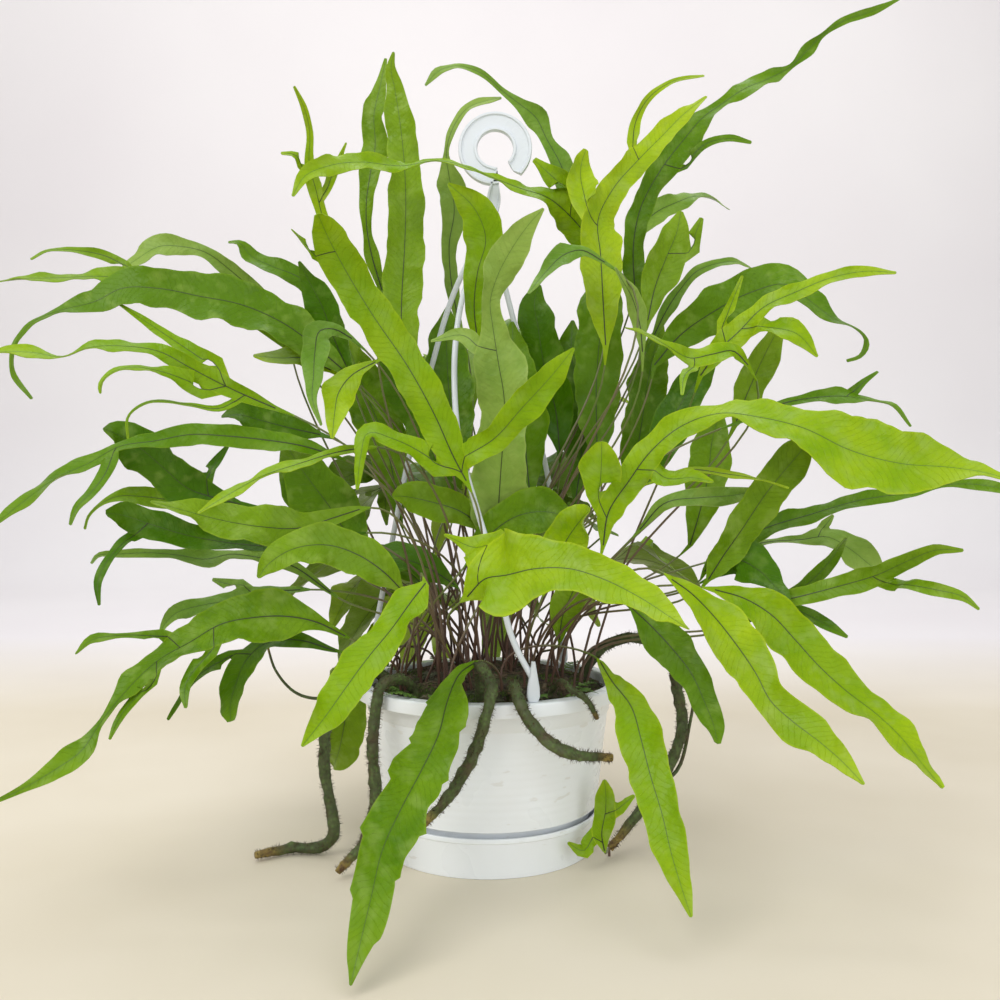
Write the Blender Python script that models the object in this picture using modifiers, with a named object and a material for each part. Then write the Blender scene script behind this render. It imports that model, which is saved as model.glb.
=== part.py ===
"""Kangaroo paw fern in a white hanging pot, standing on its saucer.

Metres, +Z up. The origin is the centre of the saucer's flat underside, and the pot's axis is the Z axis.
The front, which the photograph shows, faces -Y. Sizes in the tables are millimetres.
"""
import math

import bmesh
import bpy
import numpy as np
from mathutils import Matrix, Vector

MM = 0.001
GAP = 0.3

# Pot and saucer
SIDES_ROUND = 32
RIM_RADIUS = 100.0
RIM_INNER = 90.0
RIM_TOP = 123.0
RIM_SKIRT = 9.5
RIM_THICK = 2.5
RIM_BEND = 5.0
LEDGE = 1.5
WALL = 2.2
BODY_TOP_RADIUS = 92.0
BODY_LOW_RADIUS = 82.0
BODY_LOW = 32.5
FOOT_RADIUS = 77.0
FOOT_LOW_RADIUS = 73.0
FLOOR_RADIUS = 71.6
FLOOR_TOP = 5.5
FLOOR_UNDER = 3.1
SAUCER_TOP_RADIUS = 83.0
SAUCER_LOW_RADIUS = 79.5
SAUCER_HEIGHT = 28.5
SAUCER_FLOOR = 2.8
SAUCER_FLOOR_RADIUS = 77.2
SAUCER_WALL = 2.0
DRAIN_RADIUS = 4.0
DRAIN_CIRCLE = 48.0
DRAINS = 5

# Soil
SOIL_TOP = ((0, 129.5), (40, 128.0), (75, 120.0), (88.6, 115.5))
PLANTING_DEPTH = 14.0
CUT_ABOVE = 12.0
PLANTING_RADIUS = 74.0
PLANTING_RINGS = ((19, 6), (37, 12), (55, 16), (73, 21))
PLANTING_PULL = 0.38
CROWN_RADIUS = 4.6
CROWN_SIDES = 5
CROWN_TURN = 0.23
CROWN_DEPTH = 12.0
CROWN_RISE = 2.0
CROWN_SPREAD = 2.0
CROWN_GAP = 12.0

# Hanger
HOOK_ACROSS = 5.0
HOOK_HEIGHT = 525.0
HOOK_OUTER = 28.0
HOOK_INNER = 13.6
HOOK_TIP_ANGLE = -50.0
HOOK_SHANK_ANGLE = 276.0
SHANK_LENGTH = 66.0
SHANK_WIDTH = 10.0
HOOK_STEPS = 16
PLATE_THICK = 6.0
STRAND_RADIUS = 1.9
CLIP_CIRCLE = 94.5
CLIP_HEIGHT = 27.0
CLIP_WIDTH = 11.0
CLIP_THICK = 2.6
PEG_RADIUS = 1.7
PEG_LENGTH = 6.0

# Plant
LEAF_THICK = 0.8
STALK_RADIUS = 1.4
RUNNER_STEP = 14.0
RUNNER_ROOT = (87.7, -37.0, 1.0)
ROW = 25.0
COLUMNS = 3
STALK_SIDES = 4
STALK_FREE = 160.0
STALK_ROWS = 3
RIPPLE = 2.4
FOLD = 0.07
WELD = 0.002
LOBE_CLEAR = 3.0
SWEEP = 0.5
MOST_SWEEP = 0.4
STEEP = 50.0
MOST_TILT = 30.0
MOST_WIDENED = 1.3

# The photograph is taken from 760 mm in front of the axis, 261 mm up and 9 mm to the right
VIEW_DISTANCE = 760.0
VIEW_ACROSS = 9.0
VIEW_HEIGHT = 261.0

TONES = {
    "young": (0.30, 0.50, 0.03),
    "leaf": (0.13, 0.33, 0.03),
    "deep": (0.05, 0.18, 0.02),
    "pale": (0.22, 0.36, 0.12),
}
FACES = {
    "front": (0.0, -0.8, 0.6),
    "tilted": (0.0, -0.7, 0.7),
}

# Fronds that the photograph shows: tone, facing, then the blade and its lobes as lists of places.
# A place is (across, up, depth, width): measured at the pot's scale, depth behind the axis.
# A lobe's first place is where it leaves the blade.
SEEN_FRONDS = {
    "paw_front": ("young", "front",
        ((-17, 273, -100, 5), (-26, 290, -100, 20), (-40, 321, -100, 29), (-61, 359, -102, 30),
         (-89, 400, -105, 32), (-110, 435, -110, 30), (-123, 460, -115, 26), (-130, 476, -118, 5)),
        (
            ((-20, 283, -100, 20), (3, 304, -105, 21), (25, 328, -110, 25), (48, 353, -115, 21),
             (65, 374, -120, 2)),
            ((-26, 289, -100, 17), (-48, 297, -103, 18), (-71, 304, -108, 18), (-92, 309, -113, 15),
             (-97, 292, -120, 11), (-100, 266, -124, 2)),
            ((-117, 451, -112, 11), (-134, 459, -116, 9), (-150, 464, -118, 2)),
        )),
    "crested": ("young", "front",
        ((-89, 388, -70, 6), (-113, 439, -70, 10), (-127, 477, -72, 10), (-131, 494, -72, 13),
         (-136, 513, -72, 8), (-136, 540, -72, 6), (-140, 556, -72, 5), (-148, 573, -72, 2)),
        (
            ((-127, 489, -72, 8), (-117, 509, -74, 7), (-108, 530, -76, 2)),
            ((-135, 511, -72, 6), (-146, 520, -74, 6), (-158, 522, -76, 2)),
        )),
    "front_centre": ("young", "tilted",
        ((-16, 185, -128, 8), (-3, 198, -135, 41), (13, 201, -140, 55), (35, 206, -145, 40),
         (62, 206, -148, 29), (85, 199, -150, 30), (115, 184, -152, 26), (138, 169, -153, 14),
         (152, 160, -153, 2)),
        (
            ((1, 201, -136, 20), (-11, 222, -139, 18), (-34, 232, -143, 2)),
        )),
    "low_left": ("young", "front",
        ((-48, 195, -125, 6), (-58, 182, -130, 26), (-73, 161, -138, 30), (-92, 138, -145, 32),
         (-109, 115, -150, 30), (-124, 94, -155, 23), (-142, 71, -158, 2)),
        (
        )),
    "lowest": ("leaf", "front",
        ((-10, 135, -84, 4), (-22, 126, -102, 11), (-31, 106, -122, 33), (-38, 80, -142, 36),
         (-51, 53, -162, 43), (-67, 23, -182, 40), (-81, -8, -199, 38), (-89, -42, -217, 32),
         (-97, -76, -234, 21), (-105, -111, -247, 2)),
        (
        )),
    "low_right": ("young", "front",
        ((85, 135, -72, 5), (94, 120, -97, 14), (109, 100, -120, 27), (116, 76, -137, 35),
         (123, 49, -152, 32), (132, 19, -167, 29), (139, -11, -182, 26), (147, -38, -192, 15),
         (154, -59, -199, 2)),
        (
        )),
    "blunt_low": ("leaf", "front",
        ((-104, 128, 45, 6), (-107, 106, 50, 27), (-111, 80, 54, 32), (-115, 63, 57, 23),
         (-118, 56, 58, 4)),
        (
        )),
    "long_dark_left": ("deep", "front",
        ((-109, 356, -40, 5), (-128, 372, -45, 23), (-155, 392, -50, 35), (-189, 407, -56, 35),
         (-219, 413, -62, 33), (-250, 419, -68, 24), (-279, 419, -72, 27), (-299, 409, -76, 17),
         (-326, 402, -80, 11), (-348, 392, -84, 6), (-361, 372, -88, 6), (-362, 357, -90, 5),
         (-347, 335, -94, 2)),
        (
        )),
    "left_band": ("leaf", "front",
        ((-155, 376, -10, 5), (-181, 397, -15, 12), (-219, 410, -20, 15), (-257, 424, -25, 15),
         (-292, 428, -30, 14), (-326, 427, -34, 11), (-356, 426, -38, 9), (-383, 423, -42, 2)),
        (
            ((-276, 430, -28, 8), (-292, 444, -32, 7), (-315, 448, -35, 5), (-335, 448, -38, 3),
             (-348, 441, -40, 2)),
        )),
    "grey_arch": ("pale", "front",
        ((-151, 376, 20, 5), (-172, 410, 20, 12), (-195, 432, 15, 14), (-216, 447, 10, 9),
         (-234, 451, 8, 11), (-250, 451, 5, 17), (-266, 442, 0, 14), (-279, 433, -3, 2)),
        (
        )),
    "hooked_left": ("leaf", "front",
        ((-109, 372, 5, 5), (-124, 407, 0, 18), (-143, 427, -5, 14), (-165, 436, -8, 14),
         (-181, 444, -10, 14), (-190, 454, -12, 5), (-198, 454, -14, 2)),
        (
        )),
    "dark_upright": ("deep", "front",
        ((-105, 353, -25, 5), (-117, 380, -28, 21), (-127, 407, -30, 26), (-137, 426, -32, 15),
         (-144, 440, -34, 2)),
        (
        )),
    "left_paw": ("young", "front",
        ((-162, 328, -60, 4), (-185, 338, -64, 11), (-208, 349, -68, 15), (-227, 359, -72, 15),
         (-250, 371, -76, 12), (-276, 375, -80, 11), (-304, 374, -84, 11), (-324, 367, -86, 4),
         (-345, 370, -88, 12), (-365, 371, -90, 11), (-379, 370, -92, 2)),
        (
            ((-208, 351, -66, 18), (-227, 371, -60, 23), (-246, 384, -56, 21), (-265, 395, -53, 17),
             (-282, 408, -50, 2)),
            ((-225, 356, -72, 12), (-236, 352, -75, 12), (-254, 357, -78, 11), (-272, 359, -82, 8),
             (-288, 354, -86, 6), (-295, 345, -88, 5), (-295, 339, -88, 2)),
            ((-189, 339, -65, 5), (-203, 328, -64, 5), (-230, 331, -66, 4), (-257, 333, -68, 3),
             (-274, 321, -70, 3), (-274, 304, -72, 2)),
        )),
    "long_left": ("leaf", "front",
        ((-120, 293, -70, 4), (-140, 299, -72, 11), (-170, 304, -75, 14), (-200, 307, -78, 14),
         (-227, 308, -80, 15), (-254, 303, -84, 11), (-280, 299, -88, 11), (-304, 286, -92, 14),
         (-330, 274, -95, 20), (-352, 258, -98, 15), (-379, 236, -102, 2)),
        (
            ((-288, 296, -88, 11), (-292, 277, -91, 11), (-303, 263, -94, 8), (-314, 251, -96, 5),
             (-318, 239, -98, 2)),
        )),
    "broad_left": ("deep", "front",
        ((-189, 255, -55, 5), (-208, 260, -58, 15), (-228, 267, -60, 32), (-247, 283, -62, 35),
         (-265, 298, -64, 33), (-282, 308, -66, 23), (-293, 312, -68, 2)),
        (
            ((-217, 264, -60, 11), (-210, 283, -58, 9), (-197, 301, -56, 2)),
        )),
    "tailed_left": ("leaf", "front",
        ((-193, 247, -35, 4), (-216, 252, -38, 11), (-242, 258, -42, 14), (-265, 261, -46, 12),
         (-282, 261, -50, 8), (-295, 255, -52, 3), (-304, 246, -54, 2), (-307, 236, -55, 2)),
        (
        )),
    "dark_low_left": ("deep", "front",
        ((-105, 232, -75, 4), (-132, 226, -78, 8), (-166, 223, -82, 11), (-200, 226, -86, 14),
         (-231, 232, -89, 18), (-257, 240, -92, 21), (-279, 247, -94, 17), (-291, 248, -95, 5)),
        (
            ((-265, 242, -93, 11), (-277, 226, -95, 10), (-289, 213, -97, 8), (-297, 196, -99, 6),
             (-296, 178, -100, 2)),
        )),
    "glossy_left": ("leaf", "front",
        ((-98, 251, -90, 5), (-117, 245, -93, 12), (-143, 237, -96, 23), (-174, 238, -99, 30),
         (-204, 243, -102, 29), (-231, 250, -104, 18), (-257, 257, -106, 2)),
        (
        )),
    "bright_strip_left": ("young", "front",
        ((-96, 298, -94, 4), (-117, 294, -98, 9), (-143, 286, -103, 12), (-170, 277, -108, 12),
         (-193, 265, -113, 11), (-221, 248, -118, 2)),
        (
        )),
    "pale_low_left": ("pale", "front",
        ((-120, 188, -60, 3), (-151, 209, -62, 9), (-178, 215, -66, 12), (-195, 217, -69, 11),
         (-216, 213, -72, 17), (-234, 216, -75, 11), (-257, 218, -78, 7), (-282, 217, -81, 5),
         (-297, 216, -84, 4), (-302, 210, -85, 2)),
        (
        )),
    "arched_left": ("leaf", "front",
        ((-67, 191, -95, 5), (-79, 203, -98, 23), (-98, 216, -100, 30), (-122, 224, -103, 27),
         (-149, 221, -106, 23), (-168, 209, -109, 15), (-175, 199, -110, 3)),
        (
        )),
    "lobed_low_left": ("leaf", "front",
        ((-109, 155, -75, 3), (-132, 166, -80, 12), (-155, 170, -84, 30), (-178, 169, -88, 33),
         (-203, 164, -92, 29), (-227, 150, -96, 26), (-250, 137, -100, 27), (-269, 120, -103, 24),
         (-284, 103, -106, 11), (-297, 86, -109, 7), (-309, 68, -112, 17), (-330, 53, -115, 15),
         (-352, 40, -118, 6), (-379, 27, -121, 2)),
        (
            ((-241, 144, -98, 9), (-265, 152, -102, 4), (-284, 155, -104, 4), (-301, 152, -106, 8),
             (-314, 141, -108, 2)),
            ((-215, 156, -96, 14), (-225, 134, -94, 14), (-231, 115, -92, 9), (-230, 100, -91, 2)),
            ((-256, 131, -101, 11), (-262, 111, -100, 11), (-272, 100, -99, 8), (-282, 90, -98, 6),
             (-288, 76, -97, 2)),
        )),
    "blunt_low_left": ("deep", "front",
        ((-117, 144, -55, 3), (-147, 152, -58, 11), (-172, 148, -61, 18), (-185, 135, -64, 23),
         (-192, 118, -66, 23), (-196, 103, -68, 21), (-196, 90, -69, 5)),
        (
            ((-184, 137, -63, 9), (-204, 135, -64, 8), (-219, 126, -64, 8), (-231, 112, -64, 5),
             (-238, 101, -64, 4), (-244, 91, -64, 2)),
        )),
    "corner_left": ("pale", "front",
        ((-143, 190, -30, 4), (-172, 188, -33, 11), (-196, 182, -36, 15), (-219, 178, -39, 12),
         (-238, 172, -42, 11), (-246, 164, -44, 6), (-250, 156, -45, 2)),
        (
            ((-185, 187, -34, 12), (-196, 194, -33, 9), (-210, 198, -32, 2)),
        )),
    "dark_round": ("deep", "front",
        ((-89, 213, -20, 5), (-104, 228, -22, 30), (-122, 255, -24, 47), (-137, 275, -26, 41),
         (-149, 293, -28, 23), (-155, 304, -30, 3)),
        (
        )),
    "hanging_pale": ("pale", "front",
        ((-104, 381, -66, 4), (-117, 388, -70, 11), (-128, 387, -75, 17), (-132, 371, -79, 21),
         (-133, 353, -82, 15), (-134, 336, -84, 7), (-127, 315, -86, 2)),
        (
        )),
    "hanging_bright": ("young", "front",
        ((-86, 363, -78, 3), (-104, 353, -82, 17), (-114, 340, -86, 26), (-117, 325, -89, 18),
         (-119, 305, -92, 2)),
        (
        )),
    "inner_left_a": ("young", "front",
        ((-120, 357, -10, 4), (-140, 366, -14, 15), (-158, 366, -18, 20), (-179, 368, -22, 2)),
        (
        )),
    "inner_left_b": ("deep", "front",
        ((-128, 308, -20, 4), (-151, 313, -22, 18), (-174, 319, -24, 27), (-190, 323, -26, 20),
         (-203, 321, -28, 2)),
        (
        )),
    "tall": ("leaf", "front",
        ((-64, 350, -20, 5), (-66, 376, -20, 27), (-66, 410, -19, 30), (-64, 448, -17, 29),
         (-63, 483, -15, 28), (-64, 513, -13, 24), (-67, 543, -12, 23), (-71, 570, -11, 14),
         (-74, 587, -11, 9), (-72, 599, -12, 2)),
        (
        )),
    "tall_behind": ("leaf", "front",
        ((-81, 418, 15, 5), (-89, 445, 15, 11), (-92, 460, 15, 7), (-93, 483, 15, 11), (-90, 505, 15, 15),
         (-86, 528, 15, 23), (-87, 551, 15, 18), (-82, 574, 15, 9), (-78, 594, 15, 2)),
        (
        )),
    "grey_curled": ("pale", "front",
        ((-23, 395, 20, 5), (-29, 429, 18, 12), (-30, 452, 16, 12), (-26, 479, 14, 20), (-30, 505, 12, 18),
         (-32, 519, 10, 5), (-27, 541, 8, 7), (-16, 556, 6, 8), (0, 562, 4, 6), (10, 564, 2, 2)),
        (
        )),
    "bright_upright": ("young", "front",
        ((-8, 376, -20, 5), (-11, 407, -22, 15), (-8, 433, -24, 23), (-2, 457, -27, 32),
         (-10, 479, -30, 27), (-31, 499, -34, 2)),
        (
        )),
    "centre_grey": ("pale", "front",
        ((5, 213, -60, 5), (7, 243, -62, 38), (9, 274, -65, 47), (11, 304, -67, 38), (12, 334, -70, 38),
         (7, 365, -72, 40), (3, 391, -74, 18), (1, 408, -75, 15), (6, 427, -76, 24), (18, 450, -78, 26),
         (30, 467, -80, 14), (42, 480, -82, 2)),
        (
            ((4, 376, -73, 12), (-18, 383, -70, 11), (-44, 379, -66, 2)),
        )),
    "across": ("young", "front",
        ((88, 410, 20, 5), (82, 447, 12, 23), (63, 473, 4, 26), (45, 488, -4, 18), (24, 495, -12, 11),
         (1, 504, -20, 9), (-22, 513, -28, 6), (-37, 516, -34, 5), (-67, 512, -46, 9), (-96, 515, -60, 15),
         (-122, 512, -78, 15), (-140, 504, -88, 11), (-149, 489, -92, 2)),
        (
            ((54, 482, 0, 21), (43, 498, 0, 23), (36, 511, 0, 18), (34, 517, 0, 5)),
        )),
    "thin_arch": ("pale", "front",
        ((85, 418, 60, 5), (76, 452, 58, 17), (63, 490, 55, 21), (54, 515, 52, 17), (44, 533, 50, 10),
         (36, 549, 48, 17), (24, 559, 46, 9), (12, 568, 44, 5), (-6, 583, 42, 5), (-26, 588, 40, 5),
         (-38, 584, 38, 7), (-48, 573, 36, 2)),
        (
        )),
    "bright_fork": ("young", "front",
        ((89, 376, -24, 5), (87, 410, -24, 26), (85, 445, -24, 33), (83, 471, -22, 30), (94, 494, -18, 21),
         (114, 517, -12, 20), (132, 535, -6, 18), (149, 552, -2, 12), (166, 565, 2, 2)),
        (
            ((85, 473, -22, 17), (72, 494, -24, 18), (70, 512, -25, 18), (74, 525, -26, 4)),
            ((118, 521, -11, 9), (111, 543, -10, 8), (120, 562, -8, 6), (139, 576, -5, 4),
             (164, 581, -2, 2)),
        )),
    "long_top_right": ("leaf", "front",
        ((115, 388, 30, 5), (111, 422, 32, 15), (110, 452, 34, 18), (115, 479, 36, 18), (130, 508, 38, 21),
         (149, 533, 40, 24), (163, 549, 42, 17), (177, 559, 44, 8), (195, 571, 46, 18), (212, 578, 48, 15),
         (230, 588, 50, 4), (243, 601, 52, 10), (253, 611, 54, 4), (269, 622, 56, 6), (290, 629, 58, 6),
         (314, 640, 60, 2)),
        (
            ((139, 513, 38, 8), (155, 522, 36, 8), (167, 530, 34, 6), (182, 533, 32, 5), (200, 530, 30, 2)),
        )),
    "grey_wavy_right": ("pale", "front",
        ((115, 439, 66, 4), (115, 464, 66, 12), (126, 476, 68, 17), (142, 484, 70, 15), (157, 489, 72, 12),
         (170, 487, 74, 9), (183, 479, 76, 2)),
        (
        )),
    "notched_right": ("leaf", "front",
        ((121, 395, 0, 5), (127, 422, 0, 26), (136, 445, 0, 33), (143, 462, 0, 23), (146, 478, 0, 3)),
        (
            ((142, 451, 0, 17), (157, 461, 0, 14), (162, 473, 0, 3)),
        )),
    "arched_right": ("pale", "front",
        ((126, 384, 45, 4), (136, 404, 45, 11), (146, 419, 46, 9), (158, 432, 47, 8), (174, 438, 48, 7),
         (190, 439, 49, 5), (201, 434, 50, 2)),
        (
        )),
    "broad_right": ("deep", "front",
        ((126, 361, -5, 5), (146, 384, -8, 23), (170, 401, -12, 33), (199, 416, -16, 30),
         (226, 422, -20, 33), (246, 408, -24, 23), (264, 395, -27, 11), (278, 389, -29, 6),
         (287, 378, -31, 5), (283, 368, -32, 3), (272, 364, -33, 2)),
        (
        )),
    "bright_paw_right": ("young", "front",
        ((161, 353, -50, 4), (174, 371, -53, 17), (190, 386, -56, 20), (208, 404, -60, 15),
         (233, 416, -64, 14), (260, 427, -68, 11), (286, 432, -71, 7), (310, 431, -74, 2)),
        (
            ((184, 379, -55, 11), (187, 401, -54, 11), (193, 429, -53, 2)),
            ((200, 396, -58, 18), (218, 394, -62, 23), (235, 384, -66, 17), (250, 367, -70, 2)),
        )),
    "pale_curl": ("young", "front",
        ((197, 361, -75, 3), (187, 371, -78, 11), (170, 369, -82, 15), (153, 366, -86, 14),
         (136, 375, -90, 11), (120, 384, -94, 9), (104, 389, -98, 2)),
        (
            ((153, 366, -86, 8), (149, 353, -90, 7), (147, 338, -92, 2)),
        )),
    "upright_right": ("leaf", "front",
        ((187, 315, -20, 4), (196, 338, -22, 26), (206, 361, -24, 26), (216, 381, -26, 20),
         (225, 397, -28, 3)),
        (
        )),
    "small_right": ("leaf", "front",
        ((195, 319, -42, 3), (225, 332, -45, 6), (248, 336, -48, 9), (269, 337, -50, 14),
         (290, 334, -52, 9), (307, 330, -54, 6), (321, 314, -56, 2)),
        (
            ((276, 339, -51, 6), (285, 348, -52, 5), (296, 356, -53, 2)),
        )),
    "paw_right": ("young", "front",
        ((87, 224, -95, 4), (91, 249, -97, 18), (106, 272, -100, 23), (123, 295, -102, 23),
         (146, 314, -105, 23), (176, 324, -108, 26), (206, 321, -111, 29), (239, 313, -114, 32),
         (275, 296, -118, 47), (313, 286, -122, 43), (351, 283, -126, 26), (377, 279, -129, 12),
         (398, 273, -131, 2)),
        (
            ((92, 252, -97, 18), (88, 275, -99, 23), (86, 295, -101, 23), (86, 303, -102, 6)),
            ((117, 286, -101, 15), (134, 275, -106, 17), (155, 275, -110, 14), (171, 272, -113, 2)),
        )),
    "blunt_right": ("leaf", "front",
        ((167, 198, -75, 4), (177, 214, -77, 23), (193, 237, -80, 32), (209, 261, -83, 29),
         (225, 281, -86, 29), (238, 296, -88, 23), (247, 307, -89, 5)),
        (
        )),
    "strap_right": ("leaf", "front",
        ((164, 204, -50, 4), (177, 219, -52, 15), (206, 235, -56, 17), (244, 247, -60, 14),
         (282, 258, -64, 11), (320, 264, -68, 8), (349, 270, -71, 3), (372, 270, -73, 8),
         (389, 267, -75, 8), (401, 263, -76, 2)),
        (
        )),
    "forked_right": ("leaf", "front",
        ((187, 163, -85, 4), (210, 178, -88, 11), (237, 185, -91, 12), (267, 193, -95, 15),
         (294, 201, -98, 17), (316, 211, -101, 12), (339, 220, -104, 8), (361, 220, -107, 2)),
        (
            ((298, 201, -98, 12), (316, 194, -102, 11), (340, 190, -105, 9), (360, 185, -108, 6),
             (373, 175, -110, 2)),
        )),
    "pointed_right": ("leaf", "front",
        ((195, 166, -60, 4), (218, 179, -63, 11), (239, 192, -66, 14), (256, 208, -69, 12),
         (266, 222, -71, 8), (272, 230, -72, 2)),
        (
            ((226, 183, -65, 9), (246, 169, -67, 11), (261, 161, -70, 7), (273, 154, -71, 2)),
        )),
    "strap_fork_right": ("pale", "front",
        ((172, 213, -30, 3), (210, 226, -32, 6), (237, 228, -33, 7), (258, 230, -34, 17),
         (276, 220, -36, 23), (291, 208, -38, 17), (304, 199, -39, 2)),
        (
            ((256, 231, -34, 8), (259, 239, -34, 6), (262, 247, -34, 2)),
        )),
    "low_right_a": ("young", "front",
        ((139, 198, -120, 4), (153, 188, -122, 15), (170, 171, -126, 33), (187, 150, -130, 36),
         (204, 125, -134, 33), (214, 106, -137, 24), (231, 90, -140, 29), (252, 74, -144, 26),
         (269, 59, -147, 15), (285, 42, -150, 3)),
        (
        )),
    "low_right_b": ("young", "front",
        ((172, 190, -90, 4), (193, 184, -93, 18), (215, 171, -96, 30), (233, 152, -99, 33),
         (252, 131, -102, 32), (273, 112, -105, 29), (294, 96, -108, 30), (313, 78, -111, 29),
         (329, 58, -114, 20), (345, 39, -117, 4)),
        (
        )),
    "dark_low_right": ("deep", "front",
        ((109, 176, -60, 4), (123, 163, -65, 23), (139, 146, -72, 29), (155, 125, -80, 23),
         (164, 105, -86, 20), (171, 87, -91, 17), (174, 73, -94, 5)),
        (
        )),
    "centre_dark": ("deep", "front",
        ((83, 289, 20, 5), (82, 312, 20, 27), (82, 350, 18, 35), (85, 388, 16, 35), (87, 418, 14, 27),
         (88, 439, 12, 3)),
        (
        )),
    "pale_right": ("pale", "front",
        ((115, 236, -40, 3), (134, 256, -42, 11), (161, 260, -45, 12), (187, 262, -48, 11),
         (208, 267, -50, 2)),
        (
        )),
    "thin_right": ("young", "front",
        ((130, 274, -75, 3), (153, 281, -77, 5), (180, 278, -80, 6), (205, 274, -83, 5),
         (228, 267, -85, 2)),
        (
        )),
    "dark_right": ("deep", "front",
        ((172, 201, -62, 4), (187, 213, -63, 27), (205, 205, -65, 32), (220, 190, -67, 15),
         (229, 182, -68, 2)),
        (
        )),
    "centre_left_mid": ("leaf", "front",
        ((-3, 236, -42, 4), (-20, 249, -44, 20), (-44, 257, -47, 24), (-64, 261, -49, 18),
         (-73, 261, -50, 3)),
        (
        )),
    "centre_right_mid": ("young", "front",
        ((43, 190, -85, 4), (51, 211, -87, 26), (60, 229, -89, 33), (70, 243, -90, 26), (77, 250, -91, 5)),
        (
        )),
    "pale_hang_top": ("pale", "front",
        ((88, 439, -52, 3), (71, 448, -55, 9), (58, 445, -58, 15), (44, 432, -61, 11), (30, 415, -64, 2)),
        (
        )),
    "pale_top_right": ("pale", "front",
        ((117, 371, -40, 3), (115, 391, -42, 11), (109, 412, -44, 14), (101, 426, -46, 9),
         (96, 435, -47, 2)),
        (
        )),
    "inner_centre": ("deep", "front",
        ((54, 296, 25, 5), (51, 327, 24, 30), (43, 357, 22, 35), (38, 388, 20, 30), (35, 410, 18, 18),
         (39, 422, 17, 2)),
        (
        )),
    "inner_right": ("deep", "front",
        ((123, 274, 15, 4), (134, 304, 14, 26), (146, 331, 13, 29), (161, 353, 12, 20), (174, 371, 11, 2)),
        (
        )),
    "inner_left": ("deep", "front",
        ((-37, 281, 5, 4), (-48, 312, 4, 29), (-64, 342, 3, 30), (-76, 365, 2, 18), (-84, 376, 1, 2)),
        (
        )),
    "inner_far_left": ("leaf", "front",
        ((-67, 243, 24, 4), (-72, 274, 26, 23), (-79, 304, 28, 35), (-91, 334, 30, 36),
         (-102, 363, 31, 24), (-111, 388, 32, 2)),
        (
        )),
    "inner_far": ("deep", "front",
        ((-26, 258, 28, 4), (-26, 289, 30, 24), (-28, 319, 31, 36), (-31, 353, 31, 36), (-32, 384, 30, 24),
         (-31, 406, 29, 2)),
        (
        )),
    "inner_behind": ("leaf", "front",
        ((32, 258, 38, 4), (29, 287, 40, 24), (27, 315, 41, 38), (23, 346, 41, 36), (19, 372, 40, 23),
         (18, 394, 39, 2)),
        (
        )),
    "inner_far_right": ("deep", "front",
        ((66, 258, 50, 4), (70, 287, 52, 26), (70, 315, 53, 38), (66, 346, 53, 38), (63, 372, 52, 24),
         (64, 395, 50, 2)),
        (
        )),
    "inner_side_right": ("leaf", "front",
        ((104, 258, 45, 4), (111, 287, 47, 24), (116, 315, 48, 36), (120, 343, 48, 33), (126, 372, 47, 20),
         (132, 394, 46, 2)),
        (
        )),
    "inner_low_left": ("deep", "front",
        ((-26, 194, -20, 4), (-43, 205, -22, 20), (-64, 213, -24, 30), (-85, 212, -26, 27),
         (-104, 202, -27, 2)),
        (
        )),
    "inner_low_right": ("leaf", "front",
        ((54, 152, -45, 4), (56, 169, -47, 18), (62, 184, -49, 26), (70, 201, -50, 20), (77, 216, -51, 2)),
        (
        )),
    "inner_wavy": ("leaf", "front",
        ((-14, 213, -10, 4), (1, 232, -12, 23), (24, 247, -14, 32), (47, 249, -16, 26), (66, 242, -17, 2)),
        (
        )),
    "inner_side_left": ("deep", "front",
        ((-109, 213, 15, 4), (-124, 236, 17, 23), (-139, 262, 19, 33), (-146, 293, 20, 27),
         (-146, 315, 20, 2)),
        (
        )),
    "inner_right_edge": ("leaf", "front",
        ((153, 224, 15, 4), (161, 251, 17, 23), (167, 277, 18, 32), (170, 304, 18, 26), (177, 328, 18, 2)),
        (
        )),
}

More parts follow.
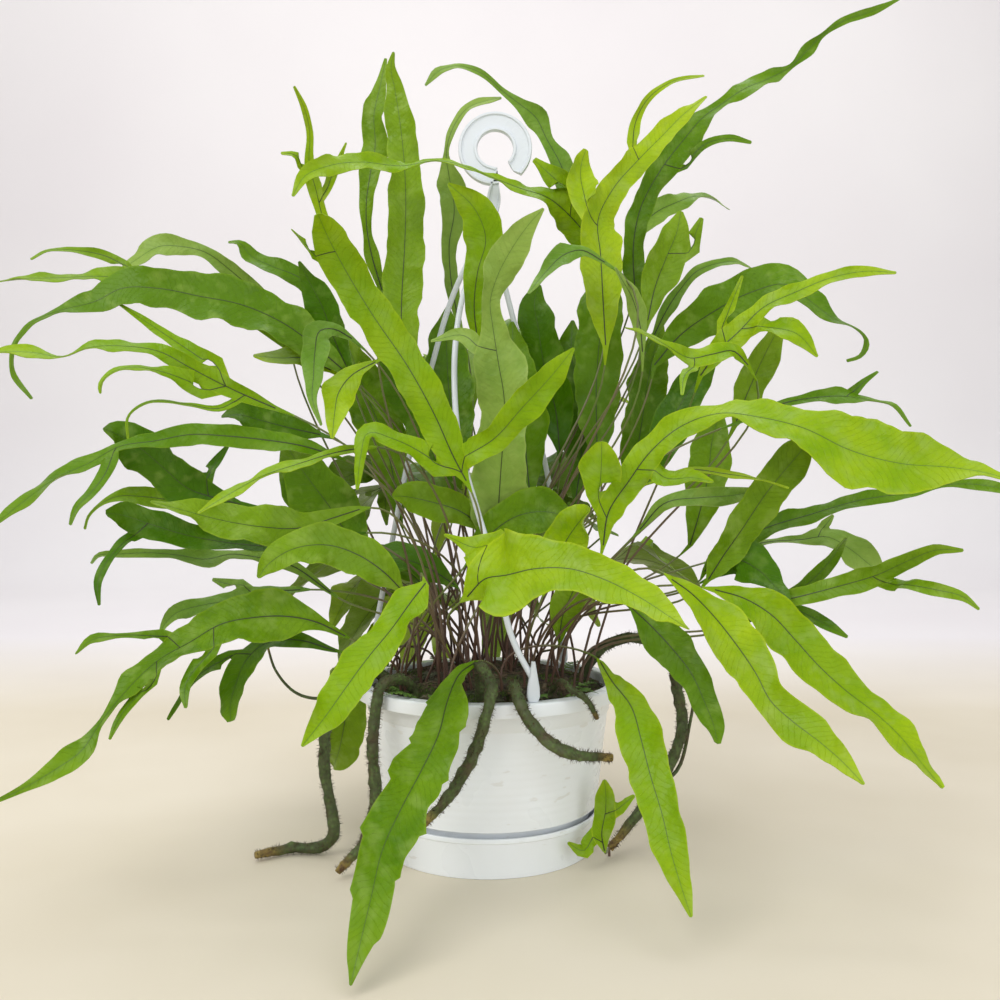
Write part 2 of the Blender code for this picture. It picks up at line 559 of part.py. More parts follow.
# Fronds of the side that the photograph doesn't show, arching out at a heading in degrees.
# (tone, heading, start radius, start height, reach, rise, droop, swing, width, lobes)
# A lobe is (place along the blade, side, length).
REAR_FRONDS = {
    "rear_low_a": ("leaf", 12, 55, 185, 130, 120, 130, 18, 34, ((2, 1, 60),)),
    "rear_low_b": ("young", 40, 55, 180, 140, 110, 150, -20, 38, ((2, -1, 64),)),
    "rear_low_c": ("leaf", 66, 58, 175, 140, 90, 190, 16, 36, ((2, 1, 62),)),
    "rear_low_d": ("young", 92, 58, 170, 150, 90, 200, -14, 40, ((2, -1, 66), (3, 1, 50))),
    "rear_low_e": ("leaf", 116, 58, 178, 140, 95, 190, 20, 36, ((2, 1, 60),)),
    "rear_low_f": ("young", 142, 55, 182, 140, 110, 150, -18, 38, ((2, 1, 62),)),
    "rear_low_g": ("leaf", 168, 55, 188, 130, 115, 130, 16, 34, ((2, -1, 58),)),
    "rear_mid_a": ("leaf", 14, 52, 215, 135, 120, 120, -20, 38, ((2, 1, 70), (3, -1, 52))),
    "rear_mid_b": ("deep", 48, 40, 262, 165, 150, 190, 22, 42, ((2, -1, 66),)),
    "rear_mid_c": ("leaf", 80, 40, 245, 180, 150, 215, -16, 42, ((2, 1, 72), (2, -1, 64))),
    "rear_mid_d": ("young", 103, 40, 256, 180, 150, 205, 4, 40, ((3, 1, 60),)),
    "rear_mid_e": ("leaf", 130, 40, 246, 175, 150, 190, 10, 42, ((2, -1, 60), (3, 1, 44))),
    "rear_mid_f": ("deep", 156, 40, 250, 165, 150, 160, 18, 36, ((2, 1, 60),)),
    "rear_top_a": ("leaf", 30, 50, 345, 115, 180, 120, 20, 36, ((2, 1, 58),)),
    "rear_top_b": ("young", 64, 62, 316, 135, 170, 165, -18, 40, ((2, 1, 66),)),
    "rear_top_c": ("leaf", 112, 66, 330, 135, 190, 160, 18, 40, ((2, -1, 64),)),
    "rear_top_d": ("young", 150, 60, 305, 112, 165, 120, -12, 36, ((2, -1, 50),)),
}

# What parts neighbours: every place of such a frond moves back by this, along its line of sight; a rear
# frond turns by this many degrees instead.
SET_BACK = {
    "crested": 30, "blunt_low": -16, "inner_left_b": 4, "thin_right": -8, "small_right": 4,
    "long_dark_left": 4, "long_top_right": -16, "lowest": 8, "rear_low_g": -16, "glossy_left": 4,
    "dark_right": -8, "centre_grey": 16, "hooked_left": 4, "rear_mid_b": 16, "rear_mid_a": 55,
    "rear_low_b": 25, "pale_curl": 4, "lobed_low_left": 4, "bright_upright": -16, "thin_arch": -20,
    "broad_left": -4, "rear_low_e": 16, "inner_centre": -4, "tailed_left": 8, "long_left": -20,
    "forked_right": 4, "paw_right": -8, "inner_left_a": -16, "centre_dark": 4, "inner_right_edge": -25,
    "dark_low_right": -30, "inner_wavy": -45, "inner_low_right": 12, "inner_behind": -45,
    "grey_curled": 36, "rear_mid_f": -16, "rear_low_c": 20, "rear_top_a": 55, "rear_top_d": -8,
    "rear_mid_c": -4, "rear_low_d": 25, "inner_right": -8, "tall_behind": -12, "dark_upright": 8,
    "left_band": -4, "inner_far": -20, "rear_top_c": -8, "arched_left": -4, "grey_wavy_right": -12,
}

# How far the middle of a stalk bends aside, as (across, back).
STALK_BENDS = {
    "tall": (40, 0), "rear_mid_c": (0, 28), "grey_arch": (-28, -14), "pale_curl": (0, 14),
    "low_right_a": (14, 0), "hanging_bright": (-14, 0), "tall_behind": (-40, -40),
    "inner_left_a": (0, -14), "low_left": (-40, 0), "rear_low_e": (-28, 14), "centre_dark": (14, 0),
    "inner_centre": (0, 14), "forked_right": (0, 14), "low_right": (0, 14), "grey_curled": (14, -28),
    "rear_low_b": (0, -14), "pale_low_left": (0, -14), "inner_left": (40, -14), "hanging_pale": (-14, 0),
    "rear_mid_b": (28, 14), "broad_left": (40, 0), "inner_left_b": (0, -28), "dark_low_left": (14, -14),
    "glossy_left": (0, -14), "blunt_low_left": (28, -28), "rear_low_a": (14, 28),
    "bright_upright": (-14, -28), "broad_right": (40, -14), "hooked_left": (0, -28),
    "pale_hang_top": (0, -28), "pointed_right": (0, 14), "front_centre": (-14, 0),
    "bright_paw_right": (28, 28), "dark_right": (-14, 14), "left_paw": (14, -28), "rear_mid_d": (-14, 0),
    "across": (0, -28), "grey_wavy_right": (-14, 0), "long_left": (0, 14), "lobed_low_left": (0, -14),
    "thin_arch": (0, -14), "strap_right": (28, 28), "small_right": (-28, 0), "left_band": (-14, 0),
    "inner_right_edge": (-28, -14), "dark_low_right": (0, -28), "strap_fork_right": (0, 14),
    "rear_mid_a": (14, 0), "bright_fork": (0, 14), "rear_low_g": (0, -14), "inner_behind": (-28, 28),
    "dark_round": (0, -14), "inner_side_left": (0, -28), "long_dark_left": (0, 28),
    "rear_top_a": (-14, -40), "inner_wavy": (0, -14), "paw_front": (0, -14), "rear_top_b": (0, -14),
    "rear_mid_f": (-14, 0), "inner_right": (-40, -40), "inner_far_left": (0, 14),
    "inner_far": (-28, -40), "rear_mid_e": (0, 14), "centre_left_mid": (14, -14),
    "dark_upright": (-14, 0),
}

# Fronds of one tone that share a crown and so are one piece.
SHARED_CROWNS = (
    ("long_dark_left", "dark_upright", "inner_far"),
    ("upright_right", "small_right", "inner_right_edge"), ("rear_top_a", "rear_top_c"),
    ("rear_top_b", "rear_top_d"), ("crested", "hanging_bright"),
    ("blunt_right", "strap_right", "inner_low_right"), ("front_centre", "low_left"),
    ("forked_right", "pointed_right"), ("long_top_right", "notched_right", "inner_behind"),
    ("centre_dark", "inner_centre"), ("inner_left", "rear_mid_f"), ("rear_mid_c", "rear_mid_e"),
    ("bright_paw_right", "pale_curl"), ("pale_low_left", "corner_left"),
    ("thin_arch", "grey_wavy_right"), ("left_band", "hooked_left"), ("low_right_a", "low_right_b"),
    ("long_left", "glossy_left"), ("rear_low_c", "rear_low_e"), ("rear_low_d", "rear_low_f"),
    ("paw_right", "centre_right_mid"), ("arched_left", "lobed_low_left", "inner_wavy"),
    ("dark_low_left", "dark_round", "inner_side_left"), ("across", "bright_fork"),
    ("strap_fork_right", "pale_right"), ("dark_low_right", "dark_right"),
    ("rear_low_a", "rear_mid_a", "inner_side_right"), ("left_paw", "inner_left_a"),
    ("pale_hang_top", "pale_top_right"), ("paw_front", "bright_strip_left"),
    ("broad_left", "inner_left_b"), ("tall", "inner_far_left", "tall_behind"),
    ("broad_right", "inner_far_right", "inner_right"), ("centre_left_mid", "rear_low_g"),
    ("rear_low_b", "rear_mid_d"), ("blunt_low_left", "inner_low_left"),
)

# Creeping rhizomes: radius, then places from the soil over the rim, and thin shoots that grow on them.
RHIZOMES = {
    "rhizome_left": (4.7, ((-72, -20, 0), (-84, -24, 133), (-99, -28, 134), (-113, -30, 112), (-119, -32, 62),
                           (-114, -36, 38), (-111, -40, 17), (-123, -33, 6), (-144, -32, 5), (-166, -46, 5)),
                     ((1.3, ((-107, -29, 119), (-118, -35, 115), (-136, -35, 117), (-154, -35, 135),
                             (-160, -35, 153))),)),
    "rhizome_low_left": (4.5, ((-51, -52, 0), (-61, -62, 134), (-72, -73, 132), (-77, -76, 110), (-78, -77, 80),
                               (-76, -78, 60), (-84, -79, 26), (-102, -78, 5)), ()),
    "rhizome_front": (4.5, ((-4, -73, 0), (-5, -82, 146), (3, -102, 135), (-2, -109, 112), (-12, -109, 86),
                            (-27, -106, 62), (-43, -101, 44)), ()),
    "rhizome_front_right": (4.5, ((17, -70, 0), (18, -82, 133), (19, -98, 132), (26, -110, 118), (47, -116, 98),
                                  (82, -106, 90)), ()),
    "rhizome_right": (4.7, ((73, 18, 0), (84, 16, 140), (108, 12, 152), (136, 2, 143), (143, -5, 115),
                            (145, -10, 86), (137, -15, 65), (111, -28, 31), (88, -36, 6)),
                      ((1.5, ((125, -21, 50), (134, -18, 52), (152, -8, 93), (157, -5, 137))),)),
    "rhizome_hook": (2.4, ((44, -58, 0), (51, -72, 134), (57, -88, 131), (66, -92, 126), (74, -90, 112)), ()),
}

# The small frond that a creeping rhizome carries beside the saucer, measured like the others
RUNNER_FROND = ("young", "front",
                ((88, -8, -62, 3), (86, 4, -64, 14), (89, 23, -66, 17), (89, 38, -68, 12), (88, 46, -69, 2)),
                (((89, 26, -66, 12), (100, 30, -67, 8), (111, 34, -68, 2)),
                 ((86, 1, -64, 11), (73, -8, -70, 11), (60, -2, -74, 2))))

# Strands of the hanger, from the hook's foot to the rim
STRANDS = (
    ((-1, 462, 0), (-19, 410, -15), (-24, 372, -28), (-24, 338, -40), (-21, 304, -50), (-7, 251, -65),
     (5, 213, -74), (19, 160, -84), (31, 138, -89)),
    ((2, 462, 0), (16, 410, 15), (30, 357, 30), (38, 312, 42), (45, 289, 50), (57, 180, 68), (61, 138, 72)),
    ((-4, 462, 0), (-26, 418, 5), (-45, 357, 10), (-64, 281, 14), (-79, 205, 16), (-90, 150, 17),
     (-93, 138, 17)),
)




def seen(across, up, depth, width):
    """A place measured at the pot's scale, moved along its line of sight to its depth behind the axis."""
    spread = (VIEW_DISTANCE + depth) / VIEW_DISTANCE
    x = VIEW_ACROSS + (across - VIEW_ACROSS) * spread
    z = VIEW_HEIGHT + (up - VIEW_HEIGHT) * spread
    return (x * MM, depth * MM, z * MM, width * spread * MM)


def arched(heading, start, height, reach, rise, droop, swing, width):
    """Places along a blade that leaves the plant at a heading in degrees, rises and arches over."""
    out = Vector((math.cos(math.radians(heading)), math.sin(math.radians(heading)), 0.0))
    aside = Vector((-out.y, out.x, 0.0))
    places = []
    for share, part in ((0.0, 0.14), (0.18, 0.75), (0.42, 1.0), (0.68, 0.8), (0.88, 0.42), (1.0, 0.06)):
        place = out * (start + reach * share) + aside * (swing * share * share)
        up = height + rise * share - droop * share * share
        places.append((place.x * MM, place.y * MM, up * MM, width * part * MM))
    return places


def smooth_path(places, per_span=6):
    """Samples of a smooth curve through the places; the fourth number, the width, is smoothed alike."""
    points = np.array(places, dtype=float)
    knots = np.concatenate(([0.0], np.cumsum(np.linalg.norm(np.diff(points[:, :3], axis=0), axis=1))))
    slopes = np.gradient(points, knots, axis=0)
    samples = []
    for i in range(len(points) - 1):
        span = knots[i + 1] - knots[i]
        for k in range(per_span):
            u = k / per_span
            first = (1 + 2 * u) * (1 - u) ** 2 * points[i] + u * (1 - u) ** 2 * span * slopes[i]
            second = u * u * (3 - 2 * u) * points[i + 1] + u * u * (u - 1) * span * slopes[i + 1]
            samples.append(first + second)
    samples.append(points[-1])
    return np.array(samples)


class Route:
    """A smooth curve that is read by the length along it, in metres."""

    def __init__(self, places):
        self.samples = smooth_path(places)
        steps = np.linalg.norm(np.diff(self.samples[:, :3], axis=0), axis=1)
        self.lengths = np.concatenate(([0.0], np.cumsum(steps)))
        self.length = float(self.lengths[-1])

    def at(self, distance):
        return [float(np.interp(distance, self.lengths, self.samples[:, k])) for k in range(4)]

    def place(self, distance):
        return Vector(self.at(distance)[:3])

    def width(self, distance):
        return max(self.at(distance)[3], 0.0)

    def heading(self, distance):
        step = 0.004
        ahead = self.place(min(distance + step, self.length))
        behind = self.place(max(distance - step, 0.0))
        return (ahead - behind).normalized()

    def nearest(self, place):
        gaps = np.linalg.norm(self.samples[:, :3] - np.array(place[:3]), axis=1)
        return float(self.lengths[int(np.argmin(gaps))])


class Loft:
    """Points and triangles of one solid that is lofted from section to section."""

    def __init__(self):
        self.points = []
        self.faces = []

    def point(self, place):
        self.points.append(place)
        return len(self.points) - 1

    def quad(self, a, b, c, d, falling):
        """Two triangles; `falling` picks the diagonal, so that both faces of a blade split alike."""
        if falling:
            self.faces.append((a, b, c))
            self.faces.append((a, c, d))
        else:
            self.faces.append((a, b, d))
            self.faces.append((b, c, d))

    def pair(self, place, normal):
        """A point of the upper face and the one below it, a blade's thickness apart."""
        half = normal * (LEAF_THICK * MM / 2)
        return self.point(place + half), self.point(place - half)

    def skin(self, rows, open_left=(), open_right=()):
        """Faces over both sides of a blade and along its edges, left open where a lobe grows out."""
        for i in range(len(rows) - 1):
            low, high = rows[i], rows[i + 1]
            last = len(low) - 1
            for k in range(last):
                falling = k < last / 2
                if len(high) == 1:
                    self.faces.append((low[k][0], low[k + 1][0], high[0][0]))
                    self.faces.append((low[k + 1][1], low[k][1], high[0][1]))
                else:
                    self.quad(low[k][0], low[k + 1][0], high[k + 1][0], high[k][0], falling)
                    self.quad(low[k][1], high[k][1], high[k + 1][1], low[k + 1][1], falling)
            if i not in open_left:
                self.quad(low[0][1], low[0][0], high[0][0], high[0][1], True)
            if i not in open_right:
                self.quad(low[-1][0], low[-1][1], high[-1][1], high[-1][0], True)

    def stitch(self, loop, loop_shares, ring, ring_shares):
        """A band of triangles between two loops that have different numbers of points."""
        i = k = 0
        while i < len(loop) or k < len(ring):
            next_loop = loop_shares[i + 1] if i + 1 < len(loop) else 1.0 + loop_shares[0]
            next_ring = ring_shares[k + 1] if k + 1 < len(ring) else 1.0 + ring_shares[0]
            a = loop[i % len(loop)]
            c = ring[k % len(ring)]
            if k == len(ring) or (i < len(loop) and next_loop <= next_ring):
                self.faces.append((a, loop[(i + 1) % len(loop)], c))
                i += 1
            else:
                self.faces.append((a, ring[(k + 1) % len(ring)], c))
                k += 1


def blade_frame(route, distance, hint):
    """Heading, side and upper normal of a blade that looks towards the hint, and less upwards where it rises."""
    heading = route.heading(distance)
    towards = hint + Vector((0, 0, hint.y * max(heading.z, 0.0)))
    side = heading.cross(towards).normalized()
    return heading, side, side.cross(heading).normalized()


def blade_row(loft, route, distance, hint, phase):
    """One row of a blade: its midrib lies lower than its rippled edges, and a tilted blade is wider than seen."""
    heading, side, normal = blade_frame(route, distance, hint)
    width = route.width(distance) * min(MOST_WIDENED, 1.0 / math.sqrt(max(1.0 - side.y * side.y, 0.1)))
    calm = min(1.0, width / (18 * MM))
    row = []
    for k in range(COLUMNS):
        share = 2.0 * k / (COLUMNS - 1) - 1.0
        turn = math.pi * distance / (ROW * MM) + phase + (1.9 if share > 0 else 0.0)
        lift = FOLD * width * abs(share) + RIPPLE * MM * calm * share * share * math.cos(turn)
        row.append(loft.pair(route.place(distance) + side * (share * width / 2) + normal * lift, normal))
    return row


def row_places(length, zones):
    """Distances of a blade's rows: even steps, and COLUMNS rows across each zone where a lobe grows."""
    places = [0.0]
    for start, end in zones + [(length, length)]:
        first = places[-1]
        steps = max(1, round((start - first) / (ROW * MM)))
        places.extend(first + (start - first) * k / steps for k in range(1, steps + 1))
        if end > start:
            places.extend(start + (end - start) * k / (COLUMNS - 1) for k in range(1, COLUMNS))
    return places


def lobe_zones(route, lobes, hint):
    """Where each lobe leaves the blade: its zone of the length and whether that is the left edge."""
    found = []
    for lobe in lobes:
        branch = Vector(lobe[0][:3])
        middle = route.nearest(branch)
        half = max(lobe[0][3] / 2, 3.5 * MM)
        start = max(middle - half, 6 * MM)
        end = min(start + 2 * half, route.length - 8 * MM)
        heading, side, normal = blade_frame(route, middle, hint)
        left = (Vector(lobe[1][:3]) - route.place(middle)).dot(side) < 0
        found.append([start, end, left, lobe])
    found.sort(key=lambda zone: zone[0])
    for i in range(1, len(found)):
        for earlier in found[:i]:
            if found[i][0] < earlier[1] + 2 * MM:
                if found[i][2] != earlier[2]:
                    found[i][0], found[i][1] = earlier[0], earlier[1]
                else:
                    span = found[i][1] - found[i][0]
                    found[i][0] = earlier[1] + 3 * MM
                    found[i][1] = found[i][0] + span
    return found


def blade_rows(loft, route, places, hint, phase):
    """Rows up to the last place, where the blade closes in a point."""
    rows = [blade_row(loft, route, distance, hint, phase) for distance in places[:-1]]
    heading, side, normal = blade_frame(route, route.length, hint)
    rows.append([loft.pair(route.place(route.length), normal)])
    return rows


def with_blunt_end(route, places):
    """An extra row close to the tip of a blade that ends bluntly."""
    near = route.length - 5 * MM
    if route.width(near) > 9 * MM and places[-2] < near - 4 * MM:
        return places[:-1] + [near, places[-1]]
    return places


def pushed_out(loft, row, start, out, least):
    """Moves the points of a lobe's row away from the parent's edge until they are this far out."""
    for top, under in row:
        lack = least - ((loft.points[top] + loft.points[under]) / 2 - start).dot(out)
        if lack > 0:
            loft.points[top] = loft.points[top] + out * lack
            loft.points[under] = loft.points[under] + out * lack


def grow_lobe(loft, base, centre, lobe, hint, phase):
    """A lobe that grows out of the parent's edge; its first row is that edge."""
    middles = [(loft.points[a] + loft.points[b]) / 2 for a, b in base]
    start = middles[COLUMNS // 2]
    along = middles[-1] - middles[0]
    width = along.length
    out = start - centre
    out = (out - along * (out.dot(along) / along.dot(along))).normalized()
    onward = list(lobe[1:])
    while len(onward) > 1 and (Vector(onward[0][:3]) - start).dot(out) < max(LOBE_CLEAR * MM, width * 0.3):
        onward.pop(0)
    route = Route([(start.x, start.y, start.z, width)] + onward)
    if out.cross(hint + Vector((0, 0, hint.y * max(out.z, 0.0)))).dot(along) < 0:
        base = base[::-1]
    count = max(2, round(route.length / (ROW * MM)))
    places = with_blunt_end(route, [route.length * k / count for k in range(count + 1)])
    rows = [base] + blade_rows(loft, route, places[1:], hint, phase)
    for row in rows[1:4]:
        pushed_out(loft, row, start, out, LOBE_CLEAR * MM)
    loft.skin(rows)


def grow_stalk(loft, row, route, hint, root, ground, bend):
    """A thin stalk from a blade's first row down to the ground, and straight down into it to its root."""
    heading, side, normal = blade_frame(route, 0.0, hint)
    top = route.place(0.0)
    foot = Vector((root.x, root.y, ground))
    reach = (top - foot).length
    lean = Vector((bend[0] * MM, bend[1] * MM, 0.0)) * min(1.0, reach / (STALK_FREE * MM))
    handles = (foot, foot + Vector((0, 0, reach * 0.42)) + lean, top - heading * (reach * 0.3) + lean, top)
    loop = [pair[0] for pair in row] + [pair[1] for pair in reversed(row)]
    shares = [0.02 + 0.46 * k / (COLUMNS - 1) for k in range(COLUMNS)]
    shares += [0.52 + 0.46 * k / (COLUMNS - 1) for k in range(COLUMNS)]
    ring_shares = [k / STALK_SIDES for k in range(STALK_SIDES)]
    centres = [bezier(handles, 1.0 - k / STALK_ROWS) for k in range(STALK_ROWS + 1)] + [root]
    previous = loop
    for k in range(1, len(centres)):
        ahead = centres[k - 1] - centres[min(k + 1, len(centres) - 1)]
        ahead.normalize()
        if k >= len(centres) - 2:
            ahead = Vector((0, 0, 1))
        side = (side - ahead * side.dot(ahead)).normalized()
        normal = side.cross(ahead)
        ring = []
        for n in range(STALK_SIDES):
            angle = math.pi - 2 * math.pi * n / STALK_SIDES
            offset = side * math.cos(angle) + normal * math.sin(angle)
            ring.append(loft.point(centres[k] + offset * (STALK_RADIUS * MM)))
        if k == 1:
            loft.stitch(previous, shares, ring, ring_shares)
        else:
            loft.stitch(previous, ring_shares, ring, ring_shares)
        previous = ring
    for n in range(1, STALK_SIDES - 1):
        loft.faces.append((previous[0], previous[n], previous[n + 1]))


def bezier(handles, u):
    a, b, c, d = handles
    v = 1.0 - u
    return a * v ** 3 + b * (3 * v * v * u) + c * (3 * v * u * u) + d * u ** 3


def grow_frond(frond, root, ground, phase, bend):
    """The whole frond in one loft: stalk, blade and lobes."""
    tone, hint, blade, lobes = frond
    loft = Loft()
    route = Route(blade)
    found = lobe_zones(route, lobes, hint)
    zones = sorted({(start, end) for start, end, left, lobe in found})
    places = with_blunt_end(route, row_places(route.length, zones))
    rows = blade_rows(loft, route, places, hint, phase)
    open_left, open_right = set(), set()
    for start, end, left, lobe in found:
        first = min(range(len(places)), key=lambda k: abs(places[k] - start))
        edge = [rows[first + k][0 if left else -1] for k in range(COLUMNS)]
        (open_left if left else open_right).update(range(first, first + COLUMNS - 1))
        grow_lobe(loft, edge, route.place((start + end) / 2), lobe, hint, phase + 0.9)
    loft.skin(rows, open_left, open_right)
    grow_stalk(loft, rows[0], route, hint, root, ground, bend)
    return loft


def frond_of(name):
    """Tone, hint for the upper face, blade and lobes of a frond, with every place in metres."""
    back = SET_BACK.get(name, 0)
    if name in REAR_FRONDS:
        tone, heading, *shape = REAR_FRONDS[name]
        return rear_frond(tone, heading + back, *shape)
    tone, face, blade, lobes = RUNNER_FROND if name == "runner" else SEEN_FRONDS[name]
    level = name != "runner" and abs(blade[-1][2] - blade[0][2]) < STEEP
    most = MOST_SWEEP * math.dist(blade[0][:2], blade[-1][:2])
    sweep = max(-most, min(most, blade[0][2] * SWEEP)) if level else 0.0
    hint = Vector(FACES[face]).normalized()
    grown = swept(blade, back, sweep)
    route = Route(grown)
    return tone, hint, grown, [hung(lobe, blade, route, hint) for lobe in lobes]


def swept(places, back, sweep):
    """Places in metres; a frond that starts in front of the axis comes further forward towards its tip."""
    moved = []
    for k, (across, up, depth, width) in enumerate(places):
        share = k / (len(places) - 1)
        moved.append(seen(across, up, depth + back + sweep * share * share, width))
    return moved


def hung(lobe, blade, route, hint):
    """Places of a lobe in metres, laid into the plane of its blade where it leaves it."""
    samples = smooth_path(blade)
    gaps = np.hypot(samples[:, 0] - lobe[0][0], samples[:, 1] - lobe[0][1])
    index = int(np.argmin(gaps))
    start = Vector(route.samples[index][:3])
    normal = blade_frame(route, route.lengths[index], hint)[2]
    places = []
    for across, up, depth, width in lobe:
        away = Vector(seen(across, up, start.y / MM, width)[:3]) - start
        tilt = (away.x * normal.x + away.z * normal.z) / max(-normal.y, 0.4) / MM
        tilt = max(-MOST_TILT, min(MOST_TILT, tilt))
        places.append(seen(across, up, start.y / MM + tilt + (depth - lobe[0][2]), width))
    return places


def rear_frond(tone, heading, start, height, reach, rise, droop, swing, width, lobes):
    blade = arched(heading, start, height, reach, rise, droop, swing, width)
    return tone, Vector((0, 0, 1)), blade, [side_lobe(blade, *lobe) for lobe in lobes]


def side_lobe(blade, at, side, length):
    """Places of a lobe that leaves an arching blade to one side and hangs a little."""
    start = Vector(blade[at][:3])
    ahead = (Vector(blade[at + 1][:3]) - start).normalized()
    aside = ahead.cross(Vector((0, 0, 1))).normalized() * side
    width = blade[at][3]
    places = []
    for share, part in ((0.0, 0.6), (0.4, 0.55), (0.72, 0.45), (1.0, 0.06)):
        away = (ahead * 0.6 + aside * 0.8) * (length * MM * share)
        place = start + away - Vector((0, 0, 0.2 * length * MM * share * share))
        places.append((place.x, place.y, place.z, width * part))
    return places


def soil_height(radius):
    """Height of the soil in millimetres at a distance from the axis."""
    return float(np.interp(radius, [point[0] for point in SOIL_TOP], [point[1] for point in SOIL_TOP]))


def planting_places():
    """Rings of free places on the soil, away from the rhizomes."""
    places = [(0.0, 0.0)]
    for radius, count in PLANTING_RINGS:
        for k in range(count):
            turn = 2 * math.pi * (k + 0.37) / count
            place = (radius * math.cos(turn), radius * math.sin(turn))
            gaps = [math.hypot(place[0] - rhizome[1][0][0], place[1] - rhizome[1][0][1])
                    for rhizome in RHIZOMES.values()]
            if min(gaps) > CROWN_GAP:
                places.append(place)
    return places


def base_of(name):
    """Where the blade of a frond starts, (across, back) in millimetres, before it is set back."""
    if name in REAR_FRONDS:
        heading, start = REAR_FRONDS[name][1:3]
        turn = math.radians(heading)
        return start * math.cos(turn), start * math.sin(turn)
    x, y, z, width = seen(*SEEN_FRONDS[name][2][0])
    return x / MM, y / MM


def plant(groups):
    """A place on the soil for every group of fronds, near the middle of what it carries."""
    free = planting_places()
    wanted = []
    for group in groups:
        bases = [base_of(name) for name in group]
        x = sum(base[0] for base in bases) / len(bases) * PLANTING_PULL
        y = sum(base[1] for base in bases) / len(bases) * PLANTING_PULL
        reach = max(math.hypot(x, y), 1.0)
        shrink = min(1.0, PLANTING_RADIUS / reach)
        wanted.append((x * shrink, y * shrink))
    order = sorted(range(len(groups)), key=lambda n: -math.hypot(*wanted[n]))
    chosen = {}
    for n in order:
        place = min(free, key=lambda spot: math.hypot(spot[0] - wanted[n][0], spot[1] - wanted[n][1]))
        free.remove(place)
        chosen[groups[n]] = place
    return chosen


def frond_loft(name, place, turn, phase):
    """A frond whose stalk stands in the crown at this place."""
    ground = soil_height(math.hypot(*place)) * MM
    x = place[0] * MM + math.cos(turn) * CROWN_SPREAD * MM
    y = place[1] * MM + math.sin(turn) * CROWN_SPREAD * MM
    root = Vector((x, y, ground - CROWN_DEPTH * MM / 2))
    return grow_frond(frond_of(name), root, ground + CROWN_RISE * MM, phase, STALK_BENDS.get(name, (0, 0)))


def new_object(name, mesh, collection):
    thing = bpy.data.objects.new(name, mesh)
    collection.objects.link(thing)
    return thing


def mesh_of_loft(name, loft):
    mesh = bpy.data.meshes.new(name)
    mesh.from_pydata([tuple(point) for point in loft.points], [], loft.faces)
    shape = bmesh.new()
    shape.from_mesh(mesh)
    bmesh.ops.recalc_face_normals(shape, faces=shape.faces)
    if shape.calc_volume(signed=True) < 0:
        bmesh.ops.reverse_faces(shape, faces=shape.faces)
    shape.to_mesh(mesh)
    shape.free()
    return mesh


def prism(name, x, y, low, high, radius, sides, turn=0.0):
    """Mesh of an upright prism, in millimetres."""
    shape = bmesh.new()
    spot = Matrix.Translation((x * MM, y * MM, (low + high) / 2 * MM)) @ Matrix.Rotation(turn, 4, "Z")
    bmesh.ops.create_cone(shape, cap_ends=True, segments=sides, radius1=radius * MM, radius2=radius * MM,
                          depth=(high - low) * MM, matrix=spot)
    mesh = bpy.data.meshes.new(name)
    shape.to_mesh(mesh)
    shape.free()
    return mesh


def baked(thing):
    """Replaces an object's mesh by what its modifiers give, and keeps its largest body."""
    graph = bpy.context.evaluated_depsgraph_get()
    mesh = bpy.data.meshes.new_from_object(thing.evaluated_get(graph))
    thing.modifiers.clear()
    thing.data = mesh
    shape = bmesh.new()
    shape.from_mesh(mesh)
    bmesh.ops.triangulate(shape, faces=shape.faces)
    bmesh.ops.dissolve_degenerate(shape, edges=shape.edges, dist=WELD * MM)
    bmesh.ops.triangulate(shape, faces=shape.faces)
    keep_largest(shape)
    shape.to_mesh(mesh)
    shape.free()
    return thing


def keep_largest(shape):
    """Drops loose scraps and sealed hollows, which are the smaller bodies."""
    unseen = set(shape.faces)
    bodies = []
    while unseen:
        body = {unseen.pop()}
        edge_of = list(body)
        while edge_of:
            face = edge_of.pop()
            for edge in face.edges:
                for other in edge.link_faces:
                    if other in unseen:
                        unseen.discard(other)
                        body.add(other)
                        edge_of.append(other)
        bodies.append(body)
    bodies.sort(key=len)
    for body in bodies[:-1]:
        bmesh.ops.delete(shape, geom=list(body), context="FACES")


def fused(name, meshes, collection):
    """One body from several meshes that run into each other."""
    first, others = meshes[0], meshes[1:]
    thing = new_object(name, first, collection)
    helpers = bpy.data.collections.new(name + " pieces")
    bpy.context.scene.collection.children.link(helpers)
    for mesh in others:
        new_object(mesh.name, mesh, helpers)
    union = thing.modifiers.new("Fuse", "BOOLEAN")
    union.operation = "UNION"
    union.operand_type = "COLLECTION"
    union.collection = helpers
    union.solver = "EXACT"
    union.use_self = True
    baked(thing)
    for helper in list(helpers.objects):
        bpy.data.objects.remove(helper)
    bpy.data.collections.remove(helpers)
    return thing


def paint(thing, colour, roughness, metallic=0.0):
    material = bpy.data.materials.new(thing.name)
    material.use_nodes = True
    shader = material.node_tree.nodes["Principled BSDF"]
    shader.inputs["Base Color"].default_value = (*colour, 1.0)
    shader.inputs["Roughness"].default_value = roughness
    shader.inputs["Metallic"].default_value = metallic
    material.diffuse_color = (*colour, 1.0)
    thing.data.materials.clear()
    thing.data.materials.append(material)


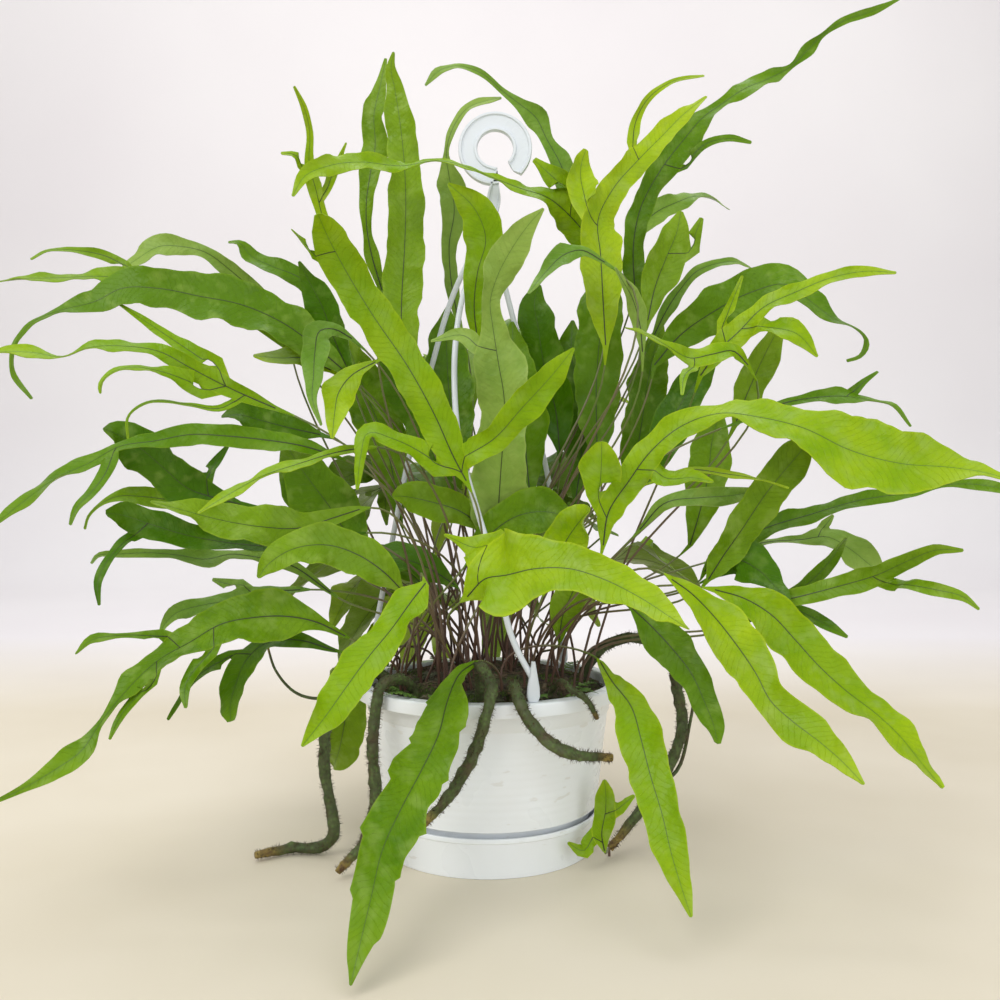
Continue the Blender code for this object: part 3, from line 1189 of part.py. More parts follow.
def turned(name, profile, collection):
    """A round body from a profile of (radius, height) that runs down its outer side."""
    mesh = bpy.data.meshes.new(name)
    points = [(radius * MM, 0.0, height * MM) for radius, height in profile]
    mesh.from_pydata(points, [(k, k + 1) for k in range(len(points) - 1)], [])
    thing = new_object(name, mesh, collection)
    screw = thing.modifiers.new("Turn", "SCREW")
    screw.axis = "Z"
    screw.angle = 2 * math.pi
    screw.steps = SIDES_ROUND
    screw.render_steps = SIDES_ROUND
    screw.use_merge_vertices = True
    screw.merge_threshold = 0.0001
    screw.use_smooth_shade = False
    return thing


def cut_by(thing, cutters):
    """Cuts a collection of cutters out of a body."""
    cut = thing.modifiers.new("Cut", "BOOLEAN")
    cut.operation = "DIFFERENCE"
    cut.operand_type = "COLLECTION"
    cut.collection = cutters
    cut.solver = "EXACT"


def new_cutters(name):
    """A hidden collection for what is cut away."""
    cutters = bpy.data.collections.new(name)
    bpy.context.scene.collection.children.link(cutters)
    cutters.hide_render = True
    return cutters


def add_cutter(cutters, mesh):
    cutter = new_object(mesh.name, mesh, cutters)
    cutter.hide_render = True
    cutter.display_type = "WIRE"


def clip_spots():
    """Where the hanger's three clips stand on the rim: (x, y, turn)."""
    spots = []
    for strand in STRANDS:
        across, up, depth = strand[-1]
        turn = math.atan2(depth, across)
        spots.append((CLIP_CIRCLE * math.cos(turn), CLIP_CIRCLE * math.sin(turn), turn))
    return spots


def build_pot(collection):
    """White pot: a smooth wall that flares up to a wide rolled rim."""
    profile = (
        (0, FLOOR_TOP), (FLOOR_RADIUS, FLOOR_TOP), (FOOT_RADIUS - WALL, BODY_LOW - LEDGE),
        (BODY_LOW_RADIUS - WALL, BODY_LOW + LEDGE), (BODY_TOP_RADIUS - WALL, RIM_TOP - RIM_BEND),
        (RIM_INNER, RIM_TOP), (RIM_RADIUS, RIM_TOP), (RIM_RADIUS, RIM_TOP - RIM_SKIRT),
        (RIM_RADIUS - RIM_THICK, RIM_TOP - RIM_SKIRT), (RIM_RADIUS - RIM_THICK, RIM_TOP - RIM_THICK),
        (BODY_TOP_RADIUS, RIM_TOP - RIM_THICK), (BODY_TOP_RADIUS, RIM_TOP - RIM_BEND),
        (BODY_LOW_RADIUS, BODY_LOW), (FOOT_RADIUS, BODY_LOW - LEDGE), (FOOT_LOW_RADIUS, FLOOR_UNDER),
        (0, FLOOR_UNDER))
    pot = turned("pot", profile, collection)
    cutters = new_cutters("pot cutters")
    for x, y, turn in clip_spots():
        add_cutter(cutters, prism("peg hole", x, y, RIM_TOP - 4, RIM_TOP + 2, PEG_RADIUS + GAP, 8, turn))
    for k in range(DRAINS):
        turn = 2 * math.pi * (k + 0.4) / DRAINS
        x, y = DRAIN_CIRCLE * math.cos(turn), DRAIN_CIRCLE * math.sin(turn)
        add_cutter(cutters, prism("drain hole", x, y, 0.5, 8, DRAIN_RADIUS, 8, turn))
    cut_by(pot, cutters)
    paint(pot, (0.86, 0.86, 0.84), 0.25)


def build_saucer(collection):
    """Shallow dish that the pot stands in."""
    profile = ((0, SAUCER_FLOOR), (SAUCER_FLOOR_RADIUS, SAUCER_FLOOR),
               (SAUCER_TOP_RADIUS - SAUCER_WALL, SAUCER_HEIGHT),
               (SAUCER_TOP_RADIUS, SAUCER_HEIGHT), (SAUCER_LOW_RADIUS, 0), (0, 0))
    paint(turned("saucer", profile, collection), (0.86, 0.86, 0.84), 0.25)


def build_soil(collection, planted):
    """Peaty soil that fills the pot, with a plain hole for every crown and rhizome."""
    inner = GAP + 0.2
    profile = SOIL_TOP + (
        (BODY_LOW_RADIUS - WALL - inner, BODY_LOW + LEDGE), (FOOT_RADIUS - WALL - inner, BODY_LOW - LEDGE),
        (FLOOR_RADIUS - inner, FLOOR_TOP + GAP), (0, FLOOR_TOP + GAP))
    soil = turned("soil", profile, collection)
    cutters = new_cutters("soil cutters")
    for place in planted:
        ground = soil_height(math.hypot(*place))
        add_cutter(cutters, prism("crown hole", *place, ground - CROWN_DEPTH - GAP, ground + CUT_ABOVE,
                                  CROWN_RADIUS + 1.3 * GAP, CROWN_SIDES, CROWN_TURN))
    for radius, places, shoots in RHIZOMES.values():
        x, y, z = places[0]
        ground = soil_height(math.hypot(x, y))
        add_cutter(cutters, prism("rhizome hole", x, y, ground - PLANTING_DEPTH - GAP, ground + CUT_ABOVE,
                                  radius + 1.6 * GAP, 8, CROWN_TURN))
    cut_by(soil, cutters)
    paint(soil, (0.05, 0.032, 0.02), 0.95)


def tube(name, places, radius, sides):
    """Mesh of a round rod with filled ends along places in metres."""
    curve = bpy.data.curves.new(name, "CURVE")
    curve.dimensions = "3D"
    curve.bevel_depth = radius * MM
    curve.bevel_resolution = (sides - 4) // 2
    curve.use_fill_caps = True
    line = curve.splines.new("POLY")
    line.points.add(len(places) - 1)
    for point, place in zip(line.points, places):
        point.co = (*place[:3], 1.0)
    return mesh_of_curve(name, curve)


def mesh_of_curve(name, curve):
    """The curve as a closed mesh."""
    holder = bpy.data.objects.new(name, curve)
    bpy.context.scene.collection.objects.link(holder)
    graph = bpy.context.evaluated_depsgraph_get()
    mesh = bpy.data.meshes.new_from_object(holder.evaluated_get(graph))
    mesh.transform(holder.matrix_world)
    bpy.data.objects.remove(holder)
    shape = bmesh.new()
    shape.from_mesh(mesh)
    bmesh.ops.remove_doubles(shape, verts=shape.verts, dist=0.00001)
    bmesh.ops.recalc_face_normals(shape, faces=shape.faces)
    shape.to_mesh(mesh)
    shape.free()
    mesh.name = name
    return mesh


def even_places(places, spacing):
    """Places at even spacing along a smooth curve through the given ones, in millimetres."""
    route = Route([(x * MM, y * MM, z * MM, 0.0) for x, y, z in places])
    count = max(2, round(route.length / (spacing * MM)))
    return [route.place(route.length * k / count) for k in range(count + 1)]


def build_rhizome(name, collection):
    """A creeping rhizome that climbs out of the soil and over the rim, with its thin shoots."""
    radius, places, shoots = RHIZOMES[name]
    x, y, z = places[0]
    ground = soil_height(math.hypot(x, y))
    over = even_places(((x, y, ground + 3),) + places[1:], RUNNER_STEP)
    path = [Vector((x, y, ground - PLANTING_DEPTH)) * MM] + over
    meshes = [tube(name, path, radius, 6)]
    for number, (thin, route) in enumerate(shoots):
        meshes.append(tube("%s shoot %d" % (name, number), even_places(route, RUNNER_STEP), thin, 4))
    rhizome = fused(name, meshes, collection) if len(meshes) > 1 else new_object(name, meshes[0], collection)
    paint(rhizome, (0.10, 0.12, 0.03), 0.8)


def build_runner_frond(collection):
    """The small frond beside the saucer, whose stalk rises from the end of the right rhizome."""
    tone, hint, blade, lobes = frond_of("runner")
    root = Vector(RUNNER_ROOT) * MM
    loft = grow_frond((tone, hint, blade, lobes), root, (RUNNER_ROOT[2] + 1.5) * MM, 0.4, (0, 0))
    frond = new_object("runner_frond", mesh_of_loft("runner_frond", loft), collection)
    paint(frond, TONES[tone], 0.4)


def hook_outline():
    """Corner points (across, up) of the flat C-shaped hook and its shank."""
    outer, inner = [], []
    start, end = HOOK_TIP_ANGLE, HOOK_SHANK_ANGLE
    for k in range(HOOK_STEPS + 1):
        turn = math.radians(start + (end - start) * k / HOOK_STEPS)
        reach = (math.cos(turn), math.sin(turn))
        outer.append((HOOK_ACROSS + HOOK_OUTER * reach[0], HOOK_HEIGHT + HOOK_OUTER * reach[1]))
        inner.append((HOOK_ACROSS + HOOK_INNER * reach[0], HOOK_HEIGHT + HOOK_INNER * reach[1]))
    foot = HOOK_HEIGHT - SHANK_LENGTH
    shank = [(HOOK_ACROSS - 6 - SHANK_WIDTH / 2, HOOK_HEIGHT - HOOK_OUTER - 6), (-1 - SHANK_WIDTH / 2, foot),
             (-1 + SHANK_WIDTH / 2, foot), (HOOK_ACROSS + SHANK_WIDTH / 2, HOOK_HEIGHT - HOOK_OUTER - 4)]
    return outer[:-1] + shank + inner[::-1]


def flat_plate(name, outline, thick):
    """Mesh of a flat plate in the XZ plane, from an outline in millimetres."""
    shape = bmesh.new()
    corners = [shape.verts.new((x * MM, -thick / 2 * MM, z * MM)) for x, z in outline]
    face = shape.faces.new(corners)
    raised = bmesh.ops.extrude_face_region(shape, geom=[face])
    moved = [part for part in raised["geom"] if isinstance(part, bmesh.types.BMVert)]
    bmesh.ops.translate(shape, verts=moved, vec=(0, thick * MM, 0))
    bmesh.ops.recalc_face_normals(shape, faces=shape.faces)
    mesh = bpy.data.meshes.new(name)
    shape.to_mesh(mesh)
    shape.free()
    return mesh


def clip_outline():
    """A teardrop: wide and flat at its foot, narrow where the strand enters."""
    half = CLIP_WIDTH / 2
    return ((-half * 0.7, 0), (half * 0.7, 0), (half, 3), (half, 9), (half * 0.45, CLIP_HEIGHT - 5),
            (half * 0.2, CLIP_HEIGHT), (-half * 0.2, CLIP_HEIGHT), (-half * 0.45, CLIP_HEIGHT - 5), (-half, 9),
            (-half, 3))


def build_hanger(collection):
    """Plastic hook with three strands; each ends in a clip that is pegged into the rim."""
    meshes = [flat_plate("hanger", hook_outline(), PLATE_THICK)]
    for number, (strand, spot) in enumerate(zip(STRANDS, clip_spots())):
        x, y, turn = spot
        places = [Vector((a, d, u)) * MM for a, u, d in strand[:-1]]
        places.append(Vector((x, y, RIM_TOP + CLIP_HEIGHT - 7)) * MM)
        meshes.append(tube("strand %d" % number, places, STRAND_RADIUS, 6))
        clip = flat_plate("clip %d" % number, clip_outline(), CLIP_THICK)
        clip.transform(Matrix.Translation((x * MM, y * MM, (RIM_TOP + GAP) * MM))
                       @ Matrix.Rotation(turn + math.pi / 2, 4, "Z"))
        meshes.append(clip)
        meshes.append(prism("peg %d" % number, x, y, RIM_TOP - PEG_LENGTH, RIM_TOP + 3, PEG_RADIUS, 6, turn))
    hanger = fused("hanger", meshes, collection)
    paint(hanger, (0.88, 0.88, 0.86), 0.3)


def build_fronds(collection):
    """Every group of fronds as one piece, standing in its crown in the soil."""
    grouped = {name for group in SHARED_CROWNS for name in group}
    alone = [(name,) for name in (*SEEN_FRONDS, *REAR_FRONDS) if name not in grouped]
    planted = plant(list(SHARED_CROWNS) + alone)
    number = 0
    for group, place in planted.items():
        ground = soil_height(math.hypot(*place))
        meshes = [prism(group[0] + " crown", *place, ground - CROWN_DEPTH, ground + CROWN_RISE, CROWN_RADIUS,
                        CROWN_SIDES, CROWN_TURN)]
        for k, name in enumerate(group):
            number += 1
            loft = frond_loft(name, place, 2 * math.pi * k / len(group), 0.7 * number)
            meshes.append(mesh_of_loft(name, loft))
        frond = fused("frond_" + group[0], meshes, collection)
        paint(frond, TONES[frond_of(group[0])[0]], 0.4)
    return list(planted.values())


def main():
    for thing in list(bpy.data.objects):
        bpy.data.objects.remove(thing)
    collection = bpy.data.collections.new("kangaroo paw fern")
    bpy.context.scene.collection.children.link(collection)
    build_pot(collection)
    build_saucer(collection)
    planted = build_fronds(collection)
    build_soil(collection, planted)
    build_hanger(collection)
    for name in RHIZOMES:
        build_rhizome(name, collection)
    build_runner_frond(collection)


if __name__ == "__main__":
    main()
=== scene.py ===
"""The look of a kangaroo paw fern in a white hanging pot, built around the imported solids.

Metres, +Z up, in the frame of the solids. Sizes in the tables are millimetres.
"""
import math
import random

import bmesh
import bpy
import numpy as np
from mathutils import Matrix, Vector, noise


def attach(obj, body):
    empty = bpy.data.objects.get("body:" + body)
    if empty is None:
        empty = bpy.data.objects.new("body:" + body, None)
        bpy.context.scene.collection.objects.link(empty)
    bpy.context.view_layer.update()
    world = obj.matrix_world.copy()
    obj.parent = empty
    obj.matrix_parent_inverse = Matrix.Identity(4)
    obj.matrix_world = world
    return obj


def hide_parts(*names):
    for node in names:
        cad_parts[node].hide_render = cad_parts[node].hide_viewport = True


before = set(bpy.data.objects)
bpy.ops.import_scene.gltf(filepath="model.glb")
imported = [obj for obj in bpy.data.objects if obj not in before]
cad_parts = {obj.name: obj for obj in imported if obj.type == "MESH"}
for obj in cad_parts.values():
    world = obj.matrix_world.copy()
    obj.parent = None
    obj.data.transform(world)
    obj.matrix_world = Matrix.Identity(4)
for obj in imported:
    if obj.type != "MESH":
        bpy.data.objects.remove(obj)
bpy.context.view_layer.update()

MM = 0.001
GAP = 0.3
FLOOR_CLEAR = 0.3

# Pot and saucer
ROUND = 160
RIM_RADIUS = 100.0
RIM_INNER = 90.0
RIM_TOP = 123.0
RIM_SKIRT = 9.5
RIM_THICK = 2.5
RIM_LIP = 2.0
RIM_ROOF = 3.0
RIM_BEND = 5.0
COLLAR_DEPTH = 20.0
COLLAR_THICK = 1.1
LEDGE = 1.5
WALL = 2.2
BODY_TOP_RADIUS = 92.0
BODY_LOW_RADIUS = 82.0
BODY_LOW = 32.5
FOOT_RADIUS = 77.0
FOOT_LOW_RADIUS = 73.0
FLOOR_RADIUS = 71.6
FLOOR_TOP = 5.5
FLOOR_UNDER = 3.1
SAUCER_TOP_RADIUS = 83.0
SAUCER_LOW_RADIUS = 79.5
SAUCER_HEIGHT = 28.5
SAUCER_FLOOR = 2.8
SAUCER_WALL = 2.0
SAUCER_PLAY = 0.2
SAUCER_BEAD = ((0.2, -3.2), (-0.9, -3.6))
RIM_ROUNDING = 1.3
FOOT_ROUNDING = 0.7
SAUCER_ROUNDING = 0.9
ROUNDING_STEPS = 4
ROUNDING_SHARE = 0.45
RIB_HEIGHT = 0.13
RIB_PITCH = 5.2
RIB_STEPS = 6

# Soil, what lies on it, and where crowns may stand: rings of places as (radius, count)
SOIL_TOP = ((0, 129.5), (40, 128.0), (75, 120.0), (88.6, 115.5))
SOIL_RINGS = 44
SOIL_TURNS = 150
SOIL_GAP = 0.5
SOIL_LUMP = 9.0
SOIL_LUMPS = ((1.0, 2.2), (3.1, 1.1), (8.0, 0.5))
LITTER_REACH = 86.0
CHIPS = 420
CHIP_TILT = 0.4
CHIP_HALVES = ((1.2, 4.2), (0.8, 2.0), (0.5, 1.0))
CHIP_LIFT = 0.3
CHIP_BEVEL = 0.5
FIBRES = 160
FIBRE_LENGTHS = (10.0, 26.0)
FIBRE_STEPS = 6
FIBRE_BEND = 3.0
FIBRE_LIFT = (0.6, 1.2)
FIBRE_RADIUS = 0.4
CUSHIONS = 60
CUSHION_SIZES = (3.5, 9.0)
CUSHION_HEIGHT = 2.2
MOSS_DENSITY = 2.2
MOSS_BLADES = (0.6, 1.8)
MOSS_LEAN = 0.9
MOSS_HALF = 0.32
MOSS_SUNK = 0.3
PLANTING_RADIUS = 74.0
PLANTING_RINGS = ((19, 6), (37, 12), (55, 16), (73, 21))
PLANTING_TURN = 0.37
PLANTING_PULL = 0.38
PLANTING_DEPTH = 14.0
CROWN_DEPTH = 12.0
CROWN_RISE = 2.0
CROWN_SPREAD = 2.0
CROWN_GAP = 12.0

# Feathered seedlings on the soil: across, back, heading in degrees, length
SEEDLINGS = ((-46, -66, 215, 30), (-30, -74, 250, 24), (-58, -52, 190, 22), (30, -72, 300, 22),
             (52, -60, 330, 28), (60, -44, 20, 20), (-66, 20, 160, 26), (20, 74, 80, 26), (58, 42, 40, 24),
             (-38, 64, 120, 24))
SEEDLING_PAIRS = 9
SEEDLING_RISE = 0.75
SEEDLING_DROOP = 0.5
SEEDLING_FOOT = 1.5
SEEDLING_RADIUS = 0.45
LEAFLET_LENGTH = 0.26
LEAFLET_LEAN = 0.35
LEAFLET_LIFTS = (-0.1, 0.3)
LEAFLET_WIDTH = 0.24
LEAFLET_HALF = 0.22

# Hanger. The hook's angles are degrees round its eye; widths and thicknesses are halves by place along it.
HOOK_ACROSS = 5.0
HOOK_HEIGHT = 525.0
HOOK_OUTER = 28.0
HOOK_INNER = 13.6
HOOK_RIM = 3.0
HOOK_WEB = 1.5
HOOK_LIP = 0.28
HOOK_BEVEL = (0.93, 0.55)
HOOK_WEB_START = 1.35
HOOK_TIP_WIDTH = 0.25
HOOK_TIP_GROWTH = 45.0
HOOK_NECK = 0.78
HOOK_NARROWING = 0.42
HOOK_FOOT_ACROSS = -1.0
HOOK_STEPS = 60
HOOK_TIP_ANGLE = -50.0
HOOK_SHANK_ANGLE = 276.0
SHANK_LENGTH = 66.0
SHANK_STEPS = 12
CLIP_CIRCLE = 94.5
CLIP_HEIGHT = 27.0
CLIP_SIDES = 20
CLIP_STEPS = 18
CLIP_WIDTHS = ((0.0, 3.4), (0.12, 4.7), (0.34, 4.4), (0.8, 2.1), (1.0, 1.2))
CLIP_THICKS = ((0.0, 1.3), (0.5, 1.5), (1.0, 1.3))
CLIP_ROUNDING = 0.6
STRAND_RADIUS = 1.9
STRAND_FLATNESS = 0.12
STRAND_SIDES = 12
STRAND_STEPS = 60

# Rhizomes
RHIZOME_SLIM = 0.86
RHIZOME_SIDES = 16
RHIZOME_WIDTHS = ((0.0, 1.0), (0.72, 1.0), (0.97, 0.74), (1.0, 0.6))
RHIZOME_LIFT = 3.0
SHOOT_SIDES = 9
SHOOT_TAPER = 0.35
RUNNER_ROOT = (87.7, -37.0, 1.0)
RUNNER_RISE = 1.5
RUNNER_PHASE = 0.4
RUNNER_STEP = 3.0
BUD_HEIGHT = 0.8
BUD_LENGTH = 0.9
BUD_ROUNDNESS = 4.5
BUD_EVERY = 5
BUD_SHARES = (0.25, 0.97)
BRISTLES = 22
BRISTLE_WIDTHS = ((0.0, 1.0), (0.72, 1.0), (1.0, 0.65))
BRISTLE_FOOT = 0.92
BRISTLE_OUT = (0.9, 3.2)
BRISTLE_AHEAD = (-1.2, 1.6)
BRISTLE_ASIDE = (-0.8, 0.8)
BRISTLE_HALVES = (0.12, 0.3)

# Stalks; a stalk shorter than the free length bends less
STALK_RADIUS = 1.0
STALK_SIDES = 7
STALK_ROWS = 16
STALK_FREE = 160.0
STALK_TAPER = 0.3
STALK_RISE = 0.42
STALK_LEAD = 0.3

# Blades. A value named ROW is the length along the blade over which a wave or fold comes again.
LEAF, STALK, VEIN = 0, 1, 2
LEAF_THICK = 0.5
ROW = 3.6
COLUMNS = 9
SAMPLES_PER_SPAN = 6
RIPPLE = 2.4
RIPPLE_ROW = 25.0
FRILL = 0.9
FRILL_ROW = 33.0
FRILL_LEAST = 0.7
FRILL_CHANGE = 1.5
FRILL_TURNS = 2.7
FRILL_PHASE = 1.3
WAVE = 0.045
WAVE_ROW = 31.0
NOTCH = 0.11
NOTCH_ROW = 9.0
BITE = 0.24
BITE_ROW = 34.0
BITE_RAGGED = 2.0
BITE_PHASE = 0.3
BITE_MIDDLE = 0.4
TWIST = 24.0
TWIST_ROW = 115.0
TWIST_START = 35.0
TWIST_PHASE = 2.3
RIGHT_PHASE = 1.9
FOLD = 0.07
CALM_WIDTH = 18.0
HEADING_STEP = 4.0
TIP_GAPS = (2.6, 1.3, 0.5)
RIB_THICK = 0.55
RIB_END = 0.14
RIB_SECTION = ((1, 0), (0.6, 0.85), (-0.6, 0.85), (-1, 0), (-0.6, -0.85), (0.6, -0.85))
SWEEP = 0.5
MOST_SWEEP = 0.4
STEEP = 50.0
MOST_TILT = 30.0
MOST_WIDENED = 1.3
LEAST_FACING = 0.4
ARCH_WIDTHS = ((0.0, 0.14), (0.18, 0.75), (0.42, 1.0), (0.68, 0.8), (0.88, 0.42), (1.0, 0.06))

# Lobes
LOBE_CLEAR = 3.0
LOBE_CLEAR_SHARE = 0.3
LOBE_LEAST_HALF = 3.5
LOBE_FROM_FOOT = 6.0
LOBE_FROM_TIP = 8.0
LOBE_APART = 2.0
LOBE_MOVED = 3.0
LOBE_RIB = 0.75
LOBE_RIB_END = 0.12
LOBE_PHASE = 0.9
LOBE_HEADING = (0.6, 0.8)
LOBE_SAG = 0.2
LOBE_WIDTHS = ((0.0, 0.6), (0.4, 0.55), (0.72, 0.45), (1.0, 0.06))

# How a frond's phase and its tint go on from one to the next
PHASE_STEP = 0.7
TINT_STEP = 2.4

# Margins that are more ragged than 1, and tints from -1, darker, to 1, lighter
RAGGED = {"lowest": 2.2, "low_right": 1.4, "front_centre": 1.3, "low_right_a": 1.3, "low_right_b": 1.3}
TINTS = {"paw_front": -1.0, "bright_strip_left": -0.3, "low_left": -0.7, "front_centre": 0.3,
         "low_right": -0.4, "low_right_a": 0.3, "low_right_b": -0.2, "lowest": -0.5, "across": -0.6,
         "bright_upright": -0.7, "tall": 1.0, "tall_behind": 0.6}

# The photograph is taken from 760 mm in front of the axis, 261 mm up and 9 mm to the right
VIEW_DISTANCE = 760.0
VIEW_ACROSS = 9.0
VIEW_HEIGHT = 261.0

# The way that the upper face of a blade looks
FACING = (0.0, -0.8, 0.6)
OTHER_FACINGS = {"front_centre": (0.0, -0.7, 0.7)}

# Colours of a blade's face: dark patches, light patches, veins and margin, underside
TONES = {
    "young": ((0.16, 0.31, 0.001), (0.33, 0.48, 0.002), (0.43, 0.55, 0.015), (0.26, 0.40, 0.03)),
    "leaf": ((0.075, 0.182, 0.001), (0.178, 0.325, 0.002), (0.26, 0.40, 0.015), (0.19, 0.31, 0.03)),
    "deep": ((0.048, 0.140, 0.001), (0.105, 0.235, 0.002), (0.17, 0.30, 0.008), (0.13, 0.25, 0.012)),
    "pale": ((0.115, 0.245, 0.018), (0.24, 0.38, 0.050), (0.34, 0.46, 0.10), (0.26, 0.39, 0.12)),
}

# The span of values that soft noise mostly has
NOISE_SPAN = (0.3, 0.7)

# Clean and dusty plastic; the hanger's white is darker and bluer than the pot's, with painted shade in it
POT_WHITE = ((0.915, 0.955, 1.0), (0.86, 0.875, 0.90))
HANGER_SHADED_WHITE = ((0.74, 0.785, 0.84), (0.68, 0.70, 0.73))

# Roughness, patches, dark, light, grain, and the grain's depth in millimetres and strength
MOSS_LOOK = (0.8, (120.0, 4.0), (0.035, 0.07, 0.01), (0.14, 0.22, 0.03), (900.0, 3.0), 0.5, 0.8)
SEEDLING_LOOK = (0.5, (200.0, 2.0), (0.05, 0.12, 0.015), (0.14, 0.26, 0.035), (700.0, 1.0), 0.2, 0.5)
BRISTLE_LOOK = (0.7, (150.0, 2.0), (0.03, 0.02, 0.01), (0.12, 0.075, 0.035), (900.0, 2.0), 0.1, 0.4)

# Stage: a floor whose bend starts behind the object and goes up into a wall, all in metres
STAGE_HALF = 7.0
STAGE_BEND_START = 2.0
STAGE_BEND = 0.5
STAGE_STEPS = 12
STAGE_HEIGHT = 5.0
FLOOR_END = 0.45
WALL_START = 1.1

# Lamps: name, place, aim, size, power, colour
LAMPS = (
    ("key", (-1.1, -1.5, 1.7), (0, 0, 0.3), (1.6, 1.2), 25.0, (1.0, 0.985, 0.95)),
    ("fill", (1.0, -1.7, 0.6), (0, 0, 0.15), (1.6, 1.6), 13.0, (0.92, 0.96, 1.0)),
    ("wall", (0.0, 1.0, 2.6), (0, 2.6, 1.0), (4.0, 0.5), 25.0, (0.99, 0.97, 1.0)),
    ("top", (0.0, 0.2, 2.2), (0, 0, 0.3), (1.8, 1.8), 15.0, (1.0, 1.0, 1.0)),
)

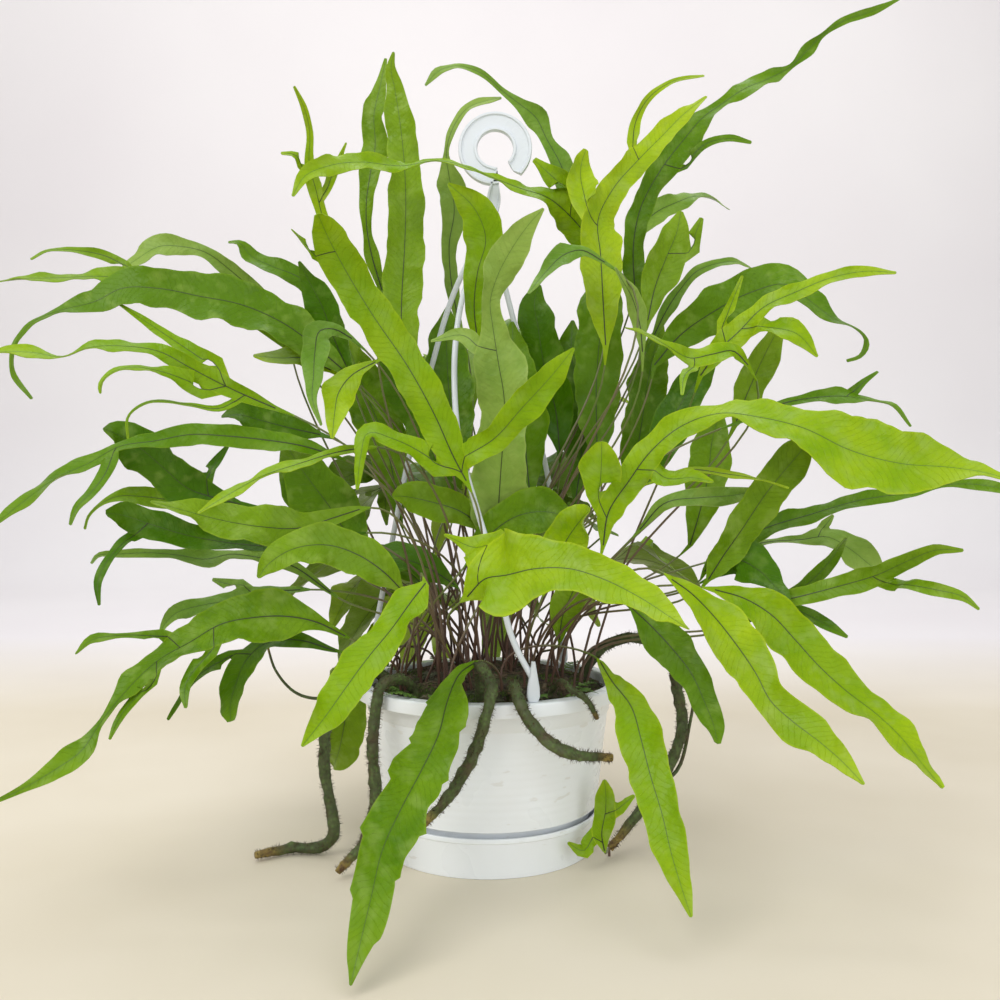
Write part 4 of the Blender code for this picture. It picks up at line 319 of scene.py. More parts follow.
# Fronds that the photograph shows: tone, then the blade and its lobes as rows of places.
# A place is (across, up, depth, width): measured at the pot's scale, depth behind the axis.
# A lobe's first place is where it leaves the blade.
SEEN_FRONDS = {
    "paw_front": ("young", ((-17, 273, -100, 5), (-26, 290, -100, 20), (-40, 321, -100, 29),
        (-61, 359, -102, 30), (-89, 400, -105, 32), (-110, 435, -110, 30), (-123, 460, -115, 26),
        (-130, 476, -118, 5)), ((-20, 283, -100, 20), (3, 304, -105, 21), (25, 328, -110, 25),
        (48, 353, -115, 21), (65, 374, -120, 2)), ((-26, 289, -100, 17), (-48, 297, -103, 18),
        (-71, 304, -108, 18), (-92, 309, -113, 15), (-97, 292, -120, 11), (-100, 266, -124, 2)),
        ((-117, 451, -112, 11), (-134, 459, -116, 9), (-150, 464, -118, 2))),
    "crested": ("young", ((-89, 388, -70, 6), (-113, 439, -70, 10), (-127, 477, -72, 10),
        (-131, 494, -72, 13), (-136, 513, -72, 8), (-136, 540, -72, 6), (-140, 556, -72, 5),
        (-148, 573, -72, 2)), ((-127, 489, -72, 8), (-117, 509, -74, 7), (-108, 530, -76, 2)),
        ((-135, 511, -72, 6), (-146, 520, -74, 6), (-158, 522, -76, 2))),
    "front_centre": ("young", ((-16, 185, -128, 8), (-3, 198, -135, 41), (13, 201, -140, 55),
        (35, 206, -145, 40), (62, 206, -148, 29), (85, 199, -150, 30), (115, 184, -152, 26),
        (138, 169, -153, 14), (152, 160, -153, 2)), ((1, 201, -136, 20), (-11, 222, -139, 18),
        (-34, 232, -143, 2))),
    "low_left": ("young", ((-48, 195, -125, 6), (-58, 182, -130, 26), (-73, 161, -138, 30),
        (-92, 138, -145, 32), (-109, 115, -150, 30), (-124, 94, -155, 23), (-142, 71, -158, 2))),
    "lowest": ("leaf", ((-10, 135, -84, 4), (-22, 126, -102, 11), (-31, 106, -122, 33), (-38, 80, -142, 36),
        (-51, 53, -162, 43), (-67, 23, -182, 40), (-81, -8, -199, 38), (-89, -42, -217, 32),
        (-97, -76, -234, 21), (-105, -111, -247, 2))),
    "low_right": ("young", ((85, 135, -72, 5), (94, 120, -97, 14), (109, 100, -120, 27),
        (116, 76, -137, 35), (123, 49, -152, 32), (132, 19, -167, 29), (139, -11, -182, 26),
        (147, -38, -192, 15), (154, -59, -199, 2))),
    "blunt_low": ("leaf", ((-104, 128, 45, 6), (-107, 106, 50, 27), (-111, 80, 54, 32), (-115, 63, 57, 23),
        (-118, 56, 58, 4))),
    "long_dark_left": ("deep", ((-109, 356, -40, 5), (-128, 372, -45, 23), (-155, 392, -50, 35),
        (-189, 407, -56, 35), (-219, 413, -62, 33), (-250, 419, -68, 24), (-279, 419, -72, 27),
        (-299, 409, -76, 17), (-326, 402, -80, 11), (-348, 392, -84, 6), (-361, 372, -88, 6),
        (-362, 357, -90, 5), (-347, 335, -94, 2))),
    "left_band": ("leaf", ((-155, 376, -10, 5), (-181, 397, -15, 12), (-219, 410, -20, 15),
        (-257, 424, -25, 15), (-292, 428, -30, 14), (-326, 427, -34, 11), (-356, 426, -38, 9),
        (-383, 423, -42, 2)), ((-276, 430, -28, 8), (-292, 444, -32, 7), (-315, 448, -35, 5),
        (-335, 448, -38, 3), (-348, 441, -40, 2))),
    "grey_arch": ("pale", ((-151, 376, 20, 5), (-172, 410, 20, 12), (-195, 432, 15, 14), (-216, 447, 10, 9),
        (-234, 451, 8, 11), (-250, 451, 5, 17), (-266, 442, 0, 14), (-279, 433, -3, 2))),
    "hooked_left": ("leaf", ((-109, 372, 5, 5), (-124, 407, 0, 18), (-143, 427, -5, 14),
        (-165, 436, -8, 14), (-181, 444, -10, 14), (-190, 454, -12, 5), (-198, 454, -14, 2))),
    "dark_upright": ("deep", ((-105, 353, -25, 5), (-117, 380, -28, 21), (-127, 407, -30, 26),
        (-137, 426, -32, 15), (-144, 440, -34, 2))),
    "left_paw": ("young", ((-162, 328, -60, 4), (-185, 338, -64, 11), (-208, 349, -68, 15),
        (-227, 359, -72, 15), (-250, 371, -76, 12), (-276, 375, -80, 11), (-304, 374, -84, 11),
        (-324, 367, -86, 4), (-345, 370, -88, 12), (-365, 371, -90, 11), (-379, 370, -92, 2)),
        ((-208, 351, -66, 18), (-227, 371, -60, 23), (-246, 384, -56, 21), (-265, 395, -53, 17),
        (-282, 408, -50, 2)), ((-225, 356, -72, 12), (-236, 352, -75, 12), (-254, 357, -78, 11),
        (-272, 359, -82, 8), (-288, 354, -86, 6), (-295, 345, -88, 5), (-295, 339, -88, 2)),
        ((-189, 339, -65, 5), (-203, 328, -64, 5), (-230, 331, -66, 4), (-257, 333, -68, 3),
        (-274, 321, -70, 3), (-274, 304, -72, 2))),
    "long_left": ("leaf", ((-120, 293, -70, 4), (-140, 299, -72, 11), (-170, 304, -75, 14),
        (-200, 307, -78, 14), (-227, 308, -80, 15), (-254, 303, -84, 11), (-280, 299, -88, 11),
        (-304, 286, -92, 14), (-330, 274, -95, 20), (-352, 258, -98, 15), (-379, 236, -102, 2)),
        ((-288, 296, -88, 11), (-292, 277, -91, 11), (-303, 263, -94, 8), (-314, 251, -96, 5),
        (-318, 239, -98, 2))),
    "broad_left": ("deep", ((-189, 255, -55, 5), (-208, 260, -58, 15), (-228, 267, -60, 32),
        (-247, 283, -62, 35), (-265, 298, -64, 33), (-282, 308, -66, 23), (-293, 312, -68, 2)),
        ((-217, 264, -60, 11), (-210, 283, -58, 9), (-197, 301, -56, 2))),
    "tailed_left": ("leaf", ((-193, 247, -35, 4), (-216, 252, -38, 11), (-242, 258, -42, 14),
        (-265, 261, -46, 12), (-282, 261, -50, 8), (-295, 255, -52, 3), (-304, 246, -54, 2),
        (-307, 236, -55, 2))),
    "dark_low_left": ("deep", ((-105, 232, -75, 4), (-132, 226, -78, 8), (-166, 223, -82, 11),
        (-200, 226, -86, 14), (-231, 232, -89, 18), (-257, 240, -92, 21), (-279, 247, -94, 17),
        (-291, 248, -95, 5)), ((-265, 242, -93, 11), (-277, 226, -95, 10), (-289, 213, -97, 8),
        (-297, 196, -99, 6), (-296, 178, -100, 2))),
    "glossy_left": ("leaf", ((-98, 251, -90, 5), (-117, 245, -93, 12), (-143, 237, -96, 23),
        (-174, 238, -99, 30), (-204, 243, -102, 29), (-231, 250, -104, 18), (-257, 257, -106, 2))),
    "bright_strip_left": ("young", ((-96, 298, -94, 4), (-117, 294, -98, 9), (-143, 286, -103, 12),
        (-170, 277, -108, 12), (-193, 265, -113, 11), (-221, 248, -118, 2))),
    "pale_low_left": ("pale", ((-120, 188, -60, 3), (-151, 209, -62, 9), (-178, 215, -66, 12),
        (-195, 217, -69, 11), (-216, 213, -72, 17), (-234, 216, -75, 11), (-257, 218, -78, 7),
        (-282, 217, -81, 5), (-297, 216, -84, 4), (-302, 210, -85, 2))),
    "arched_left": ("leaf", ((-67, 191, -95, 5), (-79, 203, -98, 23), (-98, 216, -100, 30),
        (-122, 224, -103, 27), (-149, 221, -106, 23), (-168, 209, -109, 15), (-175, 199, -110, 3))),
    "lobed_low_left": ("leaf", ((-109, 155, -75, 3), (-132, 166, -80, 12), (-155, 170, -84, 30),
        (-178, 169, -88, 33), (-203, 164, -92, 29), (-227, 150, -96, 26), (-250, 137, -100, 27),
        (-269, 120, -103, 24), (-284, 103, -106, 11), (-297, 86, -109, 7), (-309, 68, -112, 17),
        (-330, 53, -115, 15), (-352, 40, -118, 6), (-379, 27, -121, 2)), ((-241, 144, -98, 9),
        (-265, 152, -102, 4), (-284, 155, -104, 4), (-301, 152, -106, 8), (-314, 141, -108, 2)),
        ((-215, 156, -96, 14), (-225, 134, -94, 14), (-231, 115, -92, 9), (-230, 100, -91, 2)),
        ((-256, 131, -101, 11), (-262, 111, -100, 11), (-272, 100, -99, 8), (-282, 90, -98, 6),
        (-288, 76, -97, 2))),
    "blunt_low_left": ("deep", ((-117, 144, -55, 3), (-147, 152, -58, 11), (-172, 148, -61, 18),
        (-185, 135, -64, 23), (-192, 118, -66, 23), (-196, 103, -68, 21), (-196, 90, -69, 5)),
        ((-184, 137, -63, 9), (-204, 135, -64, 8), (-219, 126, -64, 8), (-231, 112, -64, 5),
        (-238, 101, -64, 4), (-244, 91, -64, 2))),
    "corner_left": ("pale", ((-143, 190, -30, 4), (-172, 188, -33, 11), (-196, 182, -36, 15),
        (-219, 178, -39, 12), (-238, 172, -42, 11), (-246, 164, -44, 6), (-250, 156, -45, 2)),
        ((-185, 187, -34, 12), (-196, 194, -33, 9), (-210, 198, -32, 2))),
    "dark_round": ("deep", ((-89, 213, -20, 5), (-104, 228, -22, 30), (-122, 255, -24, 47),
        (-137, 275, -26, 41), (-149, 293, -28, 23), (-155, 304, -30, 3))),
    "hanging_pale": ("pale", ((-104, 381, -66, 4), (-117, 388, -70, 11), (-128, 387, -75, 17),
        (-132, 371, -79, 21), (-133, 353, -82, 15), (-134, 336, -84, 7), (-127, 315, -86, 2))),
    "hanging_bright": ("young", ((-86, 363, -78, 3), (-104, 353, -82, 17), (-114, 340, -86, 26),
        (-117, 325, -89, 18), (-119, 305, -92, 2))),
    "inner_left_a": ("young", ((-120, 357, -10, 4), (-140, 366, -14, 15), (-158, 366, -18, 20),
        (-179, 368, -22, 2))),
    "inner_left_b": ("deep", ((-128, 308, -20, 4), (-151, 313, -22, 18), (-174, 319, -24, 27),
        (-190, 323, -26, 20), (-203, 321, -28, 2))),
    "tall": ("leaf", ((-64, 350, -20, 5), (-66, 376, -20, 27), (-66, 410, -19, 30), (-64, 448, -17, 29),
        (-63, 483, -15, 28), (-64, 513, -13, 24), (-67, 543, -12, 23), (-71, 570, -11, 14),
        (-74, 587, -11, 9), (-72, 599, -12, 2))),
    "tall_behind": ("leaf", ((-81, 418, 15, 5), (-89, 445, 15, 11), (-92, 460, 15, 7), (-93, 483, 15, 11),
        (-90, 505, 15, 15), (-86, 528, 15, 23), (-87, 551, 15, 18), (-82, 574, 15, 9), (-78, 594, 15, 2))),
    "grey_curled": ("pale", ((-23, 395, 20, 5), (-29, 429, 18, 12), (-30, 452, 16, 12), (-26, 479, 14, 20),
        (-30, 505, 12, 18), (-32, 519, 10, 5), (-27, 541, 8, 7), (-16, 556, 6, 8), (0, 562, 4, 6),
        (10, 564, 2, 2))),
    "bright_upright": ("young", ((-8, 376, -20, 5), (-11, 407, -22, 15), (-8, 433, -24, 23),
        (-2, 457, -27, 32), (-10, 479, -30, 27), (-31, 499, -34, 2))),
    "centre_grey": ("pale", ((5, 213, -60, 5), (7, 243, -62, 38), (9, 274, -65, 47), (11, 304, -67, 38),
        (12, 334, -70, 38), (7, 365, -72, 40), (3, 391, -74, 18), (1, 408, -75, 15), (6, 427, -76, 24),
        (18, 450, -78, 26), (30, 467, -80, 14), (42, 480, -82, 2)), ((4, 376, -73, 12), (-18, 383, -70, 11),
        (-44, 379, -66, 2))),
    "across": ("young", ((88, 410, 20, 5), (82, 447, 12, 23), (63, 473, 4, 26), (45, 488, -4, 18),
        (24, 495, -12, 11), (1, 504, -20, 9), (-22, 513, -28, 6), (-37, 516, -34, 5), (-67, 512, -46, 9),
        (-96, 515, -60, 15), (-122, 512, -78, 15), (-140, 504, -88, 11), (-149, 489, -92, 2)),
        ((54, 482, 0, 21), (43, 498, 0, 23), (36, 511, 0, 18), (34, 517, 0, 5))),
    "thin_arch": ("pale", ((85, 418, 60, 5), (76, 452, 58, 17), (63, 490, 55, 21), (54, 515, 52, 17),
        (44, 533, 50, 10), (36, 549, 48, 17), (24, 559, 46, 9), (12, 568, 44, 5), (-6, 583, 42, 5),
        (-26, 588, 40, 5), (-38, 584, 38, 7), (-48, 573, 36, 2))),
    "bright_fork": ("young", ((89, 376, -24, 5), (87, 410, -24, 26), (85, 445, -24, 33), (83, 471, -22, 30),
        (94, 494, -18, 21), (114, 517, -12, 20), (132, 535, -6, 18), (149, 552, -2, 12), (166, 565, 2, 2)),
        ((85, 473, -22, 17), (72, 494, -24, 18), (70, 512, -25, 18), (74, 525, -26, 4)),
        ((118, 521, -11, 9), (111, 543, -10, 8), (120, 562, -8, 6), (139, 576, -5, 4), (164, 581, -2, 2))),
    "long_top_right": ("leaf", ((115, 388, 30, 5), (111, 422, 32, 15), (110, 452, 34, 18),
        (115, 479, 36, 18), (130, 508, 38, 21), (149, 533, 40, 24), (163, 549, 42, 17), (177, 559, 44, 8),
        (195, 571, 46, 18), (212, 578, 48, 15), (230, 588, 50, 4), (243, 601, 52, 10), (253, 611, 54, 4),
        (269, 622, 56, 6), (290, 629, 58, 6), (314, 640, 60, 2)), ((139, 513, 38, 8), (155, 522, 36, 8),
        (167, 530, 34, 6), (182, 533, 32, 5), (200, 530, 30, 2))),
    "grey_wavy_right": ("pale", ((115, 439, 66, 4), (115, 464, 66, 12), (126, 476, 68, 17),
        (142, 484, 70, 15), (157, 489, 72, 12), (170, 487, 74, 9), (183, 479, 76, 2))),
    "notched_right": ("leaf", ((121, 395, 0, 5), (127, 422, 0, 26), (136, 445, 0, 33), (143, 462, 0, 23),
        (146, 478, 0, 3)), ((142, 451, 0, 17), (157, 461, 0, 14), (162, 473, 0, 3))),
    "arched_right": ("pale", ((126, 384, 45, 4), (136, 404, 45, 11), (146, 419, 46, 9), (158, 432, 47, 8),
        (174, 438, 48, 7), (190, 439, 49, 5), (201, 434, 50, 2))),
    "broad_right": ("deep", ((126, 361, -5, 5), (146, 384, -8, 23), (170, 401, -12, 33),
        (199, 416, -16, 30), (226, 422, -20, 33), (246, 408, -24, 23), (264, 395, -27, 11),
        (278, 389, -29, 6), (287, 378, -31, 5), (283, 368, -32, 3), (272, 364, -33, 2))),
    "bright_paw_right": ("young", ((161, 353, -50, 4), (174, 371, -53, 17), (190, 386, -56, 20),
        (208, 404, -60, 15), (233, 416, -64, 14), (260, 427, -68, 11), (286, 432, -71, 7),
        (310, 431, -74, 2)), ((184, 379, -55, 11), (187, 401, -54, 11), (193, 429, -53, 2)),
        ((200, 396, -58, 18), (218, 394, -62, 23), (235, 384, -66, 17), (250, 367, -70, 2))),
    "pale_curl": ("young", ((197, 361, -75, 3), (187, 371, -78, 11), (170, 369, -82, 15),
        (153, 366, -86, 14), (136, 375, -90, 11), (120, 384, -94, 9), (104, 389, -98, 2)),
        ((153, 366, -86, 8), (149, 353, -90, 7), (147, 338, -92, 2))),
    "upright_right": ("leaf", ((187, 315, -20, 4), (196, 338, -22, 26), (206, 361, -24, 26),
        (216, 381, -26, 20), (225, 397, -28, 3))),
    "small_right": ("leaf", ((195, 319, -42, 3), (225, 332, -45, 6), (248, 336, -48, 9),
        (269, 337, -50, 14), (290, 334, -52, 9), (307, 330, -54, 6), (321, 314, -56, 2)),
        ((276, 339, -51, 6), (285, 348, -52, 5), (296, 356, -53, 2))),
    "paw_right": ("young", ((87, 224, -95, 4), (91, 249, -97, 18), (106, 272, -100, 23),
        (123, 295, -102, 23), (146, 314, -105, 23), (176, 324, -108, 26), (206, 321, -111, 29),
        (239, 313, -114, 32), (275, 296, -118, 47), (313, 286, -122, 43), (351, 283, -126, 26),
        (377, 279, -129, 12), (398, 273, -131, 2)), ((92, 252, -97, 18), (88, 275, -99, 23),
        (86, 295, -101, 23), (86, 303, -102, 6)), ((117, 286, -101, 15), (134, 275, -106, 17),
        (155, 275, -110, 14), (171, 272, -113, 2))),
    "blunt_right": ("leaf", ((167, 198, -75, 4), (177, 214, -77, 23), (193, 237, -80, 32),
        (209, 261, -83, 29), (225, 281, -86, 29), (238, 296, -88, 23), (247, 307, -89, 5))),
    "strap_right": ("leaf", ((164, 204, -50, 4), (177, 219, -52, 15), (206, 235, -56, 17),
        (244, 247, -60, 14), (282, 258, -64, 11), (320, 264, -68, 8), (349, 270, -71, 3),
        (372, 270, -73, 8), (389, 267, -75, 8), (401, 263, -76, 2))),
    "forked_right": ("leaf", ((187, 163, -85, 4), (210, 178, -88, 11), (237, 185, -91, 12),
        (267, 193, -95, 15), (294, 201, -98, 17), (316, 211, -101, 12), (339, 220, -104, 8),
        (361, 220, -107, 2)), ((298, 201, -98, 12), (316, 194, -102, 11), (340, 190, -105, 9),
        (360, 185, -108, 6), (373, 175, -110, 2))),
    "pointed_right": ("leaf", ((195, 166, -60, 4), (218, 179, -63, 11), (239, 192, -66, 14),
        (256, 208, -69, 12), (266, 222, -71, 8), (272, 230, -72, 2)), ((226, 183, -65, 9),
        (246, 169, -67, 11), (261, 161, -70, 7), (273, 154, -71, 2))),
    "strap_fork_right": ("pale", ((172, 213, -30, 3), (210, 226, -32, 6), (237, 228, -33, 7),
        (258, 230, -34, 17), (276, 220, -36, 23), (291, 208, -38, 17), (304, 199, -39, 2)),
        ((256, 231, -34, 8), (259, 239, -34, 6), (262, 247, -34, 2))),
    "low_right_a": ("young", ((139, 198, -120, 4), (153, 188, -122, 15), (170, 171, -126, 33),
        (187, 150, -130, 36), (204, 125, -134, 33), (214, 106, -137, 24), (231, 90, -140, 29),
        (252, 74, -144, 26), (269, 59, -147, 15), (285, 42, -150, 3))),
    "low_right_b": ("young", ((172, 190, -90, 4), (193, 184, -93, 18), (215, 171, -96, 30),
        (233, 152, -99, 33), (252, 131, -102, 32), (273, 112, -105, 29), (294, 96, -108, 30),
        (313, 78, -111, 29), (329, 58, -114, 20), (345, 39, -117, 4))),
    "dark_low_right": ("deep", ((109, 176, -60, 4), (123, 163, -65, 23), (139, 146, -72, 29),
        (155, 125, -80, 23), (164, 105, -86, 20), (171, 87, -91, 17), (174, 73, -94, 5))),
    "centre_dark": ("deep", ((83, 289, 20, 5), (82, 312, 20, 27), (82, 350, 18, 35), (85, 388, 16, 35),
        (87, 418, 14, 27), (88, 439, 12, 3))),
    "pale_right": ("pale", ((115, 236, -40, 3), (134, 256, -42, 11), (161, 260, -45, 12),
        (187, 262, -48, 11), (208, 267, -50, 2))),
    "thin_right": ("young", ((130, 274, -75, 3), (153, 281, -77, 5), (180, 278, -80, 6), (205, 274, -83, 5),
        (228, 267, -85, 2))),
    "dark_right": ("deep", ((172, 201, -62, 4), (187, 213, -63, 27), (205, 205, -65, 32),
        (220, 190, -67, 15), (229, 182, -68, 2))),
    "centre_left_mid": ("leaf", ((-3, 236, -42, 4), (-20, 249, -44, 20), (-44, 257, -47, 24),
        (-64, 261, -49, 18), (-73, 261, -50, 3))),
    "centre_right_mid": ("young", ((43, 190, -85, 4), (51, 211, -87, 26), (60, 229, -89, 33),
        (70, 243, -90, 26), (77, 250, -91, 5))),
    "pale_hang_top": ("pale", ((88, 439, -52, 3), (71, 448, -55, 9), (58, 445, -58, 15), (44, 432, -61, 11),
        (30, 415, -64, 2))),
    "pale_top_right": ("pale", ((117, 371, -40, 3), (115, 391, -42, 11), (109, 412, -44, 14),
        (101, 426, -46, 9), (96, 435, -47, 2))),
    "inner_centre": ("deep", ((54, 296, 25, 5), (51, 327, 24, 30), (43, 357, 22, 35), (38, 388, 20, 30),
        (35, 410, 18, 18), (39, 422, 17, 2))),
    "inner_right": ("deep", ((123, 274, 15, 4), (134, 304, 14, 26), (146, 331, 13, 29), (161, 353, 12, 20),
        (174, 371, 11, 2))),
    "inner_left": ("deep", ((-37, 281, 5, 4), (-48, 312, 4, 29), (-64, 342, 3, 30), (-76, 365, 2, 18),
        (-84, 376, 1, 2))),
    "inner_far_left": ("leaf", ((-67, 243, 24, 4), (-72, 274, 26, 23), (-79, 304, 28, 35),
        (-91, 334, 30, 36), (-102, 363, 31, 24), (-111, 388, 32, 2))),
    "inner_far": ("deep", ((-26, 258, 28, 4), (-26, 289, 30, 24), (-28, 319, 31, 36), (-31, 353, 31, 36),
        (-32, 384, 30, 24), (-31, 406, 29, 2))),
    "inner_behind": ("leaf", ((32, 258, 38, 4), (29, 287, 40, 24), (27, 315, 41, 38), (23, 346, 41, 36),
        (19, 372, 40, 23), (18, 394, 39, 2))),
    "inner_far_right": ("deep", ((66, 258, 50, 4), (70, 287, 52, 26), (70, 315, 53, 38), (66, 346, 53, 38),
        (63, 372, 52, 24), (64, 395, 50, 2))),
    "inner_side_right": ("leaf", ((104, 258, 45, 4), (111, 287, 47, 24), (116, 315, 48, 36),
        (120, 343, 48, 33), (126, 372, 47, 20), (132, 394, 46, 2))),
    "inner_low_left": ("deep", ((-26, 194, -20, 4), (-43, 205, -22, 20), (-64, 213, -24, 30),
        (-85, 212, -26, 27), (-104, 202, -27, 2))),
    "inner_low_right": ("leaf", ((54, 152, -45, 4), (56, 169, -47, 18), (62, 184, -49, 26),
        (70, 201, -50, 20), (77, 216, -51, 2))),
    "inner_wavy": ("leaf", ((-14, 213, -10, 4), (1, 232, -12, 23), (24, 247, -14, 32), (47, 249, -16, 26),
        (66, 242, -17, 2))),
    "inner_side_left": ("deep", ((-109, 213, 15, 4), (-124, 236, 17, 23), (-139, 262, 19, 33),
        (-146, 293, 20, 27), (-146, 315, 20, 2))),
    "inner_right_edge": ("leaf", ((153, 224, 15, 4), (161, 251, 17, 23), (167, 277, 18, 32),
        (170, 304, 18, 26), (177, 328, 18, 2))),
}

# Fronds of the side that the photograph doesn't show, arching out at a heading in degrees.
# (tone, heading, start radius, start height, reach, rise, droop, swing, width, lobes)
# A lobe is (place along the blade, side, length).
REAR_FRONDS = {
    "rear_low_a": ("leaf", 12, 55, 185, 130, 120, 130, 18, 34, ((2, 1, 60),)),
    "rear_low_b": ("young", 40, 55, 180, 140, 110, 150, -20, 38, ((2, -1, 64),)),
    "rear_low_c": ("leaf", 66, 58, 175, 140, 90, 190, 16, 36, ((2, 1, 62),)),
    "rear_low_d": ("young", 92, 58, 170, 150, 90, 200, -14, 40, ((2, -1, 66), (3, 1, 50))),
    "rear_low_e": ("leaf", 116, 58, 178, 140, 95, 190, 20, 36, ((2, 1, 60),)),
    "rear_low_f": ("young", 142, 55, 182, 140, 110, 150, -18, 38, ((2, 1, 62),)),
    "rear_low_g": ("leaf", 168, 55, 188, 130, 115, 130, 16, 34, ((2, -1, 58),)),
    "rear_mid_a": ("leaf", 14, 52, 215, 135, 120, 120, -20, 38, ((2, 1, 70), (3, -1, 52))),
    "rear_mid_b": ("deep", 48, 40, 262, 165, 150, 190, 22, 42, ((2, -1, 66),)),
    "rear_mid_c": ("leaf", 80, 40, 245, 180, 150, 215, -16, 42, ((2, 1, 72), (2, -1, 64))),
    "rear_mid_d": ("young", 103, 40, 256, 180, 150, 205, 4, 40, ((3, 1, 60),)),
    "rear_mid_e": ("leaf", 130, 40, 246, 175, 150, 190, 10, 42, ((2, -1, 60), (3, 1, 44))),
    "rear_mid_f": ("deep", 156, 40, 250, 165, 150, 160, 18, 36, ((2, 1, 60),)),
    "rear_top_a": ("leaf", 30, 50, 345, 115, 180, 120, 20, 36, ((2, 1, 58),)),
    "rear_top_b": ("young", 64, 62, 316, 135, 170, 165, -18, 40, ((2, 1, 66),)),
    "rear_top_c": ("leaf", 112, 66, 330, 135, 190, 160, 18, 40, ((2, -1, 64),)),
    "rear_top_d": ("young", 150, 60, 305, 112, 165, 120, -12, 36, ((2, -1, 50),)),
}

# What parts neighbours: every place of such a frond moves back by this, along its line of sight; a rear
# frond turns by this many degrees instead.
SET_BACK = {
    "crested": 30, "blunt_low": -16, "inner_left_b": 4, "thin_right": -8, "small_right": 4,
    "long_dark_left": 4, "long_top_right": -16, "lowest": 8, "rear_low_g": -16, "glossy_left": 4,
    "dark_right": -8, "centre_grey": 16, "hooked_left": 4, "rear_mid_b": 16, "rear_mid_a": 55,
    "rear_low_b": 25, "pale_curl": 4, "lobed_low_left": 4, "bright_upright": -16, "thin_arch": -20,
    "broad_left": -4, "rear_low_e": 16, "inner_centre": -4, "tailed_left": 8, "long_left": -20,
    "forked_right": 4, "paw_right": -8, "inner_left_a": -16, "centre_dark": 4, "inner_right_edge": -25,
    "dark_low_right": -30, "inner_wavy": -45, "inner_low_right": 12, "inner_behind": -45,
    "grey_curled": 36, "rear_mid_f": -16, "rear_low_c": 20, "rear_top_a": 55, "rear_top_d": -8,
    "rear_mid_c": -4, "rear_low_d": 25, "inner_right": -8, "tall_behind": -12, "dark_upright": 8,
    "left_band": -4, "inner_far": -20, "rear_top_c": -8, "arched_left": -4, "grey_wavy_right": -12,
}

# How far the middle of a stalk bends aside, as (across, back).
STALK_BENDS = {
    "tall": (40, 0), "rear_mid_c": (0, 28), "grey_arch": (-28, -14), "pale_curl": (0, 14),
    "low_right_a": (14, 0), "hanging_bright": (-14, 0), "tall_behind": (-40, -40),
    "inner_left_a": (0, -14), "low_left": (-40, 0), "rear_low_e": (-28, 14), "centre_dark": (14, 0),
    "inner_centre": (0, 14), "forked_right": (0, 14), "low_right": (0, 14), "grey_curled": (14, -28),
    "rear_low_b": (0, -14), "pale_low_left": (0, -14), "inner_left": (40, -14), "hanging_pale": (-14, 0),
    "rear_mid_b": (28, 14), "broad_left": (40, 0), "inner_left_b": (0, -28), "dark_low_left": (14, -14),
    "glossy_left": (0, -14), "blunt_low_left": (28, -28), "rear_low_a": (14, 28),
    "bright_upright": (-14, -28), "broad_right": (40, -14), "hooked_left": (0, -28),
    "pale_hang_top": (0, -28), "pointed_right": (0, 14), "front_centre": (-14, 0),
    "bright_paw_right": (28, 28), "dark_right": (-14, 14), "left_paw": (14, -28), "rear_mid_d": (-14, 0),
    "across": (0, -28), "grey_wavy_right": (-14, 0), "long_left": (0, 14), "lobed_low_left": (0, -14),
    "thin_arch": (0, -14), "strap_right": (28, 28), "small_right": (-28, 0), "left_band": (-14, 0),
    "inner_right_edge": (-28, -14), "dark_low_right": (0, -28), "strap_fork_right": (0, 14),
    "rear_mid_a": (14, 0), "bright_fork": (0, 14), "rear_low_g": (0, -14), "inner_behind": (-28, 28),
    "dark_round": (0, -14), "inner_side_left": (0, -28), "long_dark_left": (0, 28),
    "rear_top_a": (-14, -40), "inner_wavy": (0, -14), "paw_front": (0, -14), "rear_top_b": (0, -14),
    "rear_mid_f": (-14, 0), "inner_right": (-40, -40), "inner_far_left": (0, 14),
    "inner_far": (-28, -40), "rear_mid_e": (0, 14), "centre_left_mid": (14, -14),
    "dark_upright": (-14, 0),
}

# Fronds of one tone that share a crown and so are one piece.
SHARED_CROWNS = (
    ("long_dark_left", "dark_upright", "inner_far"),
    ("upright_right", "small_right", "inner_right_edge"), ("rear_top_a", "rear_top_c"),
    ("rear_top_b", "rear_top_d"), ("crested", "hanging_bright"),
    ("blunt_right", "strap_right", "inner_low_right"), ("front_centre", "low_left"),
    ("forked_right", "pointed_right"), ("long_top_right", "notched_right", "inner_behind"),
    ("centre_dark", "inner_centre"), ("inner_left", "rear_mid_f"), ("rear_mid_c", "rear_mid_e"),
    ("bright_paw_right", "pale_curl"), ("pale_low_left", "corner_left"),
    ("thin_arch", "grey_wavy_right"), ("left_band", "hooked_left"), ("low_right_a", "low_right_b"),
    ("long_left", "glossy_left"), ("rear_low_c", "rear_low_e"), ("rear_low_d", "rear_low_f"),
    ("paw_right", "centre_right_mid"), ("arched_left", "lobed_low_left", "inner_wavy"),
    ("dark_low_left", "dark_round", "inner_side_left"), ("across", "bright_fork"),
    ("strap_fork_right", "pale_right"), ("dark_low_right", "dark_right"),
    ("rear_low_a", "rear_mid_a", "inner_side_right"), ("left_paw", "inner_left_a"),
    ("pale_hang_top", "pale_top_right"), ("paw_front", "bright_strip_left"),
    ("broad_left", "inner_left_b"), ("tall", "inner_far_left", "tall_behind"),
    ("broad_right", "inner_far_right", "inner_right"), ("centre_left_mid", "rear_low_g"),
    ("rear_low_b", "rear_mid_d"), ("blunt_low_left", "inner_low_left"),
)

